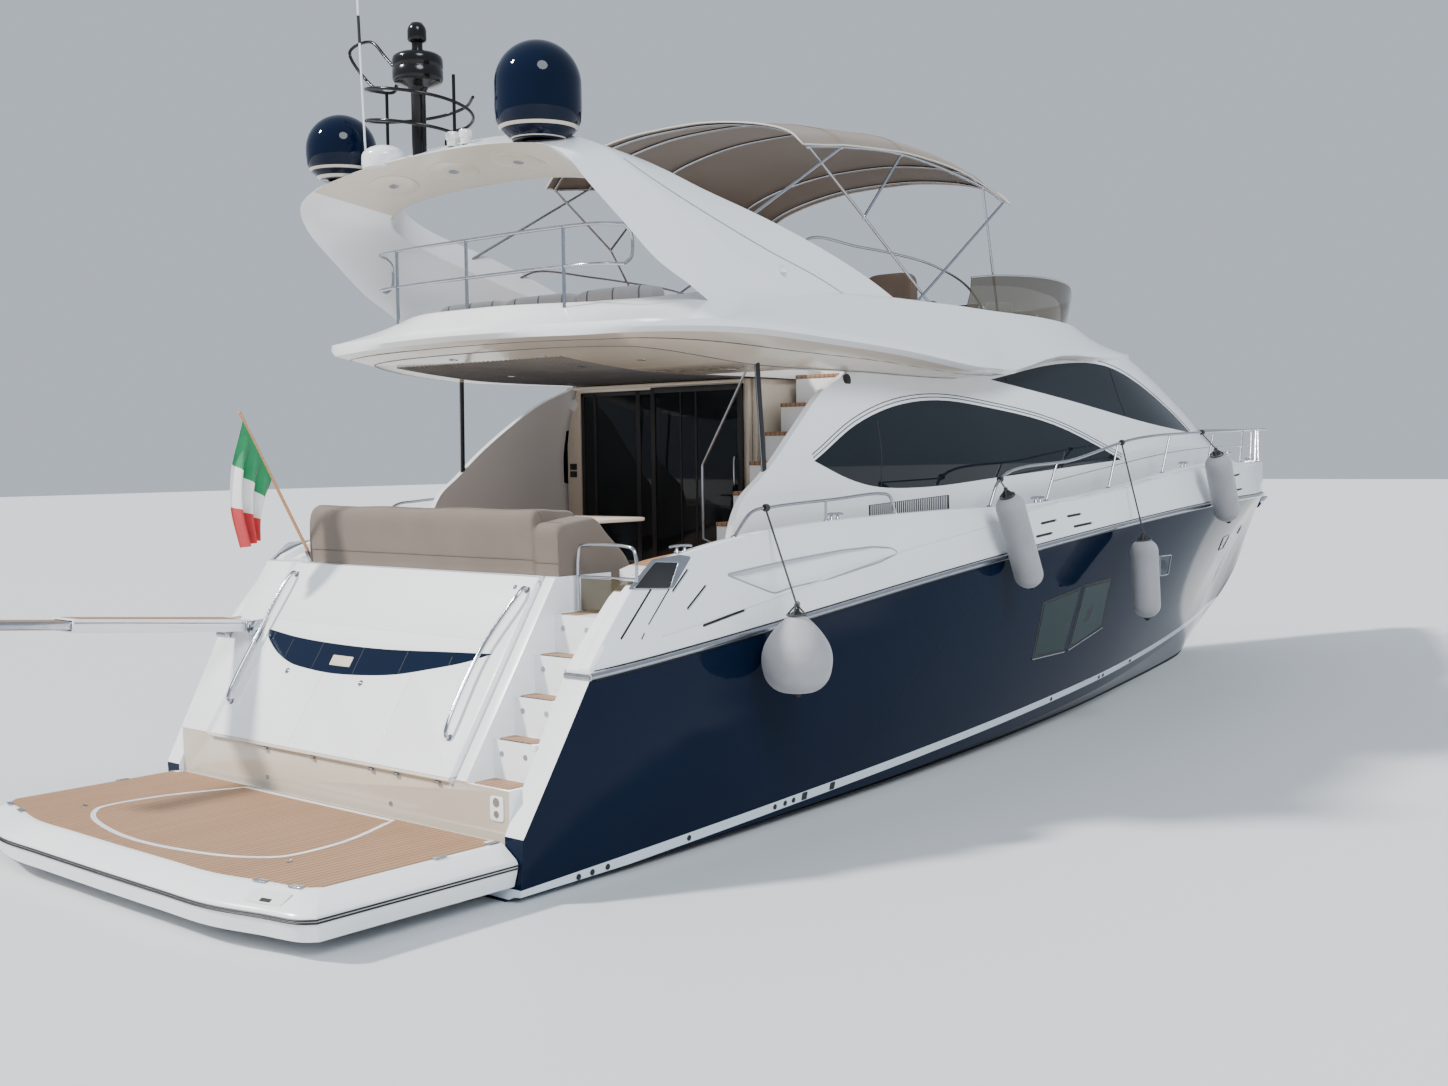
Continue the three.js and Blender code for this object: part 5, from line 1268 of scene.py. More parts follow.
CLOTH_AFT, CLOTH_FORE, CLOTH_HALF = 6450, 10300, 1790
CLOTH = 14
crown_at = along([[6450, 6670], [7400, 6780], [8400, 6820], [9300, 6760], [10300, 6520]])
fall_at = along([[0, 0], [500, 15], [1000, 80], [1400, 170], [1650, 270], [CLOTH_HALF, 400]])
BOWS = [6560, 7090, 8140, 9730, 10180]


def cloth_top(x, y):
    return crown_at(x)[0] - fall_at(abs(y))[0]


def cloth_sag(x, y):
    """Slack between the bows, which the tubes hold up."""
    edges = [CLOTH_AFT, *BOWS, CLOTH_FORE]
    for a, b in zip(edges, edges[1:]):
        if a <= x <= b:
            t = (x - a) / (b - a)
            return 4 * t * (1 - t) * min(16, (b - a) * 0.014) * (1 - 0.5 * abs(y) / CLOTH_HALF)
    return 0


def make_canopy():
    xs, ys = np.linspace(CLOTH_AFT, CLOTH_FORE, 90), np.linspace(-CLOTH_HALF, CLOTH_HALF, 70)

    def spot(x, y, lift=0):
        return x, y, cloth_top(x, y) - cloth_sag(x, y) - 2 + lift

    def run(path):
        return sum(math.dist(a, b) for a, b in zip(path, path[1:])) / 1000
    cloth = blank("canopy_cloth", sheet_of([[spot(x, y) for y in ys] for x in xs]))
    solidify(cloth, 3)
    dressed(cloth, CANVAS, stands_for="canopy", crease=60)
    rim = [(x, -CLOTH_HALF) for x in xs] + [(CLOTH_FORE, y) for y in ys[1:]]
    rim += [(x, CLOTH_HALF) for x in xs[::-1][1:]] + [(CLOTH_AFT, y) for y in ys[::-1][1:-1]]
    edge = tube([spot(*place) for place in rim], 9, 10, closed=True)
    piping = add("canopy_piping", edge, PIPING, crease=60)
    seams = [tube([spot(x + off, y, 1) for y in ys], 2.2, 6) for x in (7090, 8140, 9730) for off in (-24, 24)]
    seams += [tube([spot(x, y, 1) for x in xs], 2.2, 6) for y in (-640, 640)]
    stitching = add("canopy_seams", seams, CANVAS_DARK, crease=60)
    run([spot(8400, y) for y in ys])
    run([spot(x, 0) for x in xs])


def solidify(piece, thickness):
    step = piece.modifiers.new("cloth", "SOLIDIFY")
    step.thickness = thickness / 1000
    step.offset = -1
    return settle(piece)


def fly_foot(x, share=0.5):
    """Half-beam and height of the coaming's top at a station, some share of the way in."""
    rows = np.array(FLY_LINES[6:13], float)
    row = [np.interp(x, rows[:, 0], rows[:, k]) for k in range(8)]
    return mix(row[4], row[7], share), row[5]


def make_canopy_frame():
    half = CLOTH_HALF - 20

    def under(x, y):
        return np.array([x, y, cloth_top(x, y) - CLOTH - 8 - 16 * (y / half) ** 4])
    shares = (-1, -0.92, -0.78, -0.56, -0.28, 0, 0.28, 0.56, 0.78, 0.92, 1)
    parts = [pipe([under(x, k * half) for k in shares], 15, 4) for x in BOWS]
    knuckle = revolved([(0, -22), (16, -22), (21, -16), (21, 16), (16, 22), (0, 22)], 16)
    socket = revolved([(0, -6), (44, -6), (44, 2), (30, 10), (19, 34), (0, 34)], 20)
    joints = []
    for s in SIDES:
        ends = [under(x, s * half) for x in BOWS]
        first, second, third, fourth, fifth = ends

        def foot(x, share=0.5):
            y, z = fly_foot(x, share)
            return np.array([x, s * y, z - 8])
        knee = np.array([7440, s * 1790, 5680])
        rail = [(6150, 1950, 5270), (6420, 1930, 5370), (7210, 1870, 5360), (7800, 1875, 5345),
                (8620, 1840, 5290), (9340, 1810, 5120)]
        runs = [(first, knee), (knee, foot(8310)), (second, (5350, s * 1880, 5370)), (third, knee),
                (fifth, foot(8030)), (fourth, foot(9990, 0.85))]
        parts += [rod(a, b, 15) for a, b in runs]
        parts += [pipe(ends, 15, 8), pipe([*[(x, s * y, z) for x, y, z in rail], foot(9660, 0.85)], 13, 8)]
        joints += [moved(knuckle, *p) for p in (*ends, knee)]
        feet = ((8310, 0.5), (8030, 0.5), (9990, 0.85), (9660, 0.85))
        joints += [moved(socket, *foot(x, share)) for x, share in feet]
    add("canopy_tubes", parts, STEEL, stands_for="canopy_frame", crease=50)
    add("canopy_joints", joints, STEEL, crease=40)


# Rails

RAIL_IN = 60
BOW_PATH = [(8650, 2728), (8900, 3040), (10500, 3210), (12050, 3440), (14000, 3520), (16000, 3560),
            (18000, 3590), (19500, 3610), (20800, 3620)]
BOW_POSTS = (10100, 11600, 13100, 14700, 16300, 17900, 19300, 20500)
BOW_WIRE = (10020, 11480, 12980, 14580, 16180, 17780, 19180, 20380)
SIDE_POSTS = (4560, 5850, 6950)


def bow_rail_path():
    return [(x, deck_at(x)[0] - RAIL_IN, z) for x, z in BOW_PATH]


def rail_base(x, side=1, sink=0):
    """Place where a rail's post stands on the bulwark."""
    y, z, _ = deck_at(x)
    return x, side * (y - RAIL_IN), z - sink


def side_rail_path():
    aft, middle, fore = (rail_base(x, sink=12) for x in SIDE_POSTS)
    return [aft, (4800, aft[1], 2820), (5100, aft[1], 2860), (6000, middle[1], 2900), (6700, fore[1], 2930),
            (6850, fore[1], 2900), fore]


def rail_foot(x, side, radius=32):
    profile = [(0, -8), (radius, -8), (radius, 3), (radius * 0.85, 8), (radius * 0.55, 14), (0, 14)]
    return moved(revolved(profile, 20), *rail_base(x, side))


def make_rails():
    half = bow_rail_path()
    nose = [(21500, 300, 3625), (21800, 0, 3625), (21500, -300, 3625)]
    parts = [pipe([*half, *nose, *[(x, -y, z) for x, y, z in reversed(half)]], 17, 10, 14)]
    fine = curve_through(half, 60)
    feet, wires = [], []
    for s in SIDES:
        for x in BOW_POSTS:
            top = at_station(fine, x)
            parts.append(rod(rail_base(x - 250, s, 6), (top[0], s * top[1], top[2]), 14))
            feet.append(rail_foot(x - 250, s))
        feet.append(rail_foot(8650, s))
        wire = []
        for x in BOW_WIRE:
            _, y, z = rail_base(x - 170)
            top = at_station(fine, x + 80)
            wire.append((x - 45, s * mix(y, top[1], 0.5), mix(z, top[2], 0.5)))
        wires.append(pipe(wire, 6, 6, 8))
    add("bow_rail_tubes", [*parts, *wires], STEEL, stands_for="bow_rail", crease=50)
    for name, s in (("port", 1), ("starboard", -1)):
        path = [(x, s * y, z) for x, y, z in side_rail_path()]
        foot = rail_base(5850, s, 12)
        post = rod(foot, (5850, foot[1], 2890), 13)
        add(f"side_rail_{name}_tube", [pipe(path, 15, 8), post], STEEL, stands_for=f"side_rail_{name}",
            crease=50)
        feet += [rail_foot(x, s, 28) for x in SIDE_POSTS]
    add("rail_feet", feet, STEEL, crease=40)
    make_fly_rail()


def make_fly_rail():
    def across(z):
        rows = [(4130, 1640), (3960, 1500), (3880, 1000), (3860, 0)]
        return [(x, y, z) for x, y in rows] + [(x, -y, z) for x, y in reversed(rows[:-1])]
    end = [(4130, 1640, 5300), (4210, 1650, 5240), (4230, 1652, 5130), (4210, 1650, 5020), (4130, 1640, 4960)]
    hoops = [pipe([(x, s * y, z) for x, y, z in end], 15) for s in SIDES]
    posts = [rod((x, y, 4450), (x, y, 5300), 16) for x, y in ((3890, 1150), (3860, 100), (3890, -1150))]
    tubes = [pipe(across(5300), 15), pipe(across(4960), 15), *hoops, *posts]
    add("fly_rail_tubes", tubes, STEEL, stands_for="fly_rail", crease=50)


# Repeats with Geometry Nodes


def repeated(name, unit, spots, finish, body="boat"):
    """Copies a unit solid to spots of a place and a turn, with a Geometry Nodes group."""
    source = blank(name + "_unit", moved(unit, x=ORIGIN))
    mesh = bpy.data.meshes.new(name)
    mesh.from_pydata([((x - ORIGIN) / 1000, y / 1000, z / 1000) for (x, y, z), _ in spots], [], [])
    turns = mesh.attributes.new("turn", "FLOAT_VECTOR", "POINT")
    turns.data.foreach_set("vector", [v for _, turn in spots for v in turn])
    piece = linked(name, mesh)
    group = bpy.data.node_groups.new(name, "GeometryNodeTree")
    face = group.interface
    face.new_socket("Points", in_out="INPUT", socket_type="NodeSocketGeometry")
    unit_socket = face.new_socket("Unit", in_out="INPUT", socket_type="NodeSocketObject")
    size_socket = face.new_socket("Size", in_out="INPUT", socket_type="NodeSocketFloat")
    face.new_socket("Geometry", in_out="OUTPUT", socket_type="NodeSocketGeometry")

    def node(kind, settings=None, inputs=None):
        return add_node(group, kind, settings, inputs)
    entry = node("NodeGroupInput").outputs
    info = node("GeometryNodeObjectInfo", inputs={"Object": entry["Unit"], "As Instance": True})
    angle = node("GeometryNodeInputNamedAttribute", {"data_type": "FLOAT_VECTOR"}, {"Name": "turn"})
    turn = node("FunctionNodeEulerToRotation", inputs={0: angle.outputs[0]})
    copies = node("GeometryNodeInstanceOnPoints", inputs={
        "Points": entry["Points"], "Instance": info.outputs["Geometry"], "Rotation": turn.outputs[0],
        "Scale": entry["Size"]})
    real = node("GeometryNodeRealizeInstances", inputs={0: copies.outputs[0]})
    dyed = node("GeometryNodeSetMaterial", inputs={"Geometry": real.outputs[0], "Material": finish.material})
    node("NodeGroupOutput", inputs={0: dyed.outputs[0]})
    step = piece.modifiers.new("repeat", "NODES")
    step.node_group = group
    step[unit_socket.identifier] = source
    step[size_socket.identifier] = 1.0
    settle(piece)
    bpy.data.meshes.remove(source.data)
    clean(piece)
    return dressed(piece, finish, body, crease=40)


# Stern

# Garage door: station and height of its outer face's lower and upper edge, and its two sides
DOOR_SILL, DOOR_TOP = (2140, 845), (3112, 2343)
DOOR_STARBOARD, DOOR_PORT, DOOR_THICK = -1600, 1780, 80
DOOR_RUN, DOOR_RISE = DOOR_TOP[0] - DOOR_SILL[0], DOOR_TOP[1] - DOOR_SILL[1]
DOOR_LONG = math.hypot(DOOR_RUN, DOOR_RISE)
DOOR_OUT = (-0.839, 0, 0.544)
CRESCENT = [(-1470, 1072), (-1190, 972), (-780, 870), (-400, 789), (0, 745), (450, 723), (800, 736),
            (1110, 768), (1375, 848), (1540, 929), (1660, 1009), (1700, 1077), (1200, 1027), (600, 1004),
            (0, 1004), (-400, 1018), (-900, 1045)]
# Stern stairs: foot, tread depth, first height and rise; flybridge stair: foot and tread depth
STEP_X, STEP_RUN, STEP_Z, STEP_RISE = 2420, 225, 830, 305
RISER_X = 2150
GANGWAY_Y, GANGWAY_Z = 2040, 1780
AFT = (-1, 0, 0)


def on_door(solid):
    """Puts a solid of half-beam, way up the slope and way out of the door's face on the garage door."""
    p = np.asarray(solid[0], float)
    dx, dz = DOOR_RUN / DOOR_LONG, DOOR_RISE / DOOR_LONG
    return np.stack([DOOR_SILL[0] + dx * p[:, 1] - dz * p[:, 2], p[:, 0],
                     DOOR_SILL[1] + dz * p[:, 1] + dx * p[:, 2]], 1), solid[1]


def make_stern_moulding():
    fore = BULKHEAD + 200 - GAP
    outline = [(RISER_X, RECESS_FLOOR + GAP), (RISER_X, 820), DOOR_SILL, DOOR_TOP, (3142, 2350), (3750, 2350),
               (3750, SOLE), (fore, SOLE), (fore, RECESS_FLOOR + GAP)]
    moulding = blank("stern_moulding", plate(outline, -RECESS_HALF + GAP, RECESS_HALF - GAP, "xz"))
    garage = [(ASTERN, 839), (2247, 839), (2247, 560), (4700, 560), (4700, 1900), (3300, 1900), (3300, 2290),
              (3192, 2296), (3125, 2360), (ASTERN, 2360)]
    steps = [(2000, STEP_Z)]
    for i in range(4):
        x = STEP_X + STEP_RUN * i
        steps += [(x, STEP_Z + STEP_RISE * i), (x, STEP_Z + STEP_RISE * (i + 1))]
    steps += [(3900, SOLE), (3900, 3200), (2000, 3200)]
    chamfers = []
    for y, way in ((DOOR_STARBOARD - 6, -1), (DOOR_PORT + 6, 1)):
        ring = [(y - way * 20, -95), (y - way * 20, 30), (y + way * 105, 30)]
        chamfers.append(on_door(loft([[(b, s, out) for b, out in ring] for s in (-60, DOOR_LONG + 40)])))
    carved(moulding, plate(garage, DOOR_STARBOARD - 6, DOOR_PORT + 6, "xz"), door_pin(8.6, 35, 16),
           box(4900, 6800, -1500, 1500, 300, 1100), plate(steps, -3000, -1800, "xz"),
           *[box(COCKPIT_AFT, BULKHEAD, s * 2250 - 200, s * 2250 + 200, SOLE - 0.1, 3000) for s in SIDES],
           *chamfers)
    eased(moulding, 9, 30, 3)
    dressed(moulding, [WHITE, CREAM], stands_for="cockpit_moulding", crease=25)
    # Faces of the white riser below the door get the darker cream: painted shade under the door's overhang.
    paint(moulding, 1, lambda x, y, z, n: x < RISER_X + 15 and z < DOOR_SILL[1] + 1 and n.x < -0.8)
    ear = rounded([(2560, 1740), (2560, 1820), (2860, 1840), (2860, 1620), (2660, 1620)], 30, 4)
    ears = [plate(ear, y - 14, y + 14, "xz", 3) for y in (GANGWAY_Y - 212, GANGWAY_Y + 212)]
    forks = blank("gangway_fork", ears)
    carved(forks, rod((2600, 1700, GANGWAY_Z), (2600, 2380, GANGWAY_Z), 14.5, 24))
    dressed(forks, STEEL)
    make_stairs()
    make_stern_fittings()


def door_place(y, share, out):
    """Place on the door at a share of its slope and some way out of it."""
    return (DOOR_SILL[0] + DOOR_RUN * share - DOOR_RISE / DOOR_LONG * out, y,
            DOOR_SILL[1] + DOOR_RISE * share + DOOR_RUN / DOOR_LONG * out)


def door_pin(radius, past, sides=12):
    """Pin along the door's upper edge, some way past its sides."""
    ends = [door_place(y, 0.985, -25) for y in (DOOR_STARBOARD - past, DOOR_PORT + past)]
    return rod(*ends, radius, sides)


def make_stairs():
    treads = [slab(2180, 2405, -2245, -1835, 828, 837, 30, 4)]
    for i in range(4):
        x, z = STEP_X + STEP_RUN * i, STEP_Z + STEP_RISE * (i + 1)
        far, outer = (x + 195, -2245) if i < 3 else (COCKPIT_AFT + 150, -2020)
        treads.append(slab(x + 30, far, outer, -1835, z - 3, z + 7, 30, 4))
    add("stair_treads", treads, TEAK)
    add("cockpit_teak", slab(3790, 6830, -1990, 1990, SOLE - 3, SOLE + 7, 60, 4), TEAK)
    add("stair_lights", [disc((STEP_X + STEP_RUN * i, y, 1030 + STEP_RISE * i), AFT, 22, 5)
                         for i in range(4) for y in (-1900, -2170)], STEEL)
    grips = []
    for i in range(3):
        x, z = STEP_X + 8 + STEP_RUN * i, 1137 + STEP_RISE * i
        grips.append(slab(x, x + 18, -2225, -1855, z, z + 3, 3, 1))
    add("stair_grips", grips, BLACK)


def make_stern_fittings():
    # The lip along the door's sill is the darker cream: painted shade under the door's overhang.
    add("door_lower_lip", on_door(slab(DOOR_STARBOARD - 10, DOOR_PORT + 10, -30, -4, -60, 12, 8, 4)), CREAM)
    parts = []
    for y in (-1462, -941, -614, 200, 900):
        parts += [slab(2118, RISER_X, y - 26, y + 26, 790, 812, 8, 3), disc((2122, y, 801), AFT, 9, 6)]
    parts += [disc((RISER_X, y, 545), AFT, 20, 10) for y in (-848, 900)]
    add("riser_fittings", parts, STEEL)
    points, faces = slab(0, 150, 0, 190, 0, 10, 30, 4)
    shower = np.stack([RISER_X - points[:, 2], -2220 + points[:, 0], 585 + points[:, 1]], 1)
    add("shower_box", (shower, faces), WHITE)
    holes = [disc((2140, -2145, z), AFT, radius, 4) for z, radius in ((730, 36), (640, 28))]
    add("shower_holes", holes, STEEL)
    arc = [(-1873, 1960), (-1873, 2500), (-1900, 2590), (-1980, 2608), (-2420, 2608), (-2500, 2585),
           (-2530, 2500), (-2530, 2330)]
    gate = [pipe([(3300, y, z) for y, z in arc], 14, 8), rod((3300, -1873, 2350), (3300, -2530, 2352), 11)]
    add("stair_gate", gate, STEEL, crease=50)
    add("stair_gate_panel", slab(3294, 3306, -2490, -1905, 2070, 2336, 5, 2), SMOKE)
    strut = [(6200, -1250, 4125), (6200, -674, 3213), (6200, -674, 2482), (6200, -860, 2420)]
    add("stair_strut", [rod(a, b, 13) for a, b in zip(strut, strut[1:])], STEEL, crease=50)


def make_garage_door():
    section = [(0, 0), (DOOR_LONG, 0), (DOOR_LONG, -DOOR_THICK), (51.9, -DOOR_THICK)]
    ring = [[(y, s, out) for s, out in section] for y in (DOOR_STARBOARD, DOOR_PORT)]
    door = blank("garage_door_skin", on_door(loft(ring)))
    crescent = smooth_outline(CRESCENT, 5, (0, 11))
    seams = [on_door(box(y - 3, y + 3, 40, top, -4, 10)) for y, top in ((-600, 815), (585, 716), (1600, 950))]
    seams.append(on_door(box(DOOR_STARBOARD + 60, DOOR_PORT - 60, 1180, 1184, -3, 10)))
    carved(door, on_door(plate(crescent, -120, 40)), *seams)
    eased(door, 6, 50, 3)
    dressed(door, WHITE, "garage_door", stands_for="garage_door", crease=28)
    inner = crescent.mean(0) + (crescent - crescent.mean(0)) * 0.997
    add("garage_crescent", on_door(plate(inner, -24, -5)), BLUE_GLASS, "garage_door", "garage_glass")
    joints = ((-1000, 935), (-420, 800), (180, 742), (780, 742), (1250, 815))
    add("crescent_joints", [on_door(box(y - 3, y + 3, low, 1010, -7, -3.5)) for y, low in joints], BLACK,
        "garage_door")
    add("blank_plate", on_door(slab(260, 550, 800, 898, -5, 3, 10, 2)), CREAM, "garage_door")
    make_door_rails()


def make_door_rails():
    parts = []
    for low, middle, high in ((-1400, -1390, -1540), (1700, 1715, 1690)):
        path = [door_place(*place) for place in (
            (low, 0.18, -20), (low, 0.18, 40), (low, 0.205, 66), (middle, 0.58, 70), (high, 0.895, 66),
            (high, 0.93, 40), (high, 0.93, -20))]
        parts.append(pipe(path, 17, 14, 16))
        parts += [disc(door_place(y, share, 0), DOOR_OUT, 30, 5) for y, share in ((low, 0.18), (high, 0.93))]
    parts.append(door_pin(8, 30))
    for y, share, radius in ((1100, 0.387, 27), (0, 0.375, 27), (-1380, 0.942, 20)):
        x, _, z = door_place(y, share, 0)
        parts += [disc((x, y, z), DOOR_OUT, radius, 5), disc((x - 3, y, z + 2), DOOR_OUT, radius * 0.55, 6)]
    add("garage_door_rails", parts, STEEL, "garage_door", crease=50)


# Swim platform

RIM = [(70, 0), (75, 900), (85, 1500), (190, 2000), (260, 2330), (340, 2420), (2090, 2430)]
TENDER_PAD = [(415, 0), (440, 350), (565, 926), (700, 1190), (839, 1320), (1351, 1306), (2020, 1040)]


def platform_ring(inset, z):
    curve = curve_through([(x, y, 0) for x, y in RIM[:-1]], 5)
    half = [(x + inset, max(y - inset, 0)) for x, y, _ in curve] + [(RIM[-1][0], RIM[-1][1] - inset)]
    return [(x, -y, z) for x, y in half] + [(x, y, z) for x, y in reversed(half[1:])]


def make_platform():
    profile = [(240, 95), (140, 108), (60, 132), (45, 140), (12, 240), (0, 290), (-2, 312), (4, 330),
               (20, 348), (150, 436), (172, 446), (190, PLATFORM_TOP)]
    lugs = [slab(2040, 2290, s * ROD_Y - 55, s * ROD_Y + 55, 60, 330, 14, 10) for s in SIDES]
    shell = blank("platform_shell", [loft([platform_ring(i, z) for i, z in profile]), *lugs])
    carved(shell, *[rod((ROD_X, s * ROD_Y, -100), (ROD_X, s * ROD_Y, 600), 30.4, 28) for s in SIDES])
    dressed(shell, WHITE, "swim_platform", stands_for="swim_platform", crease=35)
    teak = [(min(x, 2070), y) for x, y, _ in platform_ring(196, 0)]
    add("platform_teak", plate(teak, PLATFORM_TOP - 4, PLATFORM_TOP + 5), TEAK, "swim_platform")
    corners = [slab(2000, 2066, s * 2190 - 40, s * 2190 + 40, 452, 457.5, 8, 1) for s in SIDES]
    add("platform_strips", [tender_strip(), *corners], WHITE, "swim_platform")
    lines = [tube(platform_ring(inset, z), 7, 8, closed=True) for inset, z in ((-6, 306), (-4, 284))]
    add("platform_rub_line", lines, BLACK, "swim_platform")
    make_platform_fittings()


def tender_strip():
    """White inlay round the tender's place, closed at its aft end."""
    half = curve_through([(x, y, 0) for x, y in TENDER_PAD], 6)[:, :2]
    whole = [(x, -y) for x, y in half] + [(x, y) for x, y in reversed(half[1:])] + [TENDER_PAD[0]]
    path = np.array([(x, y, PLATFORM_TOP + 5.5) for x, y in whole])
    strip = []
    for i, p in enumerate(path):
        a, b = path[max(i - 1, 0)], path[min(i + 1, len(path) - 1)]
        t = (b - a) / np.linalg.norm(b - a)
        n = np.array([-t[1], t[0], 0]) * 21
        strip.append([p - n, p + n, p + n + [0, 0, 2], p - n + [0, 0, 2]])
    return loft(strip)


def make_platform_fittings():
    pads = []
    for s in SIDES:
        for x, y, turn in ((357, 1751, -12), (421, 2078, -14), (2029, 2222, 0), (1513, 2232, 0)):
            a, b = (26, 60) if turn else (60, 26)
            pad = slab(-a, a, -b, b, PLATFORM_TOP, PLATFORM_TOP + 10, 14, 3)
            pads.append(moved(turned_about(pad, "Z", s * turn), x, s * y))
    for x, y in ((767, -1480), (767, 1480)):
        pads += [disc((x, y, 455), (0, 0, 1), 26, 8), moved(hoop(20, 20, 4, 19), x, y, 462)]
    add("platform_fittings", pads, STEEL, "swim_platform", crease=40)

    def on_bevel(y, share, out):
        edge = np.interp(abs(y), [r[1] for r in RIM[:6]], [r[0] for r in RIM[:6]])
        return edge + mix(150, 20, share) - out * 0.56, y, mix(436, 348, share) + out * 0.83
    lid = rounded([(-2130, 0.12), (-1800, 0.12), (-1800, 0.85), (-2130, 0.85)], 0.02, 2)
    slot = [(-2020, 0.55), (-1925, 0.55), (-1925, 0.75), (-2020, 0.75)]
    for name, outline, low, high, finish in (("rim_hatch", lid, -3, 3.5, ANTISLIP),
                                             ("rim_hatch_slot", slot, -2, 4.5, BLACK)):
        solid = loft([[on_bevel(y, share, out) for y, share in outline] for out in (low, high)])
        add(name, solid, finish, "swim_platform")


# Gangway


def raised(solid):
    return turned_about(solid, "Y", 5, (2600, 0, GANGWAY_Z))


def make_gangway():
    y, z = GANGWAY_Y, GANGWAY_Z
    outer = blank("gangway_outer_beam", raised(box(900, 2630, y - 190, y + 190, z - 58, z + 58)))
    carved(outer, raised(box(890, 2520, y - 165, y + 165, z - 43, z + 43)))
    eased(outer, 7, 40, 2)
    dressed(outer, WHITE, "gangway_outer", stands_for="gangway_outer", crease=30)
    trims = [raised(slab(910, 2560, y + s * 186 - 5, y + s * 186 + 5, z + 18, z + 34, 4, 2)) for s in SIDES]
    axle = rod((2600, y - 224, z), (2600, y + 224, z), 14)
    add("gangway_outer_trims", [axle, *trims], STEEL, "gangway_outer", crease=40)
    tread = raised(slab(960, 2540, y - 150, y + 150, z + 55, z + 62, 20, 3))
    add("gangway_outer_tread", tread, TEAK, "gangway_outer")
    inner = blank("gangway_inner_beam", raised(box(-300, 1500, y - 160, y + 160, z - 36, z + 36)))
    eased(inner, 8, 40, 3)
    dressed(inner, STEEL, "gangway_inner", stands_for="gangway_inner", crease=30)
    pad = raised(slab(1440, 1499, y - 164.6, y + 164.6, z - 42.6, z + 42.6, 4, 3))
    add("gangway_slide_pad", pad, BLACK, "gangway_inner")
    tread = raised(slab(-270, 880, y - 130, y + 130, z + 33, z + 39, 20, 2))
    add("gangway_inner_tread", tread, TEAK, "gangway_inner")
    wheels = [raised(rod((-270, mid - 20, z - 52), (-270, mid + 20, z - 52), 34, 24))
              for mid in (y - 120, y + 120)]
    add("gangway_wheels", wheels, BLACK, "gangway_inner", crease=40)


# Ensign

ENSIGN_Y, STAFF_FOOT, STAFF_HEAD = 1710, (3230, 2350), (2490, 3770)
# Stations and heights down the flag at its hoist, its middle and its fly
ENSIGN_ROWS = [[(2508, 3690), (2428, 3300), (2408, 2900), (2500, 2515)],
               [(2660, 3410), (2560, 3130), (2545, 2830), (2590, 2560)],
               [(2800, 3140), (2735, 2930), (2690, 2760), (2672, 2585)]]


def make_ensign():
    y, (foot_x, foot_z), (head_x, head_z) = ENSIGN_Y, STAFF_FOOT, STAFF_HEAD
    pole = rod((foot_x + 10, y, foot_z + 1), (head_x, y, head_z), 15, 16)
    knob = moved(revolved([(0, -14), (14, -12), (19, 0), (14, 14), (0, 18)], 16), head_x, y, head_z - 8)
    add("ensign_pole", [pole, knob], TEAK_TRIM, stands_for="ensign_staff", crease=50)
    socket = [disc((foot_x + 8, y, foot_z + 2), (0, 0, 1), 38, 8),
              rod((3220, y, 2352), (3170, y, 2450), 21, 16)]
    add("ensign_socket", socket, STEEL, crease=40)
    hoist, middle, fly = (curve_through([(x, z, 0) for x, z in rows], 16) for rows in ENSIGN_ROWS)
    sheet = []
    for u in np.linspace(0, 1, 61):
        row = []
        for k, v in enumerate(np.linspace(0, 1, 49)):
            x, z, _ = (2 * (u - 0.5) * (u - 1) * hoist[k] + 4 * u * (1 - u) * middle[k]
                       + 2 * u * (u - 0.5) * fly[k])
            fold = 60 * math.sin(2 * math.pi * 3 * u + 0.6 + v) + 16 * math.sin(2 * math.pi * 1.1 * u + 2 * v)
            row.append((x, y + min(1, v * 3) * fold - 16 * (1 - v), z))
        sheet.append(row)
    flag = blank("ensign_cloth", sheet_of(sheet))
    solidify(flag, 1.2)
    dressed(flag, [FLAG_GREEN, FLAG_WHITE, FLAG_RED], stands_for="ensign", crease=80)
    across = len(sheet[0]) - 1
    count = (len(sheet) - 1) * across
    for index, face in enumerate(flag.data.polygons):
        band = index % count % across * 3 // across
        face.material_index = band if index < 2 * count else 1


# Cloth cover over the cockpit sofa: stations and heights round its back and seat, and round its end flap

SOFA_GIRTH = [(3163, 2353), (3152, 2600), (3150, 2800), (3185, 2868), (3250, 2890), (3430, 2876),
              (3610, 2858), (3668, 2790), (3742, 2530), (3743, 2354)]
FLAP_GIRTH = [(3174, 2353), (3164, 2560), (3160, 2720), (3200, 2770), (3300, 2790), (3480, 2812),
              (3600, 2815), (3720, 2700), (3985, 2420), (3986, 2112)]

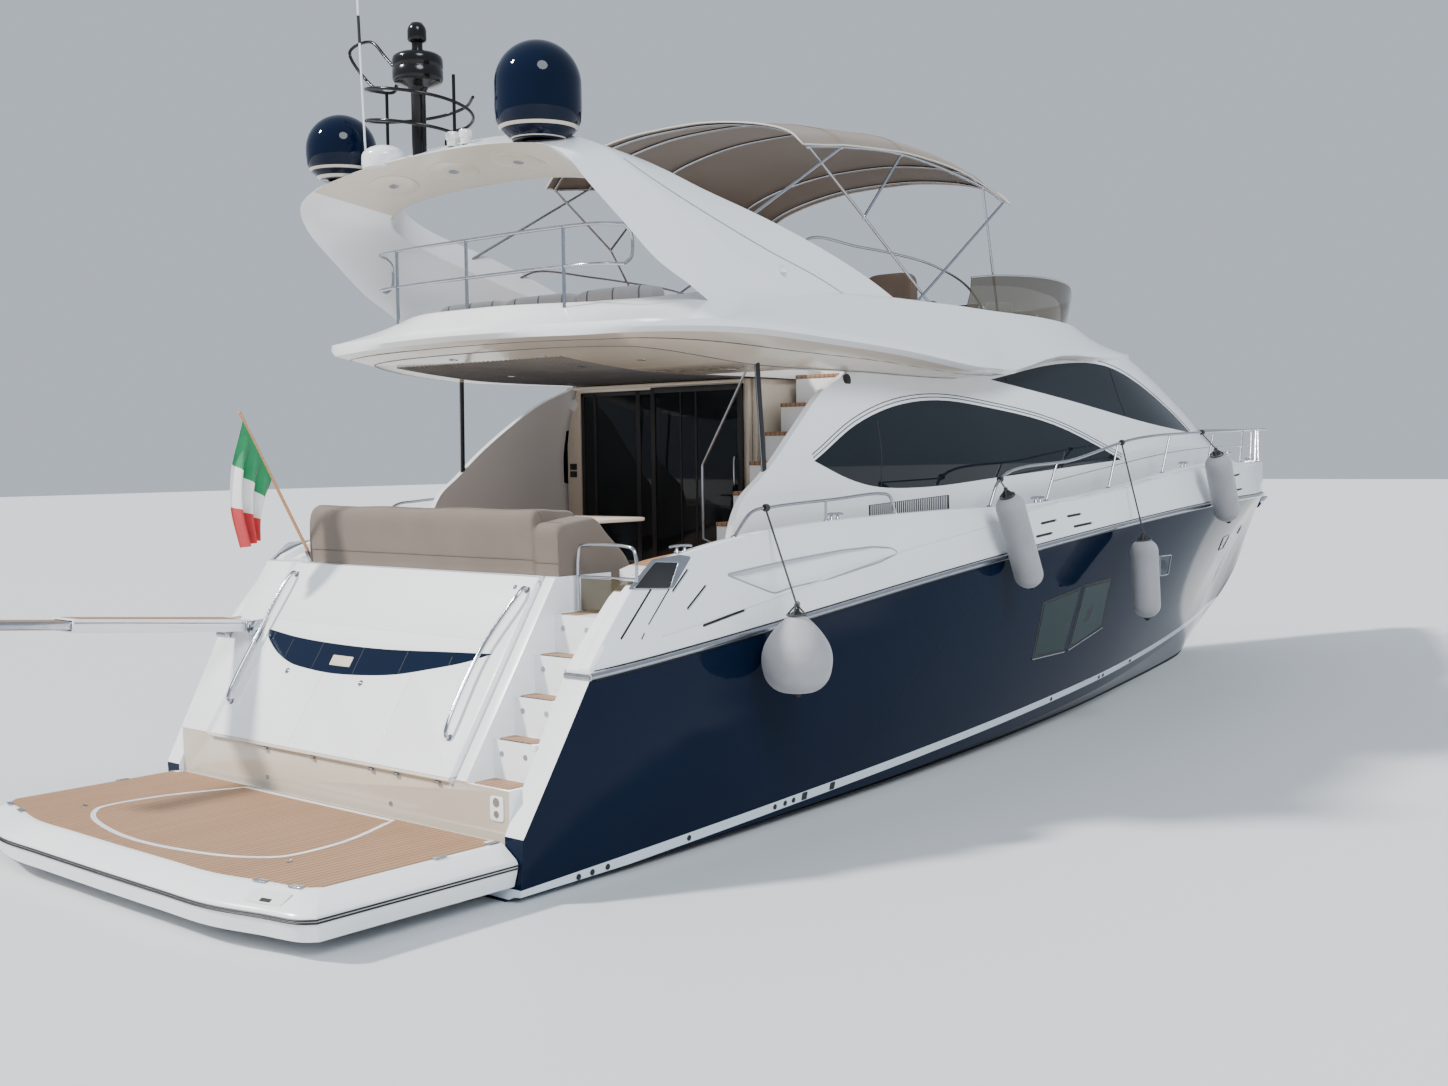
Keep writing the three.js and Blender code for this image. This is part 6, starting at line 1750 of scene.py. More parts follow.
def make_sofa_cover():
    random.seed(7)
    waves = [(random.uniform(0.0035, 0.011), random.uniform(0, 6.28), random.uniform(0.3, 1))
             for _ in range(7)]
    main, flap = (curve_through([(x, 0, z) for x, z in girth], 6) for girth in (SOFA_GIRTH, FLAP_GIRTH))
    rows = []

    def ring(profile, y, sink=0, pull=0):
        out = []
        n = len(profile)
        for k, (x, _, z) in enumerate(profile):
            low = profile[0][2] if k < n / 2 else profile[-1][2]
            h = (z - low) / 500
            ripple = sum(a * math.sin(f * y + p) for f, p, a in waves) * 4.2 * (1 - min(1, h))
            lean = -1 if k < n * 0.42 else 1
            sag = -9 * math.sin((y + 1500) / 3120 * math.pi * 3) ** 2 if 0.3 * n < k < 0.68 * n else 0
            out.append((mix(x, 3450, pull) + lean * ripple, y, mix(z + sag, low + 1, sink)))
        return out
    ends = [(0, 1, 0.02), (0, 0.66, 0.01), (0, 0.33, 0.01), (0, 0.12, 0.012), (14, 0.03, 0.006), (45, 0, 0)]
    rows += [ring(main, 1618 - off, sink, pull) for off, sink, pull in ends]
    rows += [ring(main, y) for y in (*np.arange(1550, -1440, -36), -1470)]
    rows += [ring(main * (1 - share) + flap * share, -1482 - 26 * share) for share in (0.25, 0.6, 1.0)]
    rows += [ring(flap, y) for y in np.arange(-1540, -1750, -36)]
    rows += [ring(flap, -1793 + off, sink, pull) for off, sink, pull in reversed(ends)]
    cover = blank("sofa_cover_cloth", sheet_of(rows))
    solidify(cover, 2.5)
    dressed(cover, CANVAS, stands_for="sofa_cover", crease=70)

    def seam(column, ends_off, aft, up, radius):
        return tube([(row[column][0] - aft, row[column][1], row[column][2] + up)
                     for row in rows[ends_off:-ends_off]], radius, 6)
    lines = [seam(3, 4, 3, 0, 2.4), seam(-4, 4, -3, 0, 2.4), seam(22, 5, 0, 1.5, 2.6),
             seam(37, 5, 0, 1.5, 2.6)]
    seams = add("sofa_cover_seams", lines, CANVAS_DARK, crease=60)


# Cockpit

FLIGHT_X, FLIGHT_RUN, FLIGHT_STEPS = 5900, 260, 7
CEILING_LAMPS = [(4656, -1330), (4808, -389), (5114, 907), (4180, -542), (4100, 597), (5700, -1500),
                 (6300, 100), (6300, 1300)]
UNTURNED = (0, 0, 0)


def by_bulkhead(aft, fore, y0, y1, z0, z1, radius=4, edge=2):
    """Slab placed by its distances fore of the bulkhead and above the cockpit's sole."""
    return slab(BULKHEAD + aft, BULKHEAD + fore, y0, y1, SOLE + z0, SOLE + z1, radius, edge)


def make_bulkhead():
    reach = [(1999, SOLE + 16), (1999, 3450), (1960, 3690), (1860, 4000), (1815, 4100)]
    inner = [(-700, 4100), (-700, SOLE + 16)]
    wall = blank("bulkhead_frame", plate([*reach, *inner], BULKHEAD, BULKHEAD + 60, "yz"))
    opening = rounded([(-610, SOLE + 60), (1780, SOLE + 60), (1780, 4030), (-610, 4030)], 30, 4)
    carved(wall, plate(opening, BULKHEAD - 10, BULKHEAD + 70, "yz"))
    eased(wall, 5, 40, 2)
    dressed(wall, CREAM, stands_for="saloon_bulkhead", crease=30)
    returns = [by_bulkhead(1, 59, 560, 620, 50, 1990, 6, 3),
               box(BULKHEAD + 60, 8000, -760, -700, SOLE + 16, 4100),
               plate([(-y, z) for y, z in reach] + inner, 7960, 8000, "yz")]
    add("bulkhead_returns", returns, CREAM, ease=4)
    add("door_header", by_bulkhead(-60, 1, -650, 1830, 2012, 2045, 10, 6), CREAM)
    pane = by_bulkhead(20, 34, 621, 1779, 61, 1979)
    add("saloon_fixed_pane", pane, DOOR_GLAZE, stands_for="saloon_door_glass")
    posts = ((622, 668), (860, 920), (1540, 1578), (1732, 1778))
    frames = [by_bulkhead(12, 20, a, b, 62, 1978, 3) for a, b in posts]
    frames += [by_bulkhead(12, 20, 622, 1778, a, b, 3) for a, b in ((62, 112), (1935, 1978))]
    add("fixed_pane_frames", frames, BLACK)


def make_saloon_door():
    glass = by_bulkhead(-30, -18, -600, 610, 70, 1960)
    add("saloon_door_pane", glass, DOOR_GLAZE, "saloon_door", "saloon_door")
    leaf = [by_bulkhead(-40, -8, a, b, 30, 2000, 4, 3) for a, b in ((-640, -580), (590, 650))]
    leaf += [by_bulkhead(-39, -9, -640, 650, a, b, 4, 3) for a, b in ((30, 100), (1940, 2000))]
    leaf += [by_bulkhead(-36, -12, y, y + 90, 8.5, 40, 6, 3) for y in (-580, 500)]
    leaf += [by_bulkhead(-36, -31, a, b, 90, 1950, 2, 1) for a, b in ((-12, 12), (208, 226))]
    add("saloon_door_leaf", leaf, BLACK, "saloon_door")
    grip = ((-38, 3000), (-70, 3010), (-76, 3040), (-76, 3260), (-70, 3290), (-38, 3300))
    handle = pipe([(BULKHEAD + out, -560, z) for out, z in grip], 10, 6)
    add("saloon_door_handle", handle, STEEL, "saloon_door", crease=50)


def make_fly_stair():
    rise = (FLY_FLOOR - SOLE) / (FLIGHT_STEPS + 1)
    steps, treads = [(FLIGHT_X, SOLE + GAP)], []
    for i in range(FLIGHT_STEPS):
        x, z = FLIGHT_X + FLIGHT_RUN * i, SOLE + rise * (i + 1)
        steps += [(x, z), (x + FLIGHT_RUN, z)]
        treads.append(slab(x - 6, x + FLIGHT_RUN - 6, -1842, -878, z - 34, z + 7, 14, 5))
    steps += [(FLIGHT_X + FLIGHT_RUN * FLIGHT_STEPS, FLY_FLOOR - rise - 160), (6200, SOLE + GAP)]
    flight = blank("fly_stair_flight", plate(steps, -1840, -880, "xz"))
    eased(flight, 12, 40, 3)
    dressed(flight, WHITE, stands_for="fly_stair", crease=30)
    add("fly_stair_treads", treads, TEAK)


def make_table():
    top = slab(4150, 4950, -1150, 1150, 2722, 2755, 190, 9, 5)
    add("cockpit_table_top", top, TABLE, stands_for="cockpit_table")
    column = [(0, SOLE + GAP), (150, SOLE + GAP), (150, SOLE + 16), (120, SOLE + 24), (58, SOLE + 34),
              (52, 2400), (46, 2404), (46, 2690), (110, 2700), (110, 2723), (0, 2723)]
    legs = [revolved(column, 32, (4550, y, 0)) for y in (-600, 600)]
    add("cockpit_table_legs", [*legs, slab(4512, 4588, -590, 590, 2662, 2718, 10, 6)], STEEL, crease=35)


def make_pillars():
    def strut(side, dx, low, high, radius, sides):
        return rod((5434 + dx, side * 2098, low), (5400 + dx, side * 2040, high), radius, sides)
    for name, s in (("port", 1), ("starboard", -1)):
        post = strut(s, 0, 3110, 4325, 26, 24)
        add(f"pillar_{name}_post", post, BLACK, stands_for=f"pillar_{name}", crease=50)
        edges = [strut(s, dx, 3112, 4322, 3.5, 8) for dx in (-26, 26)]
        add(f"pillar_{name}_edges", edges, STEEL, crease=50)


def make_ceiling():
    section = ((-5, 4), (-5, -4), (-3, -6), (3, -6), (5, -4), (5, 4))
    slat = loft([[(x - ORIGIN, a, ceiling_z(x) + b) for a, b in section]
                 for x in np.linspace(4250, 6750, 26)])
    repeated("ceiling_slats", slat, [((ORIGIN, y, 0), UNTURNED) for y in range(-700, 1700, 62)], GROOVE)
    inner, outer = (np.array(ring) for ring in fly_sections()[:2])
    panels = [tube([(x, y, z - 1) for x, y, z in mix(inner, outer, share)], 4, 6, closed=True)
              for share in (0.02, 0.62)]
    add("ceiling_panel_lines", panels, GROOVE, crease=60)
    lamp = revolved([(0, 2), (44, 2), (44, -3), (38, -7), (30, -5), (0, -5)], 26)
    lens = revolved([(0, 0), (27, 0), (27, -6), (0, -8)], 22)
    spots = [((x, y, ceiling_z(x)), UNTURNED) for x, y in CEILING_LAMPS]
    repeated("ceiling_lights", lamp, spots, STEEL)
    repeated("ceiling_lenses", lens, spots, LAMP)


def make_cockpit():
    make_bulkhead()
    make_saloon_door()
    make_fly_stair()
    make_table()
    make_pillars()
    make_ceiling()
    speaker = [disc((BULKHEAD, 1880, 3900), AFT, 70, 8), disc((BULKHEAD - 4, 1880, 3900), AFT, 26, 8)]
    add("cockpit_speaker", speaker, ANTISLIP)
    sockets = [slab(BULKHEAD - 6, BULKHEAD + 2, 1850, 1960, z, z + 70, 4, 2) for z in (3080, 3165)]
    add("cockpit_sockets", sockets, BLACK)


# Soft seats, consoles and the flybridge's screen

DASH = (10500, 4900), (10700, 5080)
SCREEN_HEIGHTS = [330, 400, 470, 500, 530, 560, 580, 590, 590]


def power(value, exponent):
    return math.copysign(abs(value) ** exponent, value)


def pillow_ring(x0, x1, y0, y1, square, inset=0.0, share=1.0):
    """Rounded square in plan, 56 places round."""
    x, y, half_x, half_y = mix(x0, x1, 0.5), mix(y0, y1, 0.5), (x1 - x0) / 2 - inset, (y1 - y0) / 2 - inset
    return [(x + half_x * share * power(math.cos(a), square), y + half_y * share * power(math.sin(a), square))
            for a in round_turn(56)]


def cushion(x0, x1, y0, y1, z0, z1):
    """Stuffed cushion: a box whose edges are round and whose faces swell."""
    rings = []
    for i in range(1, 24):
        a = math.pi * (i / 24 - 0.5)
        z = mix(z0, z1, 0.5) + (z1 - z0) / 2 * power(math.sin(a), 0.42)
        plan = pillow_ring(x0, x1, y0, y1, 0.22, share=power(math.cos(a), 0.42))
        rings.append([(x, y, z) for x, y in plan])
    return loft(rings)


def cushion_piping(x0, x1, y0, y1, z0, z1):
    plan = pillow_ring(x0, x1, y0, y1, 0.22, inset=2)
    return tube([(x, y, mix(z0, z1, 0.5)) for x, y in plan], 5, 8, closed=True)


def seat(name, boxes, finish, trim, stands_for=()):
    """A set of cushions, each a padded piece of its own, with the piping round them."""
    for i, b in enumerate(boxes):
        nodes = stands_for if i == 0 else ()
        piece = add(f"{name}_{i + 1}", cushion(*b), finish, stands_for=nodes, crease=60)
    add(f"{name}_piping", [cushion_piping(*b) for b in boxes], trim, crease=60)


def split(low, high, count):
    """Equal shares of a length, 6 mm apart."""
    step = (high - low) / count
    return [(low + i * step + 3, low + (i + 1) * step - 3) for i in range(count)]


def make_fly_furniture():
    add("fly_sofa_base", slab(4640, 5750, -1480, 1480, FLY_FLOOR + GAP, 4592, 60, 14, 4), JOINERY)
    thirds = split(-1478, 1478, 3)
    seats = [(4846, 5748, a, b, 4584, 4704) for a, b in thirds]
    backs = [(4642, 4842, a, b, 4588, 4853) for a, b in thirds]
    seat("fly_sofa_cushion", seats + backs, STRIPED, CUSHION, "fly_sofa")
    post = [(0, FLY_FLOOR + GAP), (170, FLY_FLOOR + GAP), (170, FLY_FLOOR + 14), (60, FLY_FLOOR + 30),
            (55, 4640), (0, 4640)]
    places = ((-1200, -560), (-540, 100))
    posts = [revolved(post, 32, (9540, (a + b) / 2, 0)) for a, b in places]
    add("helm_seat_posts", posts, STEEL, crease=40)
    covers = [(9255, 9850, a, b, 4630, 4830) for a, b in places]
    covers += [(9150, 9300, a, b, 4760, 5330) for a, b in places]
    seat("helm_seat_cover", covers, CANVAS_DARK, CANVAS, "fly_helm_seat")
    make_fly_console()
    make_fly_screen()


def make_fly_console():
    (low_x, low_z), (high_x, high_z) = DASH
    outline = [(low_x, FLY_FLOOR + GAP), (low_x, low_z), (high_x, high_z), (11300, 5120),
               (11300, FLY_FLOOR + GAP)]
    console = blank("fly_console_moulding", plate(outline, -1250, 150, "xz"))
    eased(console, 28, 30, 4)
    dressed(console, WHITE, stands_for="fly_console", crease=30)

    def on_dash(y, share, lift):
        return mix(low_x, high_x, share) - 0.669 * lift, y, mix(low_z, high_z, share) + 0.743 * lift
    screens = []
    for a, b in ((-1150, -800), (-300, 50)):
        ring = rounded([(a, 0.15), (b, 0.15), (b, 0.9), (a, 0.9)], 0.03, 2)
        screens.append(loft([[on_dash(y, share, lift) for y, share in ring] for lift in (-4, 8)]))
    add("helm_screens", screens, GLASS)
    wheel = [hoop(190, 190, 13, 48, 12, upright=True)]
    for k in range(3):
        a = math.pi / 2 + k * 2 * math.pi / 3
        wheel.append(pipe([(22, 0, 0), (8, 90 * math.cos(a), 90 * math.sin(a)),
                           (0, 186 * math.cos(a), 186 * math.sin(a))], 8, 5))
    wheel.append(rod((0, 0, 0), (110, 0, 0), 28, 20))
    wheel = [moved(turned_about(part, "Y", 32), 10415, -550, 4960) for part in wheel]
    add("helm_wheel", wheel, BLACK, crease=50)


def make_fly_screen():
    rows = []
    for i, (row, h) in enumerate(zip(FLY_LINES[-9:], SCREEN_HEIGHTS)):
        rows.append([mix(row[3], row[6], 0.5), -mix(row[4], row[7], 0.5), row[5], 0.35 * h * i / 9,
                     -0.2 * h, h])
    rows = np.array(rows, float)
    rows[-1, [1, 4]] = 0
    mirror = rows[:-1][::-1] * [1, -1, 1, 1, -1, 1]
    path = curve_through(np.vstack([rows, mirror]), 6)
    rings, tops = [], []
    for i, (x, y, low, ox, oy, h) in enumerate(path):
        a, b = path[max(i - 1, 0)], path[min(i + 1, len(path) - 1)]
        t = np.array([b[0] - a[0], b[1] - a[1]])
        t /= np.linalg.norm(t)
        inward = np.array([-t[1], t[0], 0]) * 9
        foot, top = np.array([x, y, low - 4]), np.array([x + ox, y + oy, low + h])
        bulge = mix(foot, top, 0.5) - inward * 2.2
        rings.append([foot, bulge, top, top + inward, bulge + inward, foot + inward])
        tops.append(top + inward * 0.5)
    add("fly_screen_pane", loft(rings), SMOKE, stands_for="fly_screen", crease=40)
    clips = [tube(tops, 9, 10)]
    for i in range(4, len(path) - 3, 8):
        x, y, low = path[i][:3]
        clips.append(slab(x - 22, x + 22, y - 22, y + 22, low - 4, low + 44, 10, 6))
    add("fly_screen_trim", clips, STEEL, crease=45)


def make_saloon():
    floor = slab(BULKHEAD + 200, SALOON_FORE - GAP, -1999.5, 1999.5, SOLE + GAP, SOLE + 15.7, 4, 1)
    add("saloon_floor", floor, JOINERY, stands_for="saloon_interior")
    low = SOLE + 14
    bases = [slab(8300, 11000, -1940, -1180, low, 2330, 40, 12),
             slab(11450, 11950, -1340, -460, low, 2480, 40, 12),
             slab(11000, 11030, -1940, -1180, low, 2620, 8, 6)]
    add("saloon_sofa_base", bases, JOINERY)
    quarters = split(8490, 10990, 4)
    boxes = [(a, b, -1770, -1180, 2322, 2482) for a, b in quarters]
    boxes += [(a, b, -1940, -1765, 2380, 2860) for a, b in quarters]
    boxes += [(8300, 8485, -1940, -1180, 2300, 2760), (11450, 11950, -1350, -450, 2470, 2700),
              (11350, 11520, -1350, -450, 2500, 3250)]
    seat("saloon_cushion", boxes, LEATHER, CANVAS)
    outline = [(12350, low), (12350, 2750), (12500, 3050), (13150, 3120), (13150, low)]
    helm = blank("saloon_helm", plate(outline, -1500, -250, "xz"))
    eased(helm, 24, 30, 3)
    dressed(helm, CANVAS_DARK, crease=30)


# Fenders

# Name, station and height of the middle, radius, neck's share of it, length, lean in degrees, rail and the
# line's station on it
FENDERS = [("pear", 4750, 1650, 300, 0.55, 680, 0, "side", 5000),
           ("mid", 8575, 2395, 150, 1, 1080, -27, "bow", 8870),
           ("fore", 11420, 1818, 160, 1, 930, -6, "bow", 11700),
           ("bow", 13744, 2816, 165, 1, 940, -24, "bow", 14240)]
# Share of the radius and of the length, from the pear's foot to its neck
PEAR_SHAPE = [(0, 0), (0.55, 0.035), (0.87, 0.165), (1, 0.41), (0.93, 0.585), (0.72, 0.745), (0.46, 0.875),
              (0.26, 0.95), (0.13, 0.995), (0, 1)]
LINE = 18


def fender_profile(radius, neck, length):
    """Radii and heights of a pear, or of a long fender with round ends where its neck is as wide as it is."""
    low, high = -length / 2, length / 2
    if neck < 1:
        fine = curve_through([(k * radius, 0, low + t * length) for k, t in PEAR_SHAPE], 6)
        return [(max(r, 0), h) for r, _, h in fine]
    turn = np.linspace(0, math.pi / 2, 14)
    end = [(radius * math.sin(a), radius * 0.95 * (1 - math.cos(a))) for a in turn]
    middle = [(radius, mix(low + radius, high - radius, t)) for t in (0.1, 0.3, 0.5, 0.7, 0.9)]
    return [(r, low + h) for r, h in end] + middle + [(r, high - h) for r, h in reversed(end)]


def fender_harness(radius, waist, high):
    """Rope ring round the fender's head, four strands up from it and their knot."""
    level = high - 0.06 * radius
    parts = [moved(hoop(0.5 * waist, 0.5 * waist, 8, 31), z=level)]
    for a in (0.3, 1.9, 3.44, 5.04):
        strand = [(0.5 * waist, level), (0.26 * waist, high + 26), (0, high + 70)]
        parts.append(pipe([(r * math.cos(a), r * math.sin(a), h) for r, h in strand], 8, 5))
    knot = [(0, high + 48), (17, high + 52), (22, high + 66), (17, high + 80), (0, high + 84)]
    return [*parts, revolved(knot, 16)]


def make_fender(name, x, z, radius, neck, length, lean, rail, rail_radius, station):
    y = -(hull_at(x)[3] + radius + 40)
    low, high = -length / 2, length / 2

    def hung(solid):
        return turned_about(moved(solid, x, y, z), "Y", lean, (x, y, z))
    body = hung(revolved(fender_profile(radius, neck, length), 56))
    add(f"fender_{name}_body", body, KNIT, stands_for=f"fender_{name}", crease=70)
    head = [(0, -30), (52, -26), (56, -8), (40, 6), (24, 14), (22, 34), (0, 36)]
    foot = [(0, -34), (24, -32), (28, -12), (44, -4), (50, 12), (0, 26)]
    caps = [hung(revolved([(r, end + h) for r, h in rows], 28)) for rows, end in ((head, high), (foot, low))]
    add(f"fender_{name}_caps", caps, BLACK, crease=40)
    strands = [hung(part) for part in fender_harness(radius, radius * neck, high)]
    harness = add(f"fender_{name}_harness", strands, ROPE, crease=60)
    tilt, up = math.radians(lean), high + 70
    eye = np.array([x + up * math.sin(tilt), y, z + up * math.cos(tilt)])
    end = at_station(rail, station)
    end = np.array([end[0], -end[1], end[2] - rail_radius])
    path = [mix(end, eye, t) for t in np.linspace(0, 1, 24)]
    line = add(f"fender_{name}_line", tube(path, LINE / 2, 12), ROPE, crease=60)
    coil = hoop(26, 26, 8, 27, upright=True)
    turns = [moved(turned_about(coil, "Z", 8 * k), end[0] + 15 * k, end[1], end[2] + 16) for k in (-1, 0, 1)]
    hitch = add(f"fender_{name}_hitch", turns, ROPE, crease=60)
    metres = [tuple((np.array(p) - [ORIGIN, 0, 0]) / 1000) for p in path]


def make_fenders():
    rails = {"bow": (curve_through(bow_rail_path(), 60), 17),
             "side": (curve_through(side_rail_path(), 60), 15)}
    for name, x, z, radius, neck, length, lean, rail, station in FENDERS:
        make_fender(name, x, z, radius, neck, length, lean, *rails[rail], station)


# Windows and fittings of the ship's sides

HULL_PANES = [[(9748, 1653), (10679, 1759), (10770, 974), (9875, 988)],
              [(10738, 1773), (11490, 1798), (11806, 1159), (10882, 977)]]
PORTLIGHTS = [[(12869, 1974), (13342, 1961), (13652, 1688), (13302, 1690)],
              [(16000, 2040), (16500, 2050), (16750, 1830), (16350, 1830)],
              [(18750, 2060), (18930, 2066), (19010, 1940), (18850, 1936)]]
STRIPE_FITTINGS = [2700, 2850, 3020, 3997, 5180, 5332, 5460, 10863, 12451, 12606, 13762]
# Ends and width of the dark lines on the quarters, and the small window between them
QUARTER_LINES = [((3376, 1989), (3691, 2283), 9), ((3084, 1900), (3516, 2315), 16),
                 ((3282, 1881), (3322, 1928), 9)]
QUARTER_SURROUND = [(3215, 2275), (3499, 2494), (3827, 2517), (3953, 2493), (3699, 2252)]
QUARTER_PANE = [(3272, 2281), (3522, 2477), (3791, 2457), (3657, 2255)]
VENT_X, VENT_Z = 7729, 2759
PANE_JOINTS = [((7215, 2990), (7235, 3640)), ((9966, 4055), (9960, 4170)), ((12640, 3750), (12560, 4320))]


def stripe_height(x):
    """Height of the white stripe's middle at a station."""
    share = (x - ORIGIN) / 1000 - STRIPE_FROM
    return 1000 * (STRIPE_LOW + STRIPE_RISE * share + STRIPE_DEEP / 2)


def make_hull_windows(chrome):
    frames, panes = [], []
    for side in SIDES:
        for outline in HULL_PANES:
            frames.append(side_patch(rounded(outline, 26, 3), side, -3, 3, 0.01, 3))
            panes.append(side_patch(rounded(drawn_in(outline, 62), 20, 3), side, -2, 6, 0.01, 3))
            chrome.append(tube(wrapped([outline[3], outline[2]], side, 7, 8)[:9], 8, 8))
        for outline in PORTLIGHTS:
            ring = rounded(outline, 40, 3)
            chrome.append(side_frame(ring, side, 20, -4, 12))
            panes.append(side_patch(ring, side, -3, 3, 0.02, 2))
    add("hull_window_frames", frames, BLACK, crease=15)
    add("hull_window_panes", panes, GREEN_GLASS, crease=15)


def make_side_fittings():
    chrome, black, creases = [], [], []
    for side in SIDES:
        for x in STRIPE_FITTINGS:
            z = stripe_height(x)
            black.append(disc((x, side * (skin_y(x, z) + 1), z), (0, side, 0), 24, 6))
        for x in (5631, 6076):
            z = stripe_height(x)
            square = rounded([(x - 40, z - 36), (x + 40, z - 36), (x + 40, z + 36), (x - 40, z + 36)], 10, 2)
            black.append(side_patch(square, side, -2, 5, 0.02, 1))
        black += [stroke(ends, side, width, -3, 2) for *ends, width in QUARTER_LINES]
        surround, pane = (rounded(outline, 24, 3) for outline in (QUARTER_SURROUND, QUARTER_PANE))
        chrome += [side_patch(surround, side, -2, 5, 0.01, 2), side_frame(pane, side, 12, 4, 10)]
        black.append(side_patch(pane, side, 2, 7, 0.02, 2))
        chrome.append(disc((5188, side * (skin_y(5188, 2007) - 2), 2007), (0, side, 0.1), 30, 12))
        fold = [(x, float(fold_at(x)[0])) for x in stations(3500, 13800)]
        creases.append(tube([(x, side * (skin_y(x, z) + 0.5), z) for x, z in fold], 6, 8))
        for x in (3920, 6000, 9700, 13600, 17200, 20100):
            y, z, _ = deck_at(x)
            chrome.append(cleat(x, side * (y - 78 if x < 20000 else y - 120), z))
    make_hull_windows(chrome)
    add("side_chrome", chrome, STEEL, crease=45)
    add("side_dark_fittings", black, BLACK, crease=45)
    add("side_creases", creases, WHITE, crease=60)


def make_vents():
    slat = slab(-5, 5, -9, 9, -74, 74, 3, 2)
    spots = [((x, s * (house_y(x, VENT_Z) + 3), VENT_Z + 0.042 * (x - VENT_X)), (0, 0, 0.5 * s))
             for s in SIDES for x in range(7036, 8430, 34)]
    repeated("vent_slats", slat, spots, ANTISLIP)
    backs = [turned_about(slab(7010, 8448, s * 2126 - 10, s * 2126 + 6, 2680, 2838, 6, 3), "Y", -2.4,
                          (VENT_X, 0, VENT_Z)) for s in SIDES]
    add("vent_backs", backs, BLACK)


def make_window_seals():
    def on_house(run, out, side):
        return tube([(x, side * (house_y(x, z) + out), z) for x, z in run], 5, 6)
    seals = []
    for outline, count, offsets in ((LOWER_SMOOTH, 30, (32, 66)), (UPPER_SMOOTH, 20, (40,))):
        run = np.array(outline[:count + 1])
        way = np.gradient(run, axis=0)
        normal = np.stack([-way[:, 1], way[:, 0]], 1) / np.hypot(*way.T)[:, None]
        seals += [on_house(run + normal * off, 1, s) for off in offsets for s in SIDES]
    for a, b in PANE_JOINTS:
        run = [mix(np.array(a, float), np.array(b, float), t) for t in np.linspace(0, 1, 9)]
        seals += [on_house(run, -4, s) for s in SIDES]
    add("window_seals", seals, BLACK, crease=60)


def make_side_details():
    make_side_fittings()
    make_vents()
    make_window_seals()
    speakers = []
    for s in SIDES:
        y = s * (house_y(6905, 4035) + 1)
        speakers += [disc((6905, y, 4035), (0, s, 0.1), 60, 7),
                     disc((6905, y + 6 * s, 4035), (0, s, 0.1), 22, 6)]
    add("side_speakers", speakers, BLACK, crease=40)
    add("fly_aft_light", disc((3705, -253, 4600), (-1, 0, 0.45), 34, 10), STEEL, crease=40)
    camera = revolved([(0, -8), (46, -8), (46, 10), (34, 26), (30, 34), (0, 60)], 26)
    add("arch_cameras", [moved(camera, 5710, s * 2120, 4975) for s in SIDES], WHITE, crease=45)


def cleat(x, y, z):
    arc = ((-130, 44), (-90, 50), (0, 52), (90, 50), (130, 44))
    post = [(0, -6), (26, -6), (24, 4), (13, 16), (13, 50), (0, 50)]
    return merged(pipe([(x + dx, y, z + dz) for dx, dz in arc], 11, 5),
                  *[revolved(post, 18, (x + dx, y, z)) for dx in (-48, 48)])


# Foredeck gear


def foredeck_height(x):
    _, z, drop = deck_at(x)
    return z - drop + 20


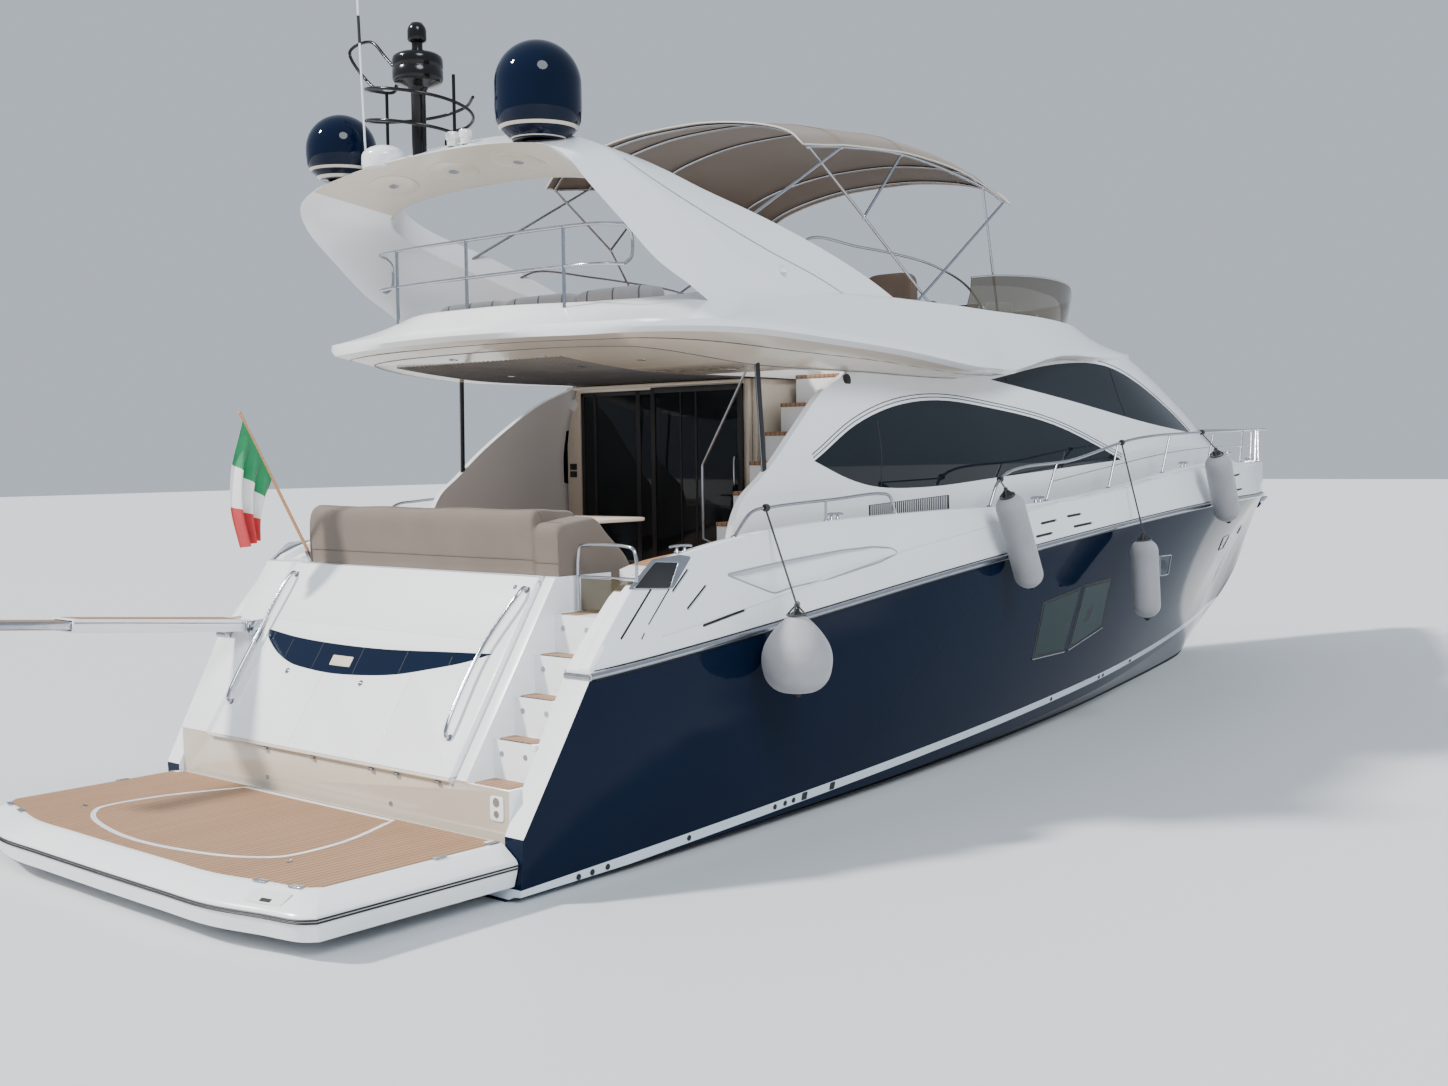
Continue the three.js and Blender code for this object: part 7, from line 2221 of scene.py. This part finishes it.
def make_windlass():
    x, z = 20500, foredeck_height(20500)
    profile = [(0, 0), (118, 0), (118, 30), (108, 42), (74, 56), (62, 78), (56, 110), (56, 150), (64, 172),
               (92, 184), (97, 198), (90, 212), (40, 220), (0, 222)]
    drum = revolved(profile, 40, (x, 0, z + 30))
    base = slab(x - 200, x + 160, -120, 120, z - 6, z + 38, 50, 12, 4)
    lugs = [disc((x + 62 * math.cos(a), 62 * math.sin(a), z + 128), (math.cos(a), math.sin(a), 0), 14, 12, 12)
            for a in round_turn(8)]
    link = hoop(30, 17, 6.5, 16)
    links = []
    for k in range(16):
        at = x + 130 + k * 58
        height = mix(z + 70, foredeck_height(min(at, STEM)) + 20, min(1, k / 4))
        links.append(moved(turned_about(link, "X", 90 * (k % 2)), at, 0, height))
    links = [one for one in links if one[0][:, 0].max() < STEM - 330]
    add("windlass_drum", [drum, base, *lugs, *links], STEEL, stands_for="windlass", crease=40)


def make_anchor():
    z = 2560
    arm = [(STEM + 80, z - 130), (STEM + 140, z - 160), (STEM + 310, z + 240), (STEM + 230, z + 250)]
    crown = plate(rounded(arm, 18, 3), -26, 26, "xz", 6)
    shank = slab(STEM - 240, STEM + 300, -17, 17, z + 182, z + 238, 8, 6)
    flukes = []
    for s in SIDES:
        blade = plate(rounded([(0, 0), (0, s * 170), (-230, s * 40), (-230, 0)], 14, 3), 0, 26, "xy", 7)
        flukes.append(moved(turned_about(blade, "Y", -62), STEM + 150, s * 20, z - 120))
    roller = rod((STEM + 60, -30, z + 165), (STEM + 60, 30, z + 165), 26, 24)
    add("anchor_forging", [crown, shank, *flukes, roller], STEEL, stands_for="anchor", crease=35)


def make_fore_hatch():
    x, top = 19150, foredeck_height(19150) + 45
    lid = slab(x, x + 600, -300, 300, top - 46, top, 90, 10, 4)
    add("fore_hatch_frame", lid, WHITE, "fore_hatch", "fore_hatch")
    pane = slab(x + 55, x + 545, -245, 245, top - 6, top + 3, 70, 3, 2)
    add("fore_hatch_glass", pane, GLASS, "fore_hatch")
    tabs = [slab(x - 4, x + 26, y - 40, y + 40, top - 30, top + 8, 8, 5) for y in (-190, 190)]
    add("fore_hatch_hinges", tabs, STEEL, "fore_hatch")


for make in (
    make_hull, make_running_gear_seats, make_strake, make_topsides, make_house, make_wing_plugs,
    make_flybridge, make_arch, make_mast_gear, make_canopy, make_canopy_frame, make_rails,
    make_stern_moulding, make_garage_door, make_platform, make_gangway, make_ensign, make_sofa_cover,
    make_cockpit, make_fly_furniture, make_saloon, make_fenders, make_side_details, make_windlass,
    make_anchor, make_fore_hatch,
):
    make()

# CAD nodes that keep their own shape

KEPT = {"propeller": BRONZE, "rudder": BRONZE, "trim_tab": STEEL, "engine": ENGINE}
for node, finish in KEPT.items():
    for side in ("port", "starboard"):
        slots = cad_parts[f"{node}_{side}"].data.materials
        slots.clear()
        slots.append(finish.material)
